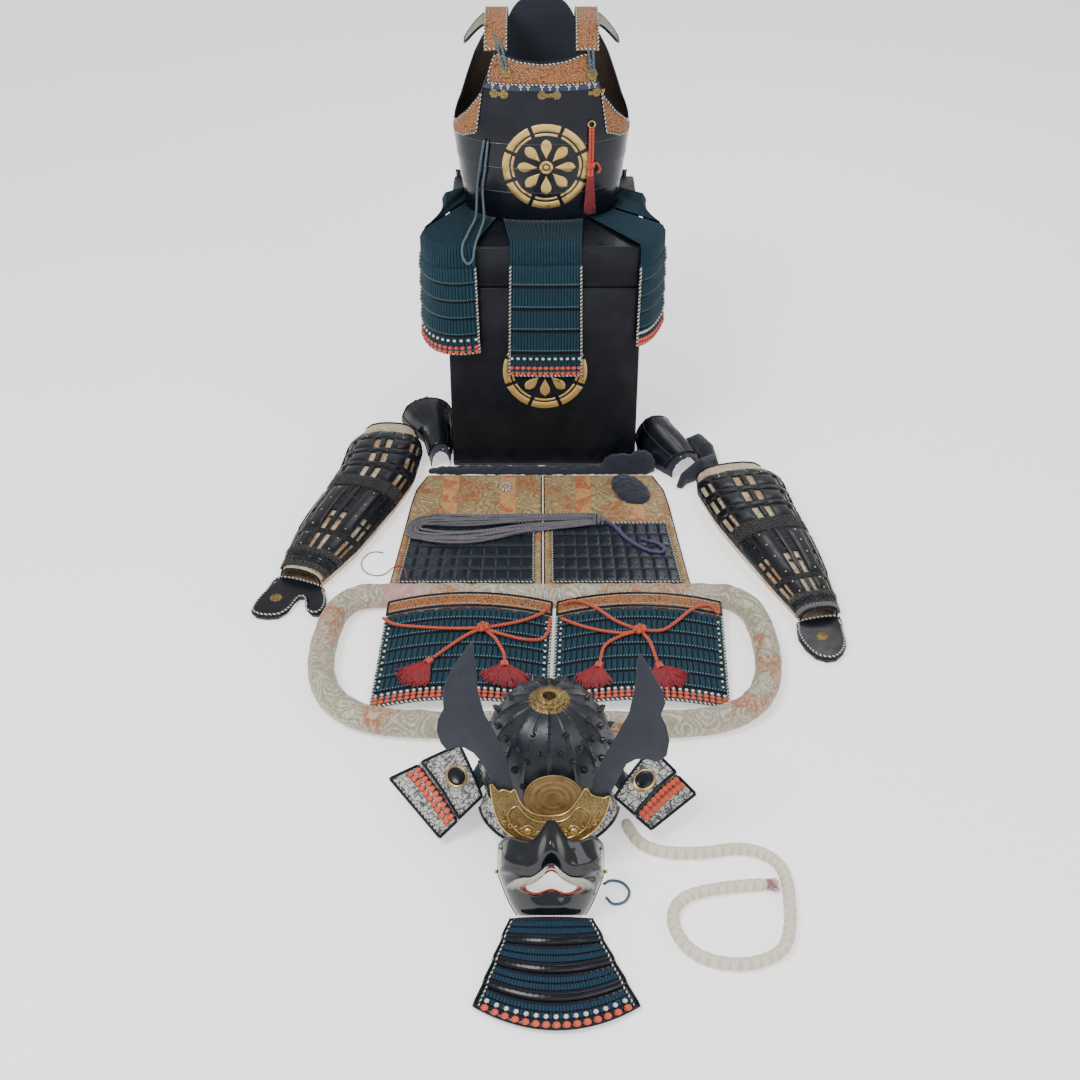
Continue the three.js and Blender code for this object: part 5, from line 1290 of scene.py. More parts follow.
def hair(build, start, way, length, count, spread, thick=0.55, crimp=1.4, droop=None, seed=1, mat=0):
    """A head of silk strands that leaves start along way. droop moves each point onto what it lies on."""
    rng = random.Random(seed)
    side = way.cross(Vector((0, 0, 1)))
    if side.length < 0.1:
        side = Vector((1, 0, 0))
    side.normalize()
    up = side.cross(way).normalized()
    for i in range(count):
        r = math.sqrt((i + 0.5) / count)
        a = i * 2.399
        off = (r * math.cos(a), r * math.sin(a))
        reach = length * rng.uniform(0.86, 1.0)
        points = []
        for t in steps(0, 1, 7):
            wide = mix(0.45, 1.0, t ** 0.8) * spread
            p = start + way * (reach * t)
            p += (side * (off[0] * wide + crimp * math.sin(t * 26 + i))
                  + up * (off[1] * wide * 0.9 + crimp * math.cos(t * 23 + i * 2)))
            if droop:
                p = droop(p, off[1] * spread * 0.5 + spread * 0.45)
            points.append(p)
        build.tube(points, thick, 4, mat)


tassel = Build()
top = Vector((97, do_face(98, 652.5) - 12, 652.5))
hair(tassel, top - Vector((0, 0, 10)), Vector((0, 0, -1)), 88, 190, 12.5, crimp=0.8, seed=3,
     droop=lambda p, lift: Vector((p.x, min(p.y, do_face(p.x, p.z) - 3), p.z)))
for k in range(5):
    loop = [top + Vector((5.6 * math.cos(a), 5.6 * math.sin(a), -3 - k * 2.4)) for a in steps(0, 6.2832, 16)]
    tassel.tube(curve_points(loop[:-1], 20, True), 1.4, 6, caps=False, mat=1)
tassel.tube([top, top - Vector((0, 0, 7)), top - Vector((0, 0, 15))], 5.2, 10, mat=1)
breast_silk = make("breast_tassel_silk", tassel, [CRIMSON, ORANGE], replaces=["breast_tassel"],
                   slot="silk_crimson", smooth_angle=180)
for k, dx in enumerate((-3, 3)):
    free_cord("breast_cord_%d" % (k + 1),
              [on_breast(98 + dx, 740, 5.6), on_breast(98 + dx, 722, 7.5), on_breast(98 + dx, 680, 7.5),
               on_breast(98 + dx, 650, 9)], 2.6, ORANGE, "knot", [] if k else ["breast_ring_cord"],
              "cord_orange", sides=8, count=40, lay="hanging",
              with_pieces=[breast_silk] if k else [breast_knot])

# ---------------------------------------------------------------- laced skirts
SKIRTS = [
    ("kusazuri_front", -24, 27, ((-72, 549), (4, 547), (78, 549)), 238),
    ("kusazuri_front_left", -80, -30, ((-262, 618), (-222, 541), (-143, 540)), 300),
    ("kusazuri_front_right", 33, 64, ((200, 541), (231, 572), (258, 648)), 316),
    ("kusazuri_side_right", 68, 118, ((252, 668), (226, 745), (226, 822)), 310),
    ("kusazuri_side_left", -125, -84, ((-226, 826), (-226, 742), (-258, 640)), 310),
    ("kusazuri_back_right", 124, 172, ((190, 972), (118, 966), (30, 964)), 290),
    ("kusazuri_back_left", -173, -130, ((-42, 964), (-130, 966), (-202, 972)), 290),
]


def ribs(u, count, height=0.9):
    part = fract(u * count)
    return height * (math.sin(math.pi * part) ** 0.5 - 0.5)


def rib_steps(a, b, count, per=4):
    out = []
    for i in range(count):
        for k in (0.0, 0.12, 0.5, 0.88)[:per]:
            out.append(mix(a, b, (i + k) / count))
    return out + [b]


def skirt(name, start, end, edge, bottom):
    def bend(u):
        w = ((2 * u - 1) * (u - 1), 4 * u * (1 - u), u * (2 * u - 1))
        return Vector((sum(k * e[0] for k, e in zip(w, edge)), sum(k * e[1] for k, e in zip(w, edge)), 533))
    middle = bend(0.5)

    def down(u, z):
        flare = 1 + 0.07 * (533 - z) / (533 - bottom)
        p = bend(u)
        return Vector((mix(middle.x, p.x, flare), mix(middle.y, p.y, flare), z))

    def inward(u):
        way = bend(u + 0.01) - bend(u - 0.01)
        p = bend(u) + Vector((way.y, -way.x, 0)).normalized() * -7
        p.z = 545
        return p
    drop = (497 - bottom) / 5
    rows = [(lambda u: do_point(mix(start, end, u), 540, 2.3), 0.0), (inward, 0.5), (bend, 0.5),
            (lambda u: down(u, 497), 0.4)]
    for k in range(5):
        z = 497 - k * drop
        if k:
            rows.append((lambda u, z=z: down(u, z), 0.4))
        rows.append((lambda u, z=z: down(u, z - drop * 0.8), 3.0))
    rows.append((lambda u: down(u, bottom), 2.0))

    def base(u, v):
        i = int(clamp(math.floor(v), 0, len(rows) - 2))
        return rows[i][0](u).lerp(rows[i + 1][0](u), v - i)
    count = 24
    place = raised(lambda u, v: base(1 - u, v))

    def relief(v):
        i = int(clamp(math.floor(v), 0, len(rows) - 2))
        return mix(rows[i][1], rows[i + 1][1], v - i)

    def lame(v):
        """How many lames down, from the lid's edge."""
        if v <= 3:
            return 0.0
        k = v - 3
        whole, part = int(k // 2), k % 2
        return whole + (part * 0.8 if part <= 1 else 0.8 + (part - 1) * 0.2)
    us = rib_steps(0, 1, count)
    vs = steps(0, 1, 6)[:-1] + steps(1, 2, 3)[:-1] + steps(2, 3, 4)[:-1]
    top = Build()
    top.grid(lambda u, v: place(u, v, relief(v) + ribs(u, count, 1.3)), us, vs + [3.0],
             uv=lambda u, v: (u * count, v))
    body = []
    for k in range(5):
        body += [3 + 2 * k + t for t in (0, 0.35, 0.7, 0.94, 1.0)] + [3 + 2 * k + t for t in (1.25, 1.6)]
    body.append(3 + 10)
    top.grid(lambda u, v: place(u, v, relief(min(v, 12.999))
                                + ribs(u, count, 1.0 if fract(lame(v)) < 0.84 else 0.15)),
             us, body, mat=2, uv=lambda u, v: (u * count, lame(v)))
    obj = make(name + "_lacing", top, [LACE_LONG, LACQUER, LACE, LACQUER], replaces=[name],
               slot="lacing_blue",
               solid=3.6)
    obj.modifiers["wall"].material_offset = 1
    obj.modifiers["wall"].material_offset_rim = 0
    trim = Build()
    wide = (base(1, 12) - base(0, 12)).length * 0.92 / 12
    for u in (0.012, 0.988):
        border(trim, [place(u, v, relief(v) + 0.8) for v in steps(3, 12.95, 30)], 2.3, mat=0)
    border(trim, [place(u, 12.97, 1.6) for u in steps(0.012, 0.988, 30)], 2.2, mat=0)
    for row, size, mat in ((11.25, 2.5, 1), (11.78, 2.6, 2), (12.42, 2.6, 2)):
        n = 12 if mat == 1 else 13
        for i in range(n):
            u = mix(0.04, 0.96, i / (n - 1))
            p, a, b, nn = frame_at(lambda u, v: base(1 - u, v), u, row)
            p = p + nn * (relief(row) + 0.6)
            if mat == 1:
                trim.ball(p, (3.9, 3.2, 2.6), (a, b, nn), 8, 5, mat)
            else:
                trim.ball(p, (wide * 0.46, 4.1, 2.2), (a, b, nn), 10, 6, mat, 0.6)
    make(name + "_trim", trim, [EDGE, WHITE_SILK, CORAL], slot="lacing_blue")


for row in SKIRTS:
    skirt(*row)

# ---------------------------------------------------------------- sleeves
KOTE = {
    "left": [(0, -358, 674, 58, 44), (1, -361, 575, 84, 58), (2, -370, 470, 84, 62), (3, -398, 375, 80, 58),
             (4, -430, 285, 76, 56), (5, -453, 215, 70, 52), (6, -474, 155, 58, 46), (7, -493, 100, 44, 38)],
    "right": [(0, 414, 494, 76, 46), (1, 430, 420, 96, 58), (2, 449, 315, 88, 62), (3, 477, 215, 78, 58),
              (4, 497, 140, 68, 54), (5, 516, 65, 56, 48), (6, 529, 15, 46, 42), (7, 536, -22, 38, 36)],
}
SLEEVE_SECTION = [(1, 0.34), (0.93, 0.64), (0.72, 0.86), (0.4, 0.97), (0, 1), (-0.4, 0.97), (-0.72, 0.86),
                  (-0.93, 0.64), (-1, 0.34), (-0.9, 0), (0.9, 0)]


def sleeve_point(table, q, s, out=0.0):
    n = len(SLEEVE_SECTION)
    i = math.floor(q)
    a, b = SLEEVE_SECTION[i % n], SLEEVE_SECTION[(i + 1) % n]
    w, h = straight(table, 3, s), straight(table, 4, s)
    x, z = mix(a[0], b[0], q - i) * w, mix(a[1], b[1], q - i) * h
    tx, tz = (b[0] - a[0]) * w, (b[1] - a[1]) * h
    length = math.hypot(tx, tz)
    x, z = x + tz / length * out, z - tx / length * out
    s0, s1 = clamp(s - 0.01, 0, 7), clamp(s + 0.01, 0, 7)
    way = Vector((along(table, 1, s1) - along(table, 1, s0), along(table, 2, s1) - along(table, 2, s0), 0))
    way.normalize()
    cx, cy = straight(table, 1, s), straight(table, 2, s)
    return Vector((cx - way.y * x, cy + way.x * x, 0.3 + z))


for side, table in KOTE.items():
    def cloth(q, s, table=table):
        p = sleeve_point(table, q, s)
        crease = 0.9 * wobble(p, 0.035, 3) + 0.6 * math.sin(s * 9 + wobble(p, 0.02) * 6)
        edge = min(1, s * 3, (7 - s) * 3)
        q2 = sleeve_point(table, q, s, -0.4 + crease * edge * (0.9 if q < 8.5 or q > 10.5 else 0.1))
        q2.z = max(q2.z, 0.5)
        return q2
    build = Build()
    build.grid(cloth, [q for k in range(11) for q in (k, k + 0.33, k + 0.66)] + [11], steps(0, 7, 90),
               uv=lambda q, s: (s / 3.5, q / 11), wrap=True)
    cloth = make("sleeve_cloth_" + side, build, [BROCADE_STRIPED, NAVY], replaces=["kote_%s_cloth" % side],
                 slot="brocade", solid=2.2)
    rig.sheet(cloth, flat=(0.345, 0.60) if side == "left" else (0.33, 0.565), held="laid")
    piping = Build()
    for s in (0.015, 6.985):
        line = [sleeve_point(table, q, s, 0.3) for q in steps(0, 11, 33)][:-1]
        for p in line:
            p.z = max(p.z, 2.0)
        border(piping, line, 2.3, mat=0, closed=True, spacing=6)
    for q in (0.32, 7.68):
        border(piping, [sleeve_point(table, q, s, 1.8) for s in steps(0.05, 6.9, 60)], 1.9, mat=0, spacing=7)
    for q, s0, s1 in ((0.32, 0.2, 6.8),):
        for i in range(30):
            s = mix(s0, s1, i / 29)
            for qq in (0.42, 7.58):
                piping.ball(sleeve_point(table, qq, s, 2.4), (1.5, 1.5, 1.2), sides=6, rings=4, mat=1)
    make("sleeve_piping_" + side, piping, [LACQUER, CORAL], slot="brocade")

    paint("kote_%s_plates" % side, MAIL)
    plates = Build()
    at = lambda q, s, out, table=table: sleeve_point(table, q, s, 4.8 + out)
    # Top plate, small plates on the bars of the lattice, then long splints
    for q0, q1 in ((0.55, 1.9), (2.05, 3.3), (3.45, 4.55), (4.7, 5.9), (6.05, 7.45)):
        plates.tile(at, q0, q1, 0.62, 0.98, 1.8, nu=4, nv=3)
    for q0, q1 in ((0.55, 0.97), (2.05, 3.35), (4.65, 5.95), (7.03, 7.45)):
        for s0, s1 in ((1.02, 1.38), (1.42, 1.58), (1.62, 1.98), (2.02, 2.18), (2.22, 2.58)):
            plates.tile(at, q0, q1, s0, s1, 1.7, nu=3, nv=3)
    for q0, q1 in ((1.05, 1.95), (3.45, 4.55), (6.05, 6.95)):
        for s0, s1 in ((1.42, 1.58), (2.02, 2.18)):
            plates.tile(at, q0, q1, s0, s1, 1.4, nu=3, nv=2)
    for q0, q1 in ((0.55, 0.97), (2.05, 3.35), (4.65, 5.95), (7.03, 7.45)):
        plates.tile(at, q0, q1, 3.05, 4.86, 2.4, nu=4, nv=12, edge=0.08)
    for q0, q1 in ((2.05, 3.35), (4.65, 5.95)):
        for s0, s1 in ((5.14, 5.86),):
            plates.tile(at, q0, q1, s0, s1, 1.6, nu=4, nv=4)
    for q in (1.5, 4.0, 6.5):
        for s0, s1 in ((1.0, 1.4), (1.6, 2.0), (2.2, 2.6), (3.0, 4.9), (5.1, 5.9)):
            plates.tile(at, q - 0.19, q + 0.19, s0, s1, 1.6, nu=3, nv=8, edge=0.08)
        for s in (3.45, 3.9, 4.35):
            plates.tile(at, q - 0.5, q + 0.5, s - 0.05, s + 0.05, 0.8, nu=3, nv=2)
    for q in (1.3, 2.7, 4.0, 5.3, 6.7):
        for s in (6.2, 6.5):
            plates.tile(at, q - 0.45, q + 0.45, s - 0.11, s + 0.13, 1.4, nu=3, nv=3)
    make("sleeve_plates_" + side, plates, [LACQUER_PLATE], slot="mail", smooth_angle=60)
    # Mail: fine rings over the elbow and the wrist
    rings = Build()

    def ring_at(q, s, tilt):
        p = sleeve_point(table, q, s, 5.6)
        d1 = (sleeve_point(table, q + 0.05, s, 5.6) - p).normalized()
        d2 = (sleeve_point(table, q, s + 0.02, 5.6) - p).normalized()
        d3 = d1.cross(d2).normalized()
        line = [p + d1 * (3.0 * math.cos(a))
                + (d2 * math.cos(tilt) + d3 * math.sin(tilt)) * (3.0 * math.sin(a))
                for a in steps(0, 6.2832, 7)][:-1]
        rings.tube(line + [line[0]], 0.55, 4, caps=False)
    for s0, s1, n in ((2.64, 2.96, 7), (5.9, 6.08, 3), (6.66, 6.78, 2)):
        for i in range(n):
            for j in range(30):
                ring_at(mix(0.6, 7.4, (j + 0.5 * (i % 2)) / 30), mix(s0, s1, i / (n - 1)), 0.35 * (-1) ** j)
    make("sleeve_mail_" + side, rings, [STEEL], slot="mail", smooth_angle=180)
    pins = Build()
    for q in (2.7, 5.3):
        for s in (0.72, 0.9, 3.15, 3.6, 4.1, 4.75, 5.22, 5.78):
            pins.ball(at(q, s, 2.1), (2.3, 2.3, 1.4), sides=8, rings=4)
    make("sleeve_rivets_" + side, pins, [GILT_PLAIN], slot="gilt")

# Hand guards
for side, outline, flower_at in (
    ("left", [(-534.8, 113.2), (-560, 66), (-574, 30), (-578, 2), (-566, -12), (-545, -17), (-522, -14),
              (-506, 4),
              (-498, 32), (-488, 48), (-477, 48), (-469, 32), (-468, 10), (-458, -6), (-444, -8), (-434, 8),
              (-433, 36), (-440, 62), (-451.3, 84.8)], (-534, 40)),
    ("right", [(498.9, -29.8), (490, -50), (488, -80), (497, -112), (513, -138), (533, -148), (552, -144),
               (569, -124), (578, -96), (578, -60), (573.4, -15.8)], (534, -82)),
):
    dressed("tekko_" + side, [LACQUER_PLATE], 1.6, 3, slot="lacquer_black")
    middle = Vector((sum(p[0] for p in outline) / len(outline), sum(p[1] for p in outline) / len(outline),
                     0))
    trim = Build()
    for inset, r, mat, z in ((4.2, 1.7, 0, 15.4), (1.4, 1.6, 1, 9.0)):
        line = []
        for x, y in outline:
            p = Vector((x, y, 0))
            d = (middle - p).normalized()
            q = p + d * inset
            q.z = z
            line.append(q)
        border(trim, line, r, mat=mat, closed=True, spacing=4)
    flower(trim, lambda a, b, out: Vector((a, b, 15.4 + out)), flower_at[0], flower_at[1], 13, 8, mat=2,
           dome=1.6)
    make("hand_trim_" + side, trim, [EDGE, LACQUER, GILT], slot="lacquer_black", smooth_angle=50)

# Mauve band at the right wrist
band = Build()
for k in range(3):
    s = 6.80 + 0.05 * k
    line = [sleeve_point(KOTE["right"], q, s, 5.2) for q in steps(0.2, 7.8, 26)]
    border(band, line, 2.6, spacing=5)
make("wrist_band", band, [MAUVE], slot="cord_mauve", smooth_angle=180)

# ---------------------------------------------------------------- shin guards
SUNEATE = {
    "left": [(0, -234, 546, 20, 42), (1, -239, 600, 25, 50), (2, -248, 660, 31, 58), (3, -268, 715, 47, 62),
             (4, -280, 765, 60, 60)],
    "right": [(0, 322, 516, 36, 44), (1, 304, 548, 44, 50), (2, 284, 582, 50, 58), (3, 262, 626, 50, 64),
              (4, 252, 676, 40, 62)],
}
SHELL = [(1, 0), (0.95, 0.36), (0.78, 0.7), (0.45, 0.92), (0, 1), (-0.45, 0.92), (-0.78, 0.7), (-0.95, 0.36),
         (-1, 0)]
for side, table in SUNEATE.items():
    first, last = table[0], table[-1]
    way = Vector((last[1] - first[1], last[2] - first[2], 0)).normalized()

    def shell(q, s, out=0.0, table=table, way=way):
        x = along([(i, p[0]) for i, p in enumerate(SHELL)], 1, q) * (along(table, 3, s) + out)
        z = along([(i, p[1]) for i, p in enumerate(SHELL)], 1, q) * (along(table, 4, s) + out)
        return Vector((straight(table, 1, s) + way.y * x, straight(table, 2, s) - way.x * x, 0.3 + z))
    build = Build()
    build.grid(lambda q, s: shell(q, s, 6.3), steps(1, 7, 36), steps(0.5, 3.7, 40))
    make("shin_plate_" + side, build, [LACQUER], replaces=["suneate_%s_plate" % side], slot="lacquer_black",
         solid=2.2, offset=1.0)
    lining = softened("suneate_%s_lining" % side, NAVY, 2.6, 3, 1.0, 0.02, slot="navy_cloth")
    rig.sheet(lining, flat=(0.13, 0.30) if side == "left" else (0.142, 0.30), held="laid")
    trim = Build()
    line = [shell(q, 0.5, 6.0) for q in steps(1, 7, 18)] + [shell(7, s, 6.0) for s in steps(0.6, 3.6, 12)]
    line += [shell(q, 3.7, 6.0) for q in steps(7, 1, 18)] + [shell(1, s, 6.0) for s in steps(3.6, 0.6, 12)]
    border(trim, line, 1.6, closed=True, spacing=5)
    for q in (2.6, 4, 5.4):
        border(trim, [shell(q, s, 6.4) for s in steps(0.6, 3.6, 16)], 0.9, mat=1)
    make("shin_trim_" + side, trim, [LACQUER, LACQUER_PLATE], slot="lacquer_black")

# ---------------------------------------------------------------- thigh guards
HAIDATE_OUTER = [(80, 316), (200, 306), (384, 292), (450, 284), (511, 262)]
SMALL_PLATE = iron_material("plate_slate", (0.005, 0.008, 0.014), (0.012, 0.018, 0.028), 0.05, 0.34, 0.1)
for side, name in ((-1, "left"), (1, "right")):
    def edge(y, side=side):
        return side * straight(HAIDATE_OUTER, 1, y) + (-18 if side > 0 else 0)
    inner = -3 + side * 1.2
    lo = edge if side < 0 else (lambda y, inner=inner: inner)
    hi = (lambda y, inner=inner: inner) if side < 0 else edge

    def panel(u, y, out=0.0, lo=lo, hi=hi):
        return Vector((mix(lo(y), hi(y), u), y, 3.3 + out))

    def thigh(u, y, panel=panel, lo=lo, hi=hi):
        width = hi(y) - lo(y)
        from_side = min(u, 1 - u) * width
        roll = 0.0
        if y < 330:
            roll = max(bump(from_side, 8.5, 5.5), bump(y, 89, 5.5))
            roll *= smooth((330 - y) / 14)
        p = panel(u, y)
        crease = 1.1 * power(wobble(p, 0.012, 5) + 0.15, 1.2) + 0.5 * wobble(p, 0.05, 2)
        free = 1 if y > 345 else 0.15
        return p + Vector((0, 0, 6.0 * roll + crease * free * smooth((511 - y) / 20)))
    us = [0, 0.008, 0.016, 0.024, 0.032, 0.04, 0.05, 0.07] + steps(0.12, 0.88, 34) + [
        0.93, 0.95, 0.96, 0.968, 0.976, 0.984, 0.992, 1]
    ys = [80, 82.5, 85, 88, 91, 94, 98, 104] + steps(112, 320, 22) + steps(330, 511, 60)
    build = Build()
    build.grid(thigh, us, ys, uv=lambda u, y, panel=panel: (panel(u, y).x / 300, y / 300))
    cloth = make("thigh_cloth_" + name, build, [BROCADE], replaces=["haidate_%s_cloth" % name],
                 slot="brocade",
                 solid=2.9)
    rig.sheet(cloth, flat=(0.303, 0.431) if side < 0 else (0.291, 0.431), held="laid")
    stripes = Build()
    for x0 in ((-207, -80) if side < 0 else (86, 200)):
        def ribbon(dx, y, x0=x0, thigh=thigh, lo=lo, hi=hi):
            u = (x0 + dx - lo(y)) / (hi(y) - lo(y))
            return thigh(u, y) + Vector((0, 0, 0.35))
        stripes.grid(ribbon, steps(-17, 17, 14), steps(334, 508, 90))
    make("thigh_stripes_" + name, stripes,
         [brocade_material("stripe_" + name, (0.46, 0.17, 0.04), (0.36, 0.11, 0.025), (0.56, 0.36, 0.15),
                           (0.30, 0.06, 0.02), flower=55.0)],
         slot="brocade")
    paint("haidate_%s_plates" % name, SMALL_PLATE)
    plates = Build()
    at = lambda u, y, out: panel(u, y, 5.4 + out)
    a0, a1 = lo(104) + 19, hi(104) - 19
    for r in range(5):
        y0 = 104 + r * 41.6
        n = 10
        for k in range(n):
            x0, x1 = mix(lo(y0) + 19, hi(y0) - 19, k / n), mix(lo(y0) + 19, hi(y0) - 19, (k + 1) / n)
            place = lambda x, y, out: Vector((x, y, 7.6 + out + 0.0045 * (41.6 - (y - y0)) * 6))
            plates.tile(place, x0 + 0.5, x1 - 0.5, y0 + 0.6, y0 + 41.2, 1.5, nu=3, nv=4, edge=0.1)
            for dx in (-6.5, 6.5):
                for dy in (9, 15, 31):
                    plates.ball(place((x0 + x1) / 2 + dx, y0 + dy, 1.6), (1.5, 2.6, 0.9), sides=6, rings=4,
                                mat=1)
    make("thigh_plates_" + name, plates, [SMALL_PLATE, LACE_LONG], slot="lacquer_black", smooth_angle=50)
    seam = Build()
    inset = 18.5
    line = [Vector((lo(y) + inset, y, 8.6)) for y in steps(102, 314, 20)]
    line += [Vector((mix(lo(314) + inset, hi(314) - inset, t), 314, 8.6)) for t in steps(0.05, 0.95, 10)]
    line += [Vector((hi(y) - inset, y, 8.6)) for y in steps(314, 102, 20)]
    line += [Vector((mix(hi(102) - inset, lo(102) + inset, t), 102, 8.6)) for t in steps(0.05, 0.95, 10)]
    border(seam, line, 1.6, closed=True, spacing=4)
    line = [thigh(0.006, y) for y in steps(82, 505, 40)]
    border(seam, line, 1.5, mat=1)
    line = [thigh(0.994, y) for y in steps(82, 505, 40)]
    border(seam, line, 1.5, mat=1)
    border(seam, [thigh(u, 81) for u in steps(0.01, 0.99, 40)], 1.5, mat=1)
    make("thigh_edges_" + name, seam, [EDGE, LACQUER], slot="brocade")

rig.sheet(softened("haidate_belt", NAVY, 2.6, 4, 7.0, 0.013, slot="navy_cloth"), flat=(0.045, 0.52),
         held="folded")
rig.sheet(softened("haidate_belt_end", NAVY, 2.2, 3, 5.0, 0.012, slot="navy_cloth"), flat=(0.075, 0.10),
         held="folded")

# Mauve cord: folded runs side by side
HANK = [(0, -286, 292, 20, 8), (1, -272, 290, 40, 9), (2, -230, 284, 58, 11), (3, -150, 286, 56, 11),
        (4, -60, 300, 42, 11), (5, 20, 312, 32, 11), (6, 90, 318, 26, 10), (7, 128, 316, 14, 8)]
for k in range(7):
    part = mix(0.26, 1, k / 6)

    def strand(s, side, k=k, part=part):
        x, y, w, h = (along(HANK, column, s) for column in (1, 2, 3, 4))
        w -= 4
        way = Vector((along(HANK, 1, s + 0.02) - along(HANK, 1, s - 0.02),
                      along(HANK, 2, s + 0.02) - along(HANK, 2, s - 0.02), 0)).normalized()
        shift = side * part * w * 0.93 + (1 + 0.05 * w) * math.sin(s * (1.1 + 0.23 * k) + k * 1.7)
        up = 0.5 + 0.5 * math.sin(s * 1.9 + k * 2.6)
        return Vector((x - way.y * shift, y + way.x * shift,
                       12.6 + (h - 6.2) * up * (1 - 0.4 * part * part)))

    near, far = strand(1.5, -1), strand(1.5, 1)
    turn = [near.lerp(far, 0.5 - 0.5 * math.cos(a))
            - Vector(((far - near).length * 0.42 * math.sin(a), 0, 0))
            for a in steps(0, math.pi, 12)][1:-1]
    line = [strand(s, -1) for s in steps(6.5, 1.5, 24)] + turn + [strand(s, 1) for s in steps(1.5, 6.5, 24)]
    free_cord("mauve_cord_loop_%d" % (k + 1), line, 2.9, MAUVE, "object", [] if k else ["mauve_hank"],
              "cord_mauve", sides=7, count=150)
wrap = Build()
for x, y, w in ((116, 317, 17), (108, 318, 19), (124, 316, 15)):
    line = [Vector((x, y + w * math.cos(a), 9.9 + 5.6 + 5.4 * math.sin(a)))
            for a in steps(0, 6.2832, 20)][:-1]
    wrap.tube(curve_points(line, 26, True), 3.0, 7, caps=False)
make("mauve_cord_wrap", wrap, [MAUVE], slot="cord_mauve", smooth_angle=180)

free_cord("mauve_cord_tail", TAIL_ROUTE, 3.2, PURPLE, "bare", ["mauve_tail"], "cord_mauve", count=70,
          sides=10)
fray = Build()
hair(fray, Vector((224, 239, 12.6)), Vector((-0.9, 0.43, 0)).normalized(), 24, 46, 3.4, thick=0.5, crimp=0.5,
     seed=5, droop=lambda p, lift: Vector((p.x, p.y, max(p.z, 10.6))))
make("mauve_cord_fray", fray, [PURPLE], slot="cord_mauve", smooth_angle=180)
free_cord("loose_red_string", STRING_ROUTE, 1.2, CRIMSON, "bare", ["loose_string"], "silk_crimson", count=90,
          sides=8)

# Small white and blue loop by the belt's end
loop = Build()
line = [Vector((-86 + 11 * math.cos(a), 459 + 15 * math.sin(a), 6.4 + 1.0 * math.sin(2 * a)))
        for a in steps(0, 6.2832, 20)][:-1]
loop.tube(curve_points(line, 60, True), 2.6, 8, caps=False)
make("small_loop", loop, [striped_material("loop_braid", (0.03, 0.07, 0.16), (0.70, 0.70, 0.66), 0.9)],
     slot="cord_slate", smooth_angle=180)

# ---------------------------------------------------------------- padded belt in a ring
RING_ROUTE = [(70, 32), (180, 34), (292, 33), (367, 27), (404, -18), (416, -80), (419, -150), (411, -215),
              (388, -272), (346, -314), (290, -336), (200, -345), (100, -346)]
for side, name in ((-1, "left"), (1, "right")):
    route = [(0.3, 32), (30, 32)] + RING_ROUTE + [(40, -346), (0.3, -346)]
    line = curve_points([(side * x, y, 0) for x, y in route], 300)
    run = [0.0]
    for a, b in zip(line, line[1:]):
        run.append(run[-1] + (b - a).length)

    def belt(q, i, line=line, run=run, side=side):
        i = int(round(i))
        a, b = line[max(i - 1, 0)], line[min(i + 1, len(line) - 1)]
        way = (b - a).normalized()
        angle = q * 2 * math.pi
        c, s = math.cos(angle), math.sin(angle)
        p = line[i] + Vector((way.y, -way.x, 0)) * (25.2 * c)
        fold = (0.8 * math.sin(run[i] * 0.11 + 3 * wobble(p, 0.01)) + 1.3 * wobble(p, 0.03, 4)
                + 0.9 * bump(math.sin(run[i] * 0.055), 1, 0.06) * -2)
        seam = -1.6 * bump(abs(q - 0.5), 0.0, 0.018)
        r = 1 + (fold * (0.4 + 0.6 * max(s, 0)) + seam) / 25
        p += Vector((way.y, -way.x, 0)) * (25.2 * c * (r - 1))
        p.z = 0.3 + 24.6 + 24.4 * s * (r if s > 0 else 1)
        p.z = max(0.35, p.z)
        return p
    build = Build()
    build.grid(belt, steps(0, 1, 32), list(range(301)), uv=lambda q, i, run=run: (run[int(i)] / 160, q),
               wrap=True)
    base = len(build.verts)
    for i in (0, 300):
        ids = tuple((q * 301 + i) for q in range(32))
        build.face(ids if i else ids[::-1], tuple((0, 0) for _ in ids), 0)
    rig.padded(make("belt_ring_" + name, build, [BROCADE_BELT], replaces=["brocade_belt_" + name],
                   slot="brocade",
                   smooth_angle=60), 0.9)
    stitch = Build()
    for i in range(2, 296, 2):
        p, q = belt(0.5, i), belt(0.5, i + 1)
        stitch.tube([p + Vector((0, 0, 0.5)), q + Vector((0, 0, 0.5))], 0.5, 4)
    make("belt_stitches_" + name, stitch, [WHITE_SILK], slot="brocade")

# ---------------------------------------------------------------- shoulder guards
SODE_PAIR = [("sode_left", -145, -157), ("sode_right", 185, 174)]


def sode_point(row, u, y, out=0.0):
    v = (y + 285) / 283
    return Vector((mix(row[2], row[1], v) + u * 162, y, 8 + 24 * v + 24 * (1 - u * u) + out))


def sode_relief(y):
    part = fract((y + 285) / 35)
    k = math.floor((y + 285) / 35)
    start = 1.5 if k == 0 else 0
    return mix(start, 2.4, part / 0.25) if part < 0.25 else mix(2.4, 0, (part - 0.25) / 0.75)


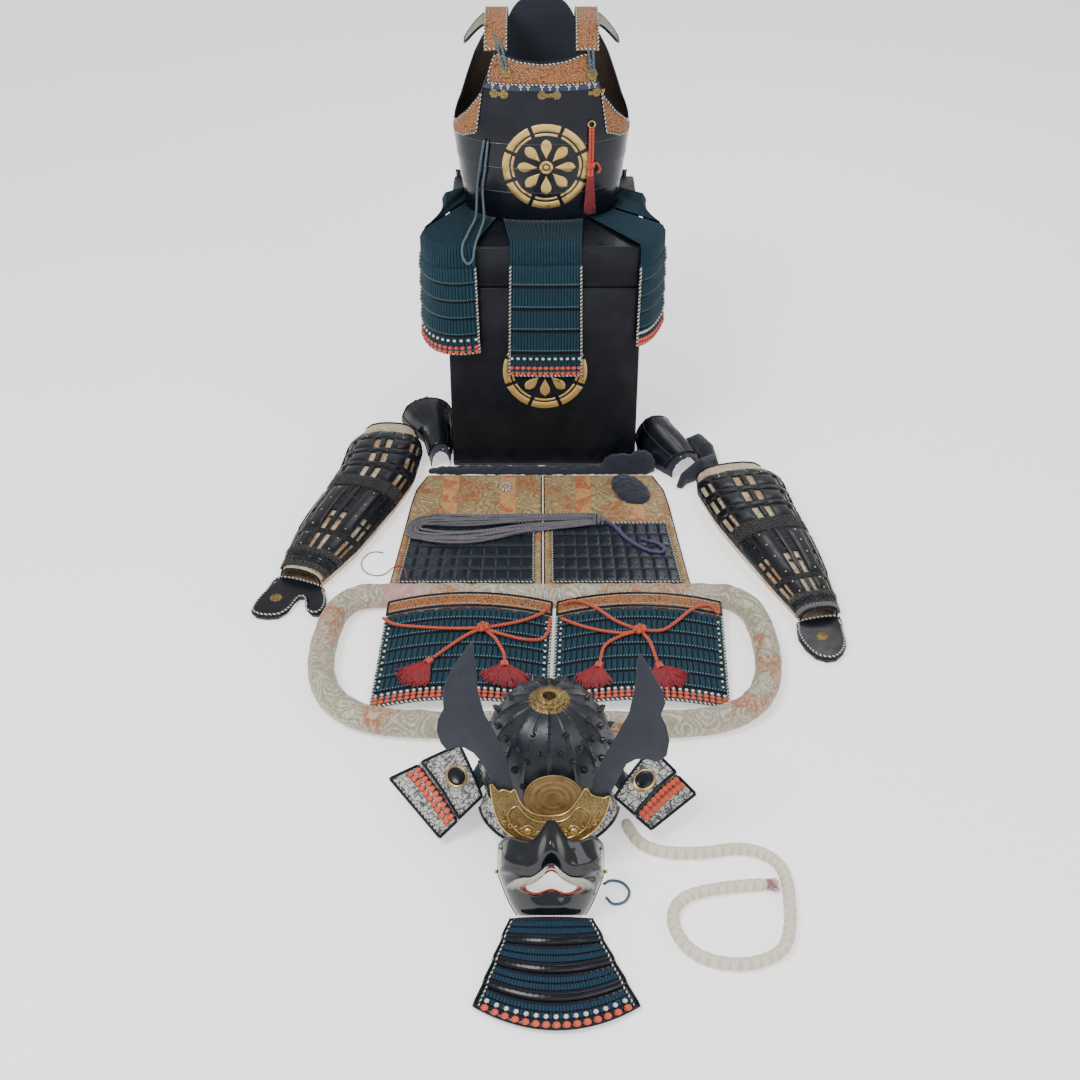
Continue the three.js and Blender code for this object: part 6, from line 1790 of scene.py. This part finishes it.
for row in SODE_PAIR:
    count = 30
    surface = lambda u, y, row=row: sode_point(row, u, y)
    place = raised(surface)
    ys = []
    for k in range(7):
        y0 = -285 + 35 * k
        ys += [y0 + t * 35 for t in (0, 0.06, 0.16, 0.25, 0.4, 0.6, 0.8, 0.94)]
    ys.append(-40)
    build = Build()

    def lace(u, y):
        y2 = min(y, -40.2)
        low = fract((y + 285) / 35) < 0.17
        return place(u, y, sode_relief(y2) + ribs((u + 1) / 2, count, 0.2 if low else 1.1))
    build.grid(lace, rib_steps(-1, 1, count), ys,
               uv=lambda u, y: ((u + 1) / 2 * count, 1 - fract((y + 285) / 35) * 0.999 + 0.0))
    make(row[0] + "_lacing", build, [LACE, LACQUER], replaces=[row[0]], slot="lacing_blue", solid=3.6)

    cap = Build()
    cap_place = lambda u, y, out=0.0, row=row: sode_point(row, u, y, 2.4 + out)
    cap.grid(lambda u, y: cap_place(u, y, 2.2 * power(math.sin(math.pi * clamp((y + 39.6) / 37.6)), 0.35)),
             steps(-1, 1, 50), steps(-39.6, -2, 14))
    make(row[0] + "_cap_leather", cap, [PRINT], replaces=[row[0] + "_cap"], slot="leather_print", solid=4)
    trim = Build()
    for y in (-38.6, -3.2):
        border(trim, [cap_place(u, y, 1.3) for u in steps(-0.985, 0.985, 50)], 2.3, mat=0)
    for u in (-0.985, 0.985):
        border(trim, [cap_place(u, y, 1.6) for y in steps(-38, -4, 8)], 2.3, mat=0)
    for y in (-32.5, -9):
        for i in range(60):
            u = mix(-0.95, 0.95, i / 59)
            p = cap_place(u, y, 2.2)
            trim.slab(p, (Vector((1, 0, -0.3 * u)).normalized(), Vector((0, 1, 0)),
                          Vector((0.3 * u, 0, 1)).normalized()),
                      (1.6, 0.8, 0.5), 1, 0.8)
    # Gilt and navy strip with paired rivets, below the cap
    for u in (-0.985, 0.985):
        border(trim, [place(u, y, sode_relief(y) + 0.6) for y in steps(-284, -42, 50)], 2.3, mat=2)
    border(trim, [place(u, -284.2, 1.8) for u in steps(-0.98, 0.98, 40)], 2.2, mat=2)
    for i in range(11):
        u = mix(-0.93, 0.93, i / 10)
        for dx in (-0.014, 0.014):
            trim.ball(place(u + dx, -44.5, 1.8), (2.1, 2.1, 1.6), sides=8, rings=5, mat=3)
    trim.grid(lambda u, y: place(u, y, 0.9), steps(-0.97, 0.97, 40), [-49.5, -40.5], mat=4)
    for i in range(27):
        u = mix(-0.94, 0.94, i / 26)
        p, a, b, n = frame_at(surface, u, -284 + 25.5)
        trim.ball(p + n * 3.2, (3.6, 3.2, 2.4), (a, b, n), 8, 5, 1)
        for y in (-284 + 7.5, -284 + 17):
            p, a, b, n = frame_at(surface, u, y)
            trim.ball(p + n * 2.6, (5.2, 4.3, 2.3), (a, b, n), 10, 6, 5, 0.6)
    for i in range(12):
        for u in (-0.93, 0.93):
            y = mix(-236, -62, i / 11)
            p, a, b, n = frame_at(surface, u, y)
            trim.ball(p + n * (sode_relief(y) + 1.0), (2.8, 2.8, 2.0), (a, b, n), 7, 5, 1)
    for u0, u1 in ((-1, -0.88), (0.88, 1)):
        trim.grid(lambda u, y: place(u, y, 3.0), steps(u0 * 0.985, u1 * 0.985, 4), steps(-283, -270, 4),
                  mat=3)
    make(row[0] + "_trim", trim, [LACQUER, WHITE_SILK, EDGE, GILT, NAVY, CORAL], slot="lacing_blue")


def on_sode(row, points, lift):
    out = []
    for p in points:
        x, y = p[0], p[1]
        up = p[2] if len(p) > 2 else 0
        v = (y + 285) / 283
        u = clamp((x - mix(row[2], row[1], v)) / 162, -1.2, 1.2)
        out.append(Vector((x, y, max(sode_point(row, u, y).z, 16) + lift + up)))
    return out


SODE_CORDS = [
    (0, "sode_cord_left", (-117, -105), [
        ([(-312, -52, 2), (-286, -76), (-240, -94), (-180, -106), (-117, -105)], "knot"),
        ([(-117, -105), (-80, -92), (-40, -72), (-6, -46, 2), (8, -26, 6)], "object"),
        ([(-117, -105), (-80, -118), (-40, -124), (-8, -116), (6, -92), (10, -60, 3)], "object"),
        ([(-117, -105), (-146, -124), (-180, -156), (-206, -182)], "knot"),
        ([(-117, -105), (-94, -130), (-78, -164), (-74, -186)], "knot")]),
    (1, "sode_cord_right", (180, -112), [
        ([(34, -22, 8), (62, -20, 5.5), (98, -42, 1), (136, -84), (180, -112)], "knot"),
        ([(32, -58, 2), (66, -84), (104, -106), (146, -118), (180, -112)], "knot"),
        ([(180, -112), (222, -110), (252, -82), (286, -44, 3), (318, -28, 4), (336, -44, 2)], "object"),
        ([(180, -112), (140, -128), (112, -150), (102, -190)], "knot"),
        ([(180, -112), (196, -140), (204, -176), (208, -196)], "knot")]),
]
tassels = []
for name, index, x, y, turn, spread, length in (
    ("sode_tassel_1", 0, -212, -189, 232, 34, 66), ("sode_tassel_2", 0, -75, -193, 272, 52, 58),
    ("sode_tassel_3", 1, 101, -197, 250, 40, 56), ("sode_tassel_4", 1, 209, -203, 290, 52, 60),
):
    row = SODE_PAIR[index]
    rng = random.Random(x)
    build = Build()
    for i in range(170):
        place = (i / 169 - 0.5) + rng.uniform(-0.03, 0.03)
        angle = (turn + place * 2.3 * spread) * RAD
        reach = length * rng.uniform(0.78, 1.16) * (1 - 0.25 * abs(place))
        up = rng.uniform(0.4, 4.2)
        line = []
        for t in steps(0.06, 1, 8):
            d = reach * t
            bend = 2.2 * math.sin(t * 17 + i) * t
            px = x + d * math.cos(angle) - bend * math.sin(angle)
            py = y + d * math.sin(angle) + bend * math.cos(angle)
            z = on_sode(row, [(px, max(py, -281))],
                        4.6 + up * (1 - 0.55 * t) + 0.5 * math.sin(t * 20 + i))[0].z
            line.append(Vector((px, py, z)))
        build.tube(line, 0.75, 4)
    c = on_sode(row, [(x + 6 * math.cos(turn * RAD), y + 6 * math.sin(turn * RAD))], 8.0)[0]
    way = Vector((math.cos(turn * RAD), math.sin(turn * RAD), 0))
    across = Vector((-way.y, way.x, 0))
    for k in range(5):
        line = [c + way * (k * 2.6 - 6) + across * (6.4 * math.cos(a)) + Vector((0, 0, 4.6 * math.sin(a)))
                for a in steps(0, 6.2832, 12)][:-1]
        build.tube(curve_points(line, 18, True), 1.7, 6, mat=1, caps=False)
    build.ball(c - way * 6, (6.4, 6.4, 5), (way, across, Vector((0, 0, 1))), 10, 6, 1)
    tassels.append(make(name + "_silk", build, [CRIMSON, ORANGE], replaces=[name], slot="silk_crimson",
                        smooth_angle=180))

for index, node, knot_at, routes in SODE_CORDS:
    row = SODE_PAIR[index]
    c = on_sode(row, [knot_at], 9.6)[0]
    knot = Build()
    for turn, size in ((0.3, 11), (1.35, 11), (2.4, 10)):
        d1, d2 = Vector((math.cos(turn), math.sin(turn), 0)), Vector((-math.sin(turn), math.cos(turn), 0))
        line = [c + d1 * (size * math.cos(a)) + d2 * (5.0 * math.sin(a))
                + Vector((0, 0, 2.2 * math.sin(2 * a)))
                for a in steps(0, 6.2832, 14)][:-1]
        knot.tube(curve_points(line, 34, True), 3.2, 9, caps=False)
    knot = make(node + "_knot", knot, [ORANGE], slot="cord_orange", smooth_angle=180)
    hung = [[knot], [], [], [tassels[2 * index]], [tassels[2 * index + 1]]]
    for k, (route, end) in enumerate(routes):
        free_cord("%s_run_%d" % (node, k + 1), on_sode(row, route, 6.6), 3.2, ORANGE, end,
                  [node] if k == 0 else [], "cord_orange", sides=10, count=90, with_pieces=hung[k])

# ---------------------------------------------------------------- helmet
KX, KY = 6.0, -510.0


def bowl(angle, v, out=0.0):
    r = power(math.cos(v * math.pi / 2), 0.82)
    height = power(math.sin(v * math.pi / 2), 0.9)
    front = 1 - 0.06 * math.cos(angle * RAD)
    return Vector((KX + (112 + out) * r * math.sin(angle * RAD),
                   KY - (119 + out) * r * math.cos(angle * RAD) * front,
                   74 + (155 + out) * height))


def rib_height(angle):
    part = fract(angle / 22.5 + 0.5) - 0.5
    tall = 2.6 if int(round(angle / 22.5)) % 2 == 0 else 1.5
    return tall * math.exp(-((part * 22.5 / 1.5) ** 2)) - 0.8 * (1 - (2 * abs(part)) ** 2) * -1 * 0.6


build = Build()
angles = []
for k in range(16):
    for d in (-11.2, -7, -4, -2.6, -1.6, -0.8, 0, 0.8, 1.6, 2.6, 4, 7):
        angles.append(k * 22.5 + d)
angles = sorted(a + 11.2 for a in angles)
angles = [a - 11.2 for a in angles] + [360 - 11.2]
build.grid(lambda a, v: bowl(a, v, rib_height(a)), angles, [0, 0.02, 0.05] + steps(0.09, 0.88, 26),
           wrap=True)
make("helmet_bowl", build, [IRON, LACQUER], replaces=["kabuto_bowl"], slot="iron_blue", solid=2.4)
studs = Build()
for k in range(8):
    angle = (k + 0.5) * 45
    for d, vs in ((-11, (0.14, 0.32, 0.50)), (11, (0.14, 0.32, 0.50)), (0, (0.22, 0.42, 0.64))):
        for v in vs:
            p = bowl(angle + d, v, 0)
            tip = (bowl(angle + d, v, 9) - p).normalized()
            side = tip.cross(Vector((0, 0, 1))).normalized()
            up = side.cross(tip)
            for r0, r1, h0, h1 in ((6.6, 6.2, -0.6, 1.2), (5.4, 1.6, 1.2, 9.0)):
                base = len(studs.verts)
                for r, h in ((r0, h0), (r1, h1)):
                    for j in range(12):
                        t = j * math.pi / 6
                        studs.verts.append(p + tip * (h + 0.6) + side * (r * math.cos(t))
                                           + up * (r * math.sin(t)))
                for j in range(12):
                    n = (j + 1) % 12
                    studs.face((base + j, base + n, base + 12 + n, base + 12 + j), ((0, 0),) * 4)
                studs.face(tuple(base + 12 + j for j in range(12)), ((0, 0),) * 12)
    for v in steps(0.08, 0.80, 11):
        for d in (-3.4, 3.4):
            p = bowl(k * 45 + d, v, 0.9)
            studs.ball(p, (1.2, 1.2, 1.2), sides=6, rings=4)
make("helmet_studs", studs, [IRON], slot="iron_blue", smooth_angle=35)

# Stepped ring on the crown
crown = Build()
profile = [(35, -9), (35.5, -4), (33.5, -0.5), (29, 1.2), (26.5, 1.6), (26, 4.2), (23.5, 5.2), (20.5, 5.4),
           (19.5, 8.4), (16.5, 9.6), (12.5, 9.8), (10.5, 8.8), (9.6, 4), (9.6, -6)]


def crown_point(a, i):
    r, z = profile[int(round(i))]
    if 2 <= i <= 4:
        r *= 1 + 0.035 * math.cos(a * 16)
    if 5 <= i <= 7:
        r *= 1 + 0.04 * math.cos(a * 12)
    return Vector((KX + r * math.cos(a), KY + 1 + r * math.sin(a), 227 + z))


crown.grid(crown_point, steps(0, 2 * math.pi, 96), list(range(len(profile))), wrap=True)
for k in range(12):
    a = k * math.pi / 6
    crown.ball(crown_point(a, 3) + Vector((0, 0, 0.2)), (2.0, 2.0, 1.3), sides=8, rings=4)
make("crown_ring", crown, [GILT], slot="gilt", smooth_angle=40)

# Front plate of the bowl in gilt, with two rivets
strip = Build()
strip.grid(lambda a, v: bowl(a, v, 4.0 - 1.2 * abs(a / 13) ** 4), steps(-13, 13, 16), steps(0.03, 0.20, 8))
border(strip, [bowl(a, 0.20, 3.6) for a in steps(-13, 13, 14)], 1.3)
border(strip, [bowl(a, 0.03, 3.6) for a in steps(-60, 60, 50)], 2.4, mat=1)
for a in (-9, 9):
    strip.ball(bowl(a, 0.13, 4.6), (4, 4, 3), sides=12, rings=6)
for a in range(0, 360, 8):
    strip.ball(bowl(a, 0.035, 1.6), (1.9, 1.9, 1.9), sides=7, rings=5, mat=0)
make("helmet_front", strip, [GILT, LACQUER], slot="gilt")


# Peak, with its printed leather, rims and rivets
def peak(angle, v, out=0.0):
    p = bowl(angle, 0, -1)
    reach = 38 * power(math.cos(angle * RAD * 1.15), 0.5)
    p += Vector((math.sin(angle * RAD) * 0.75, -math.cos(angle * RAD), 0)) * (v * reach)
    p.z = 73.5 - power(v, 1.3) * 30 + out
    return p


build = Build()
build.grid(lambda a, w: peak(a, 1 - w), steps(-66, 66, 60), steps(0, 1, 14))
make("peak_leather", build, [WHITE_PRINT, LACQUER], replaces=["kabuto_peak"], slot="leather_white",
     solid=2.3)
trim = Build()
border(trim, [peak(a, 1.0, -1.0) for a in steps(-65.5, 65.5, 60)], 3.0, mat=0, spacing=5)
border(trim, [peak(a, 0.80, 1.4) for a in steps(-60, 60, 50)], 1.2, mat=1)
border(trim, [peak(a, 0.12, 1.2) for a in steps(-62, 62, 50)], 1.8, mat=0)
for a in (-44, -22, 0, 22, 44):
    trim.ball(peak(a, 0.42, 2.0), (4.2, 4.2, 3.0), sides=12, rings=6, mat=2)
    trim.ball(peak(a, 0.42, 1.0), (6.4, 6.4, 1.6), sides=12, rings=5, mat=2)
make("peak_trim", trim, [LACQUER, EDGE, GILT], slot="lacquer_black")


# Neck guard
def neck(angle, v):
    t = 1 - v
    back = -math.cos(angle * RAD)
    side = abs(math.sin(angle * RAD))
    flare = t * mix(56, 4, clamp(back)) * (0.4 + 0.6 * side) - 1
    return Vector((KX + (112 + flare) * math.sin(angle * RAD),
                   KY - (119 + min(flare, 5 + 4 * t)) * math.cos(angle * RAD), mix(1.9, 73.4, v)))


def lame_relief(v, lames, first, tall, part):
    k = min(int(v * lames), lames - 1)
    f = v * lames - k
    start = first if k == 0 else 0
    return mix(start, tall, f / part) if f < part else mix(tall, 0, (f - part) / (1 - part))


place = raised(neck)
count = 64
vs = []
for k in range(3):
    vs += [(k + t) / 3 for t in (0.0, 0.06, 0.12, 0.3, 0.6, 0.9)]
vs.append(0.9999)
build = Build()
build.grid(lambda a, v: place(a, min(v, 0.999), lame_relief(v, 3, 1, 2.2, 0.12)
                              + (0 if fract(v * 3) < 0.2 else ribs((a - 74) / 212, count, 0.8))),
           rib_steps(74, 286, count), vs, uv=lambda a, v: ((a - 74) / 212 * count, 1 - fract(v * 3)))
make("neck_guard", build, [LACE, LACQUER], replaces=["kabuto_shikoro"], slot="lacing_blue", solid=2.2)
trim = Build()
for k in range(3):
    border(trim, [place(a, k / 3 + 0.02, 1.6) for a in steps(75, 285, 90)], 1.7, mat=0, spacing=6)
for a in (74.8, 285.2):
    border(trim, [place(a, v, 1.5) for v in steps(0.02, 0.98, 12)], 2.2, mat=0)
for i in range(54):
    a = mix(78, 282, i / 53)
    trim.ball(place(a, 0.12, 3.0), (1.9, 1.9, 1.9), sides=6, rings=4, mat=1)
make("neck_trim", trim, [LACQUER, WHITE_SILK], slot="lacquer_black")

# Turned-back ends
for name, inner, outer, low, near in (
    ("left", (-142, -470, 92), (-262, -512, 56), (-172, -612, 18), (-101, -567.4, 67.5)),
    ("right", (176, -478, 92), (250, -545, 52), (172, -606, 31), (110.4, -569.4, 68)),
):
    a, b, c, d = (Vector(p) for p in (inner, outer, low, near))
    left = name == "left"

    def wing(u, v, a=a, b=b, c=c, d=d):
        p = d.lerp(c, u).lerp(a.lerp(b, u), v)
        p.z += 8 * math.sin(math.pi * clamp(u)) * math.sin(math.pi * clamp(v))
        return p
    base = (lambda u, v, wing=wing: wing(1 - u, v)) if left else wing
    place = raised(base)
    edge_at = 0.43 if left else 0.57

    def tier(u):
        inside = u > edge_at if left else u < edge_at
        return 4.0 if inside else 0.0
    us = sorted(set(steps(0, 1, 26) + [edge_at - 0.012, edge_at + 0.012]))
    build = Build()
    build.grid(lambda u, v: place(u, v, tier(u) * 1.0), us, steps(0, 1, 18))
    make("wing_leather_" + name, build, [WHITE_PRINT, BROWN], replaces=["fukigaeshi_" + name],
         slot="leather_white", solid=3.6)
    trim = Build()
    for lo_u, hi_u, lift in ((0.0, edge_at - 0.02, 0.4), (edge_at + 0.02, 1.0, 0.4)):
        lift += tier((lo_u + hi_u) / 2)
        line = [place(u, 0.012, lift) for u in steps(lo_u + 0.012, hi_u - 0.012, 12)]
        line += [place(hi_u - 0.012, v, lift) for v in steps(0.05, 0.95, 12)]
        line += [place(u, 0.988, lift) for u in steps(hi_u - 0.012, lo_u + 0.012, 12)]
        line += [place(lo_u + 0.012, v, lift) for v in steps(0.95, 0.05, 12)]
        border(trim, line, 2.7, closed=True, spacing=5)
        line = [place(mix(lo_u, hi_u, 0.09), v, lift + 0.6) for v in steps(0.08, 0.92, 12)]
        border(trim, line, 1.0, mat=1)
    for k in range(10):
        v = mix(0.1, 0.9, k / 9)
        u = 0.25 if left else 0.75
        p, e1, e2, n = frame_at(base, u, v)
        trim.ball(p + n * 1.9, (6.4, 5.4, 2.6), (e1, e2, n), 10, 6, 2, 0.6)
        q = frame_at(base, u + (0.11 if left else -0.11), v)[0]
        trim.ball(q + n * 1.9, (6.0, 5.2, 2.4), (e1, e2, n), 8, 5, 2, 0.6)
    p, e1, e2, n = frame_at(base, 0.74 if left else 0.28, 0.5)
    trim.ball(p + n * 4.6, (15, 19, 4.5), (e1, e2, n), 20, 8, 0)
    trim.ball(p + n * 4.2, (18, 22, 3.0), (e1, e2, n), 20, 8, 3)
    make("wing_trim_" + name, trim, [LACQUER, EDGE, CORAL, GILT_PLAIN], slot="leather_white")

# Horns, base and disc
for node in ("kuwagata_left", "kuwagata_right"):
    dressed(node, [HORN], 0.9, 2, slot="iron_blue")


def lean(x, s, d):
    return Vector((x, -652 + 0.446 * s - 0.895 * d, 106 + 0.895 * s + 0.446 * d))


BASE_OUTLINE = [(-88, 58), (-76, 47), (-68, 50), (-56, 46), (-50, 50), (-42, 30), (-30, 16), (-12, 8),
                (18, 8),
                (36, 14), (50, 30), (64, 52), (72, 42), (80, 38), (92, 36), (102, 38), (96, 12), (82, -14),
                (60, -32), (34, -42), (6, -45), (-22, -42), (-48, -32), (-70, -14), (-82, 14)]
dressed("kuwagata_base", [GILT], 0.7, 2, slot="gilt")
trim = Build()
middle = (6, 0)
line = []
for x, s in BASE_OUTLINE:
    d = Vector((middle[0] - x, middle[1] - s)).normalized()
    line.append(lean(x + d.x * 2.2, s + d.y * 2.2, 8.2))
border(trim, line, 1.4, mat=0, closed=True, spacing=3)
inner = [(-60, 6), (-46, 22), (-30, 6), (-12, -3), (18, -3), (36, 4), (52, 20), (70, 8), (60, -16),
         (34, -30),
         (6, -33), (-22, -30), (-46, -18)]
border(trim, [lean(x, s, 8.4) for x, s in inner], 1.3, mat=0, closed=True, spacing=3)
rng = random.Random(11)
for k in range(7):
    for sgn in (-1, 1):
        x = 6 + sgn * (16 + k * 9)
        s = -26 + 0.0042 * (k * 9 + 10) ** 2
        swirl = []
        for t in steps(0, 1, 14):
            r = 5.4 * (1 - 0.75 * t)
            w = t * 8.5 * sgn + 1.2
            swirl.append(lean(x + r * math.cos(w), s + 4 + r * math.sin(w), 8.0))
        trim.tube(swirl, lambda t: 1.5 * (1 - 0.6 * t), 6, mat=0)
for x, s in ((-28, -18), (8, -24), (44, -18)):
    trim.ball(lean(x, s, 8.6), (6.8, 6.8, 6.0), (Vector((1, 0, 0)), Vector((0, 0.446, 0.895)),
                                               Vector((0, -0.895, 0.446))), 16, 8, 1)
    ring_line = [lean(x + 8.4 * math.cos(a), s + 8.4 * math.sin(a), 8.4) for a in steps(0, 6.2832, 16)][:-1]
    trim.tube(curve_points(ring_line, 24, True), 1.2, 6, caps=False)
make("horn_base_trim", trim, [GILT_PLAIN, GILT_PLAIN], slot="gilt", smooth_angle=60)
disc = Build()


def disc_point(a, r):
    rise = 0.5 * math.cos(r * math.pi * 9) if 0.25 < r < 0.95 else 0
    dish = 1.8 * (1 - r * r)
    return lean(12 + 46 * r * math.cos(a), 34 + 36.8 * r * math.sin(a),
                6.0 + dish + rise * 0.6 - (1.5 if r > 0.99 else 0))


disc.grid(disc_point, steps(0, 2 * math.pi, 72), [0.001] + steps(0.04, 0.97, 46) + [1.0], wrap=True)
rim_line = [lean(12 + 45.4 * math.cos(a), 34 + 36.2 * math.sin(a), 6.0) for a in steps(0, 6.2832, 40)][:-1]
disc.tube(curve_points(rim_line, 90, True), 1.7, 8, caps=False)
make("helmet_disc", disc, [DISC], slot="gilt", smooth_angle=60)


# ---------------------------------------------------------------- half mask
def mask(angle, v, out=0.0):
    t = angle * RAD
    jaw = 0.6 + 0.4 * power(min(1, v * 1.7), 0.7)
    half = 82 * jaw + out
    depth = 78 * (0.55 + 0.45 * min(1, v * 1.5)) + out
    nose = math.exp(-((angle / 13) ** 2))
    cheek = math.exp(-(((abs(angle) - 52) / 20) ** 2))
    height = v * (108 + 34 * nose + 10 * cheek)
    chin = 10 * math.exp(-(((v - 0.12) / 0.12) ** 2)) * power(math.cos(t), 8)
    nose_out = 26 * nose * math.exp(-(((v - 0.72) / 0.2) ** 2))
    cheek_out = 7 * cheek * math.exp(-(((v - 0.68) / 0.18) ** 2))
    forward = depth * math.cos(t) + nose_out * 0.9 + (cheek_out + chin) * 0.8
    p = Vector((8 + (half + cheek_out) * math.sin(t), -766, 9))
    return (p + Vector((0, math.sin(50 * RAD), math.cos(50 * RAD))) * height
            + Vector((0, -math.cos(50 * RAD), math.sin(50 * RAD))) * forward)


place = raised(mask, du=0.5, dv=0.004)


def mouth(angle, v):
    """Below 1 inside the open mouth."""
    x = angle / 34
    middle = 0.355 + 0.03 * math.cos(angle * RAD * 2)
    return math.hypot(x, (v - middle) / (0.105 * max(0.3, 1 - 0.25 * x * x)))


build = Build()
us, vs = steps(-96, 96, 96), steps(0.004, 1, 72)
base = len(build.verts)
for a in us:
    for v in vs:
        m = mouth(a, v)
        lip = 2.6 * bump(m, 1.14, 0.13)
        crease = (1.6 * bump(abs(a) - 30 - 30 * (0.75 - v), 0, 4.5)
                  * smooth((v - 0.45) * 6) * smooth((0.95 - v) * 8))
        jowl = 1.4 * math.sin(v * 40 - abs(a) * 0.05) * bump(abs(a), 60, 16) * bump(v, 0.55, 0.22)
        build.verts.append(place(a, v, lip - crease + jowl))
n = len(vs)
for i in range(len(us) - 1):
    for j in range(n - 1):
        m = mouth((us[i] + us[i + 1]) / 2, (vs[j] + vs[j + 1]) / 2)
        if m < 1.0:
            continue
        ids = (base + i * n + j, base + (i + 1) * n + j, base + (i + 1) * n + j + 1, base + i * n + j + 1)
        build.face(ids, ((0, 0), (1, 0), (1, 1), (0, 1)), 2 if m < 1.2 else 0)
obj = make("mask_shell", build, [LACQUER_MASK, TAN, LIP, LIP], replaces=["menpo"], slot="lacquer_black",
           solid=2.3, smooth_angle=60)
obj.modifiers["wall"].material_offset = 1
obj.modifiers["wall"].material_offset_rim = 0
trim = Build()
border(trim, [place(a, 0.985, 0) for a in steps(-95, 95, 90)], 2.0, mat=0, spacing=4)
for s in (-1, 1):
    border(trim, [place(s * 95, v, 0) for v in steps(0.02, 0.98, 24)], 2.0, mat=0, spacing=4)
line = []
for a in steps(0, 2 * math.pi, 40)[:-1]:
    v = 0.37 + 0.105 * 0.95 * math.sin(a)
    line.append(place(34 * 0.97 * math.cos(a), v, 0.6))
border(trim, line, 1.7, mat=1, closed=True, spacing=3)
for s in (-1, 1):
    p = place(s * 88, 0.62, 3)
    trim.ball(p, (3.4, 3.4, 3.4), sides=10, rings=6, mat=2)
    p = place(s * 70, 0.9, 3)
    trim.ball(p, (2.6, 2.6, 2.6), sides=10, rings=6, mat=2)
make("mask_trim", trim, [LACQUER_MASK, LIP, GILT_PLAIN], slot="lacquer_black")
whiskers = Build()
rng = random.Random(4)
for i in range(420):
    s = 1 if i % 2 else -1
    t = rng.uniform(0.02, 1)
    root_a = s * (3 + 30 * t)
    root = place(root_a, 0.52 - 0.03 * t + rng.uniform(-0.012, 0.012), 1.0)
    out_way = (place(root_a, 0.52, 12) - place(root_a, 0.52, 0)).normalized()
    reach = rng.uniform(16, 30) * (0.75 + 0.35 * t)
    side = Vector((s, 0, 0))
    down = (place(root_a, 0.42, 0) - place(root_a, 0.52, 0)).normalized()
    line = [root + out_way * (3.2 * math.sin(w * 2.4)) + side * (reach * w * (0.35 + 0.6 * t))
            + down * (reach * 0.8 * w * w * (1 - 0.35 * t)) + Vector((0, 0, rng.uniform(-0.5, 0.5)))
            for w in steps(0, 1, 6)]
    whiskers.tube(line, lambda w: 0.5 * (1 - 0.6 * w), 4)
make("mask_moustache", whiskers, [HAIR], slot="cord_white", smooth_angle=180)


# ---------------------------------------------------------------- throat guard
def bib(u, v):
    t = 1 - v
    half = 62 + 61 * t
    return Vector((mix(8, 15, t) + u * half, mix(-796.2, -975.3, t) + 44 * u * u * (0.35 + 0.65 * t),
                   mix(44, 8.5, power(t, 0.8)) - (1 - t) * 22 * u * u - 3.2 * t * u * u))


place = raised(bib)
count = 22
vs = []
for k in range(4):
    vs += [(k + t) / 4 for t in (0.0, 0.07, 0.2, 0.35, 0.6, 0.85, 0.97)]
vs.append(0.9985)
THROAT = lacing_material("lacing_throat", (0.008, 0.030, 0.058), (0.020, 0.062, 0.100), lame=False)
build = Build()
build.grid(lambda u, v: place(u, v, lame_relief(v, 4, 1, 3.4, 0.2)
                              + (0 if fract(v * 4) < 0.22 else ribs((u + 1) / 2, count, 0.8))),
           rib_steps(-1, 1, count), vs, mat=0, uv=lambda u, v: ((u + 1) / 2 * count, 1 - fract(v * 4)))
make("throat_lames", build, [LACQUER], replaces=["yodare_kake"], slot="lacing_blue", solid=3.6)
trim = Build()
for k in range(4):
    for f0, f1 in ((0.34, 0.54), (0.62, 0.82)):
        v0, v1 = (k + f0) / 4, (k + f1) / 4
        trim.grid(lambda u, v: place(u, v, lame_relief(v, 4, 1, 3.4, 0.2) + 1.1
                                     + ribs((u + 1) / 2, 44, 0.7)),
                  rib_steps(-0.95, 0.95, 44), [v0, mix(v0, v1, 0.15), mix(v0, v1, 0.85), v1], mat=1,
                  uv=lambda u, v: ((u + 1) * 22, v * 4))
    border(trim, [place(u, (k + 0.03) / 4, 2.0) for u in steps(-0.985, 0.985, 40)], 2.1, mat=0)
    border(trim, [place(u, (k + 0.2) / 4, 3.9) for u in steps(-0.97, 0.97, 40)], 1.1, mat=0)
for s in (-1, 1):
    border(trim, [place(s * 0.982, v, lame_relief(v, 4, 1, 3.4, 0.2) + 0.8) for v in steps(0.01, 0.99, 40)],
           2.4, mat=0)
    border(trim, [place(s * 0.93, v, lame_relief(v, 4, 1, 3.4, 0.2) + 1.0) for v in steps(0.03, 0.97, 40)],
           1.5, mat=4)
for i in range(15):
    u = mix(-0.86, 0.86, i / 14)
    for v, mat, lift in ((0.105, 2, 3.4), (0.036, 3, 2.8)):
        p, e1, e2, nn = frame_at(bib, u, v)
        size = (6.6, 5.6, 3.2) if mat == 3 else (4.0, 3.8, 2.8)
        trim.ball(p + nn * lift, size, (e1, e2, nn), 12, 6, mat, 0.75)
make("throat_trim", trim, [LACQUER, THROAT, WHITE_SILK, CORAL, EDGE], slot="lacing_blue")

# Ear loop of the mask, on the right
line = [(92, -700, 8), (104, -690, 5), (122, -694, 4), (132, -712, 4), (124, -732, 4), (106, -738, 5),
        (94, -728, 9)]
free_cord("mask_ear_loop", line, 2.4, SLATE, "object", [], "cord_slate", sides=8, count=60)

# ---------------------------------------------------------------- sizes and end
bpy.context.view_layer.update()
with open("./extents.json", "w") as out:
    json.dump({"cad": [list(c) for c in CAD_BOX], "scene": [list(c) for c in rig.bounds()]}, out)
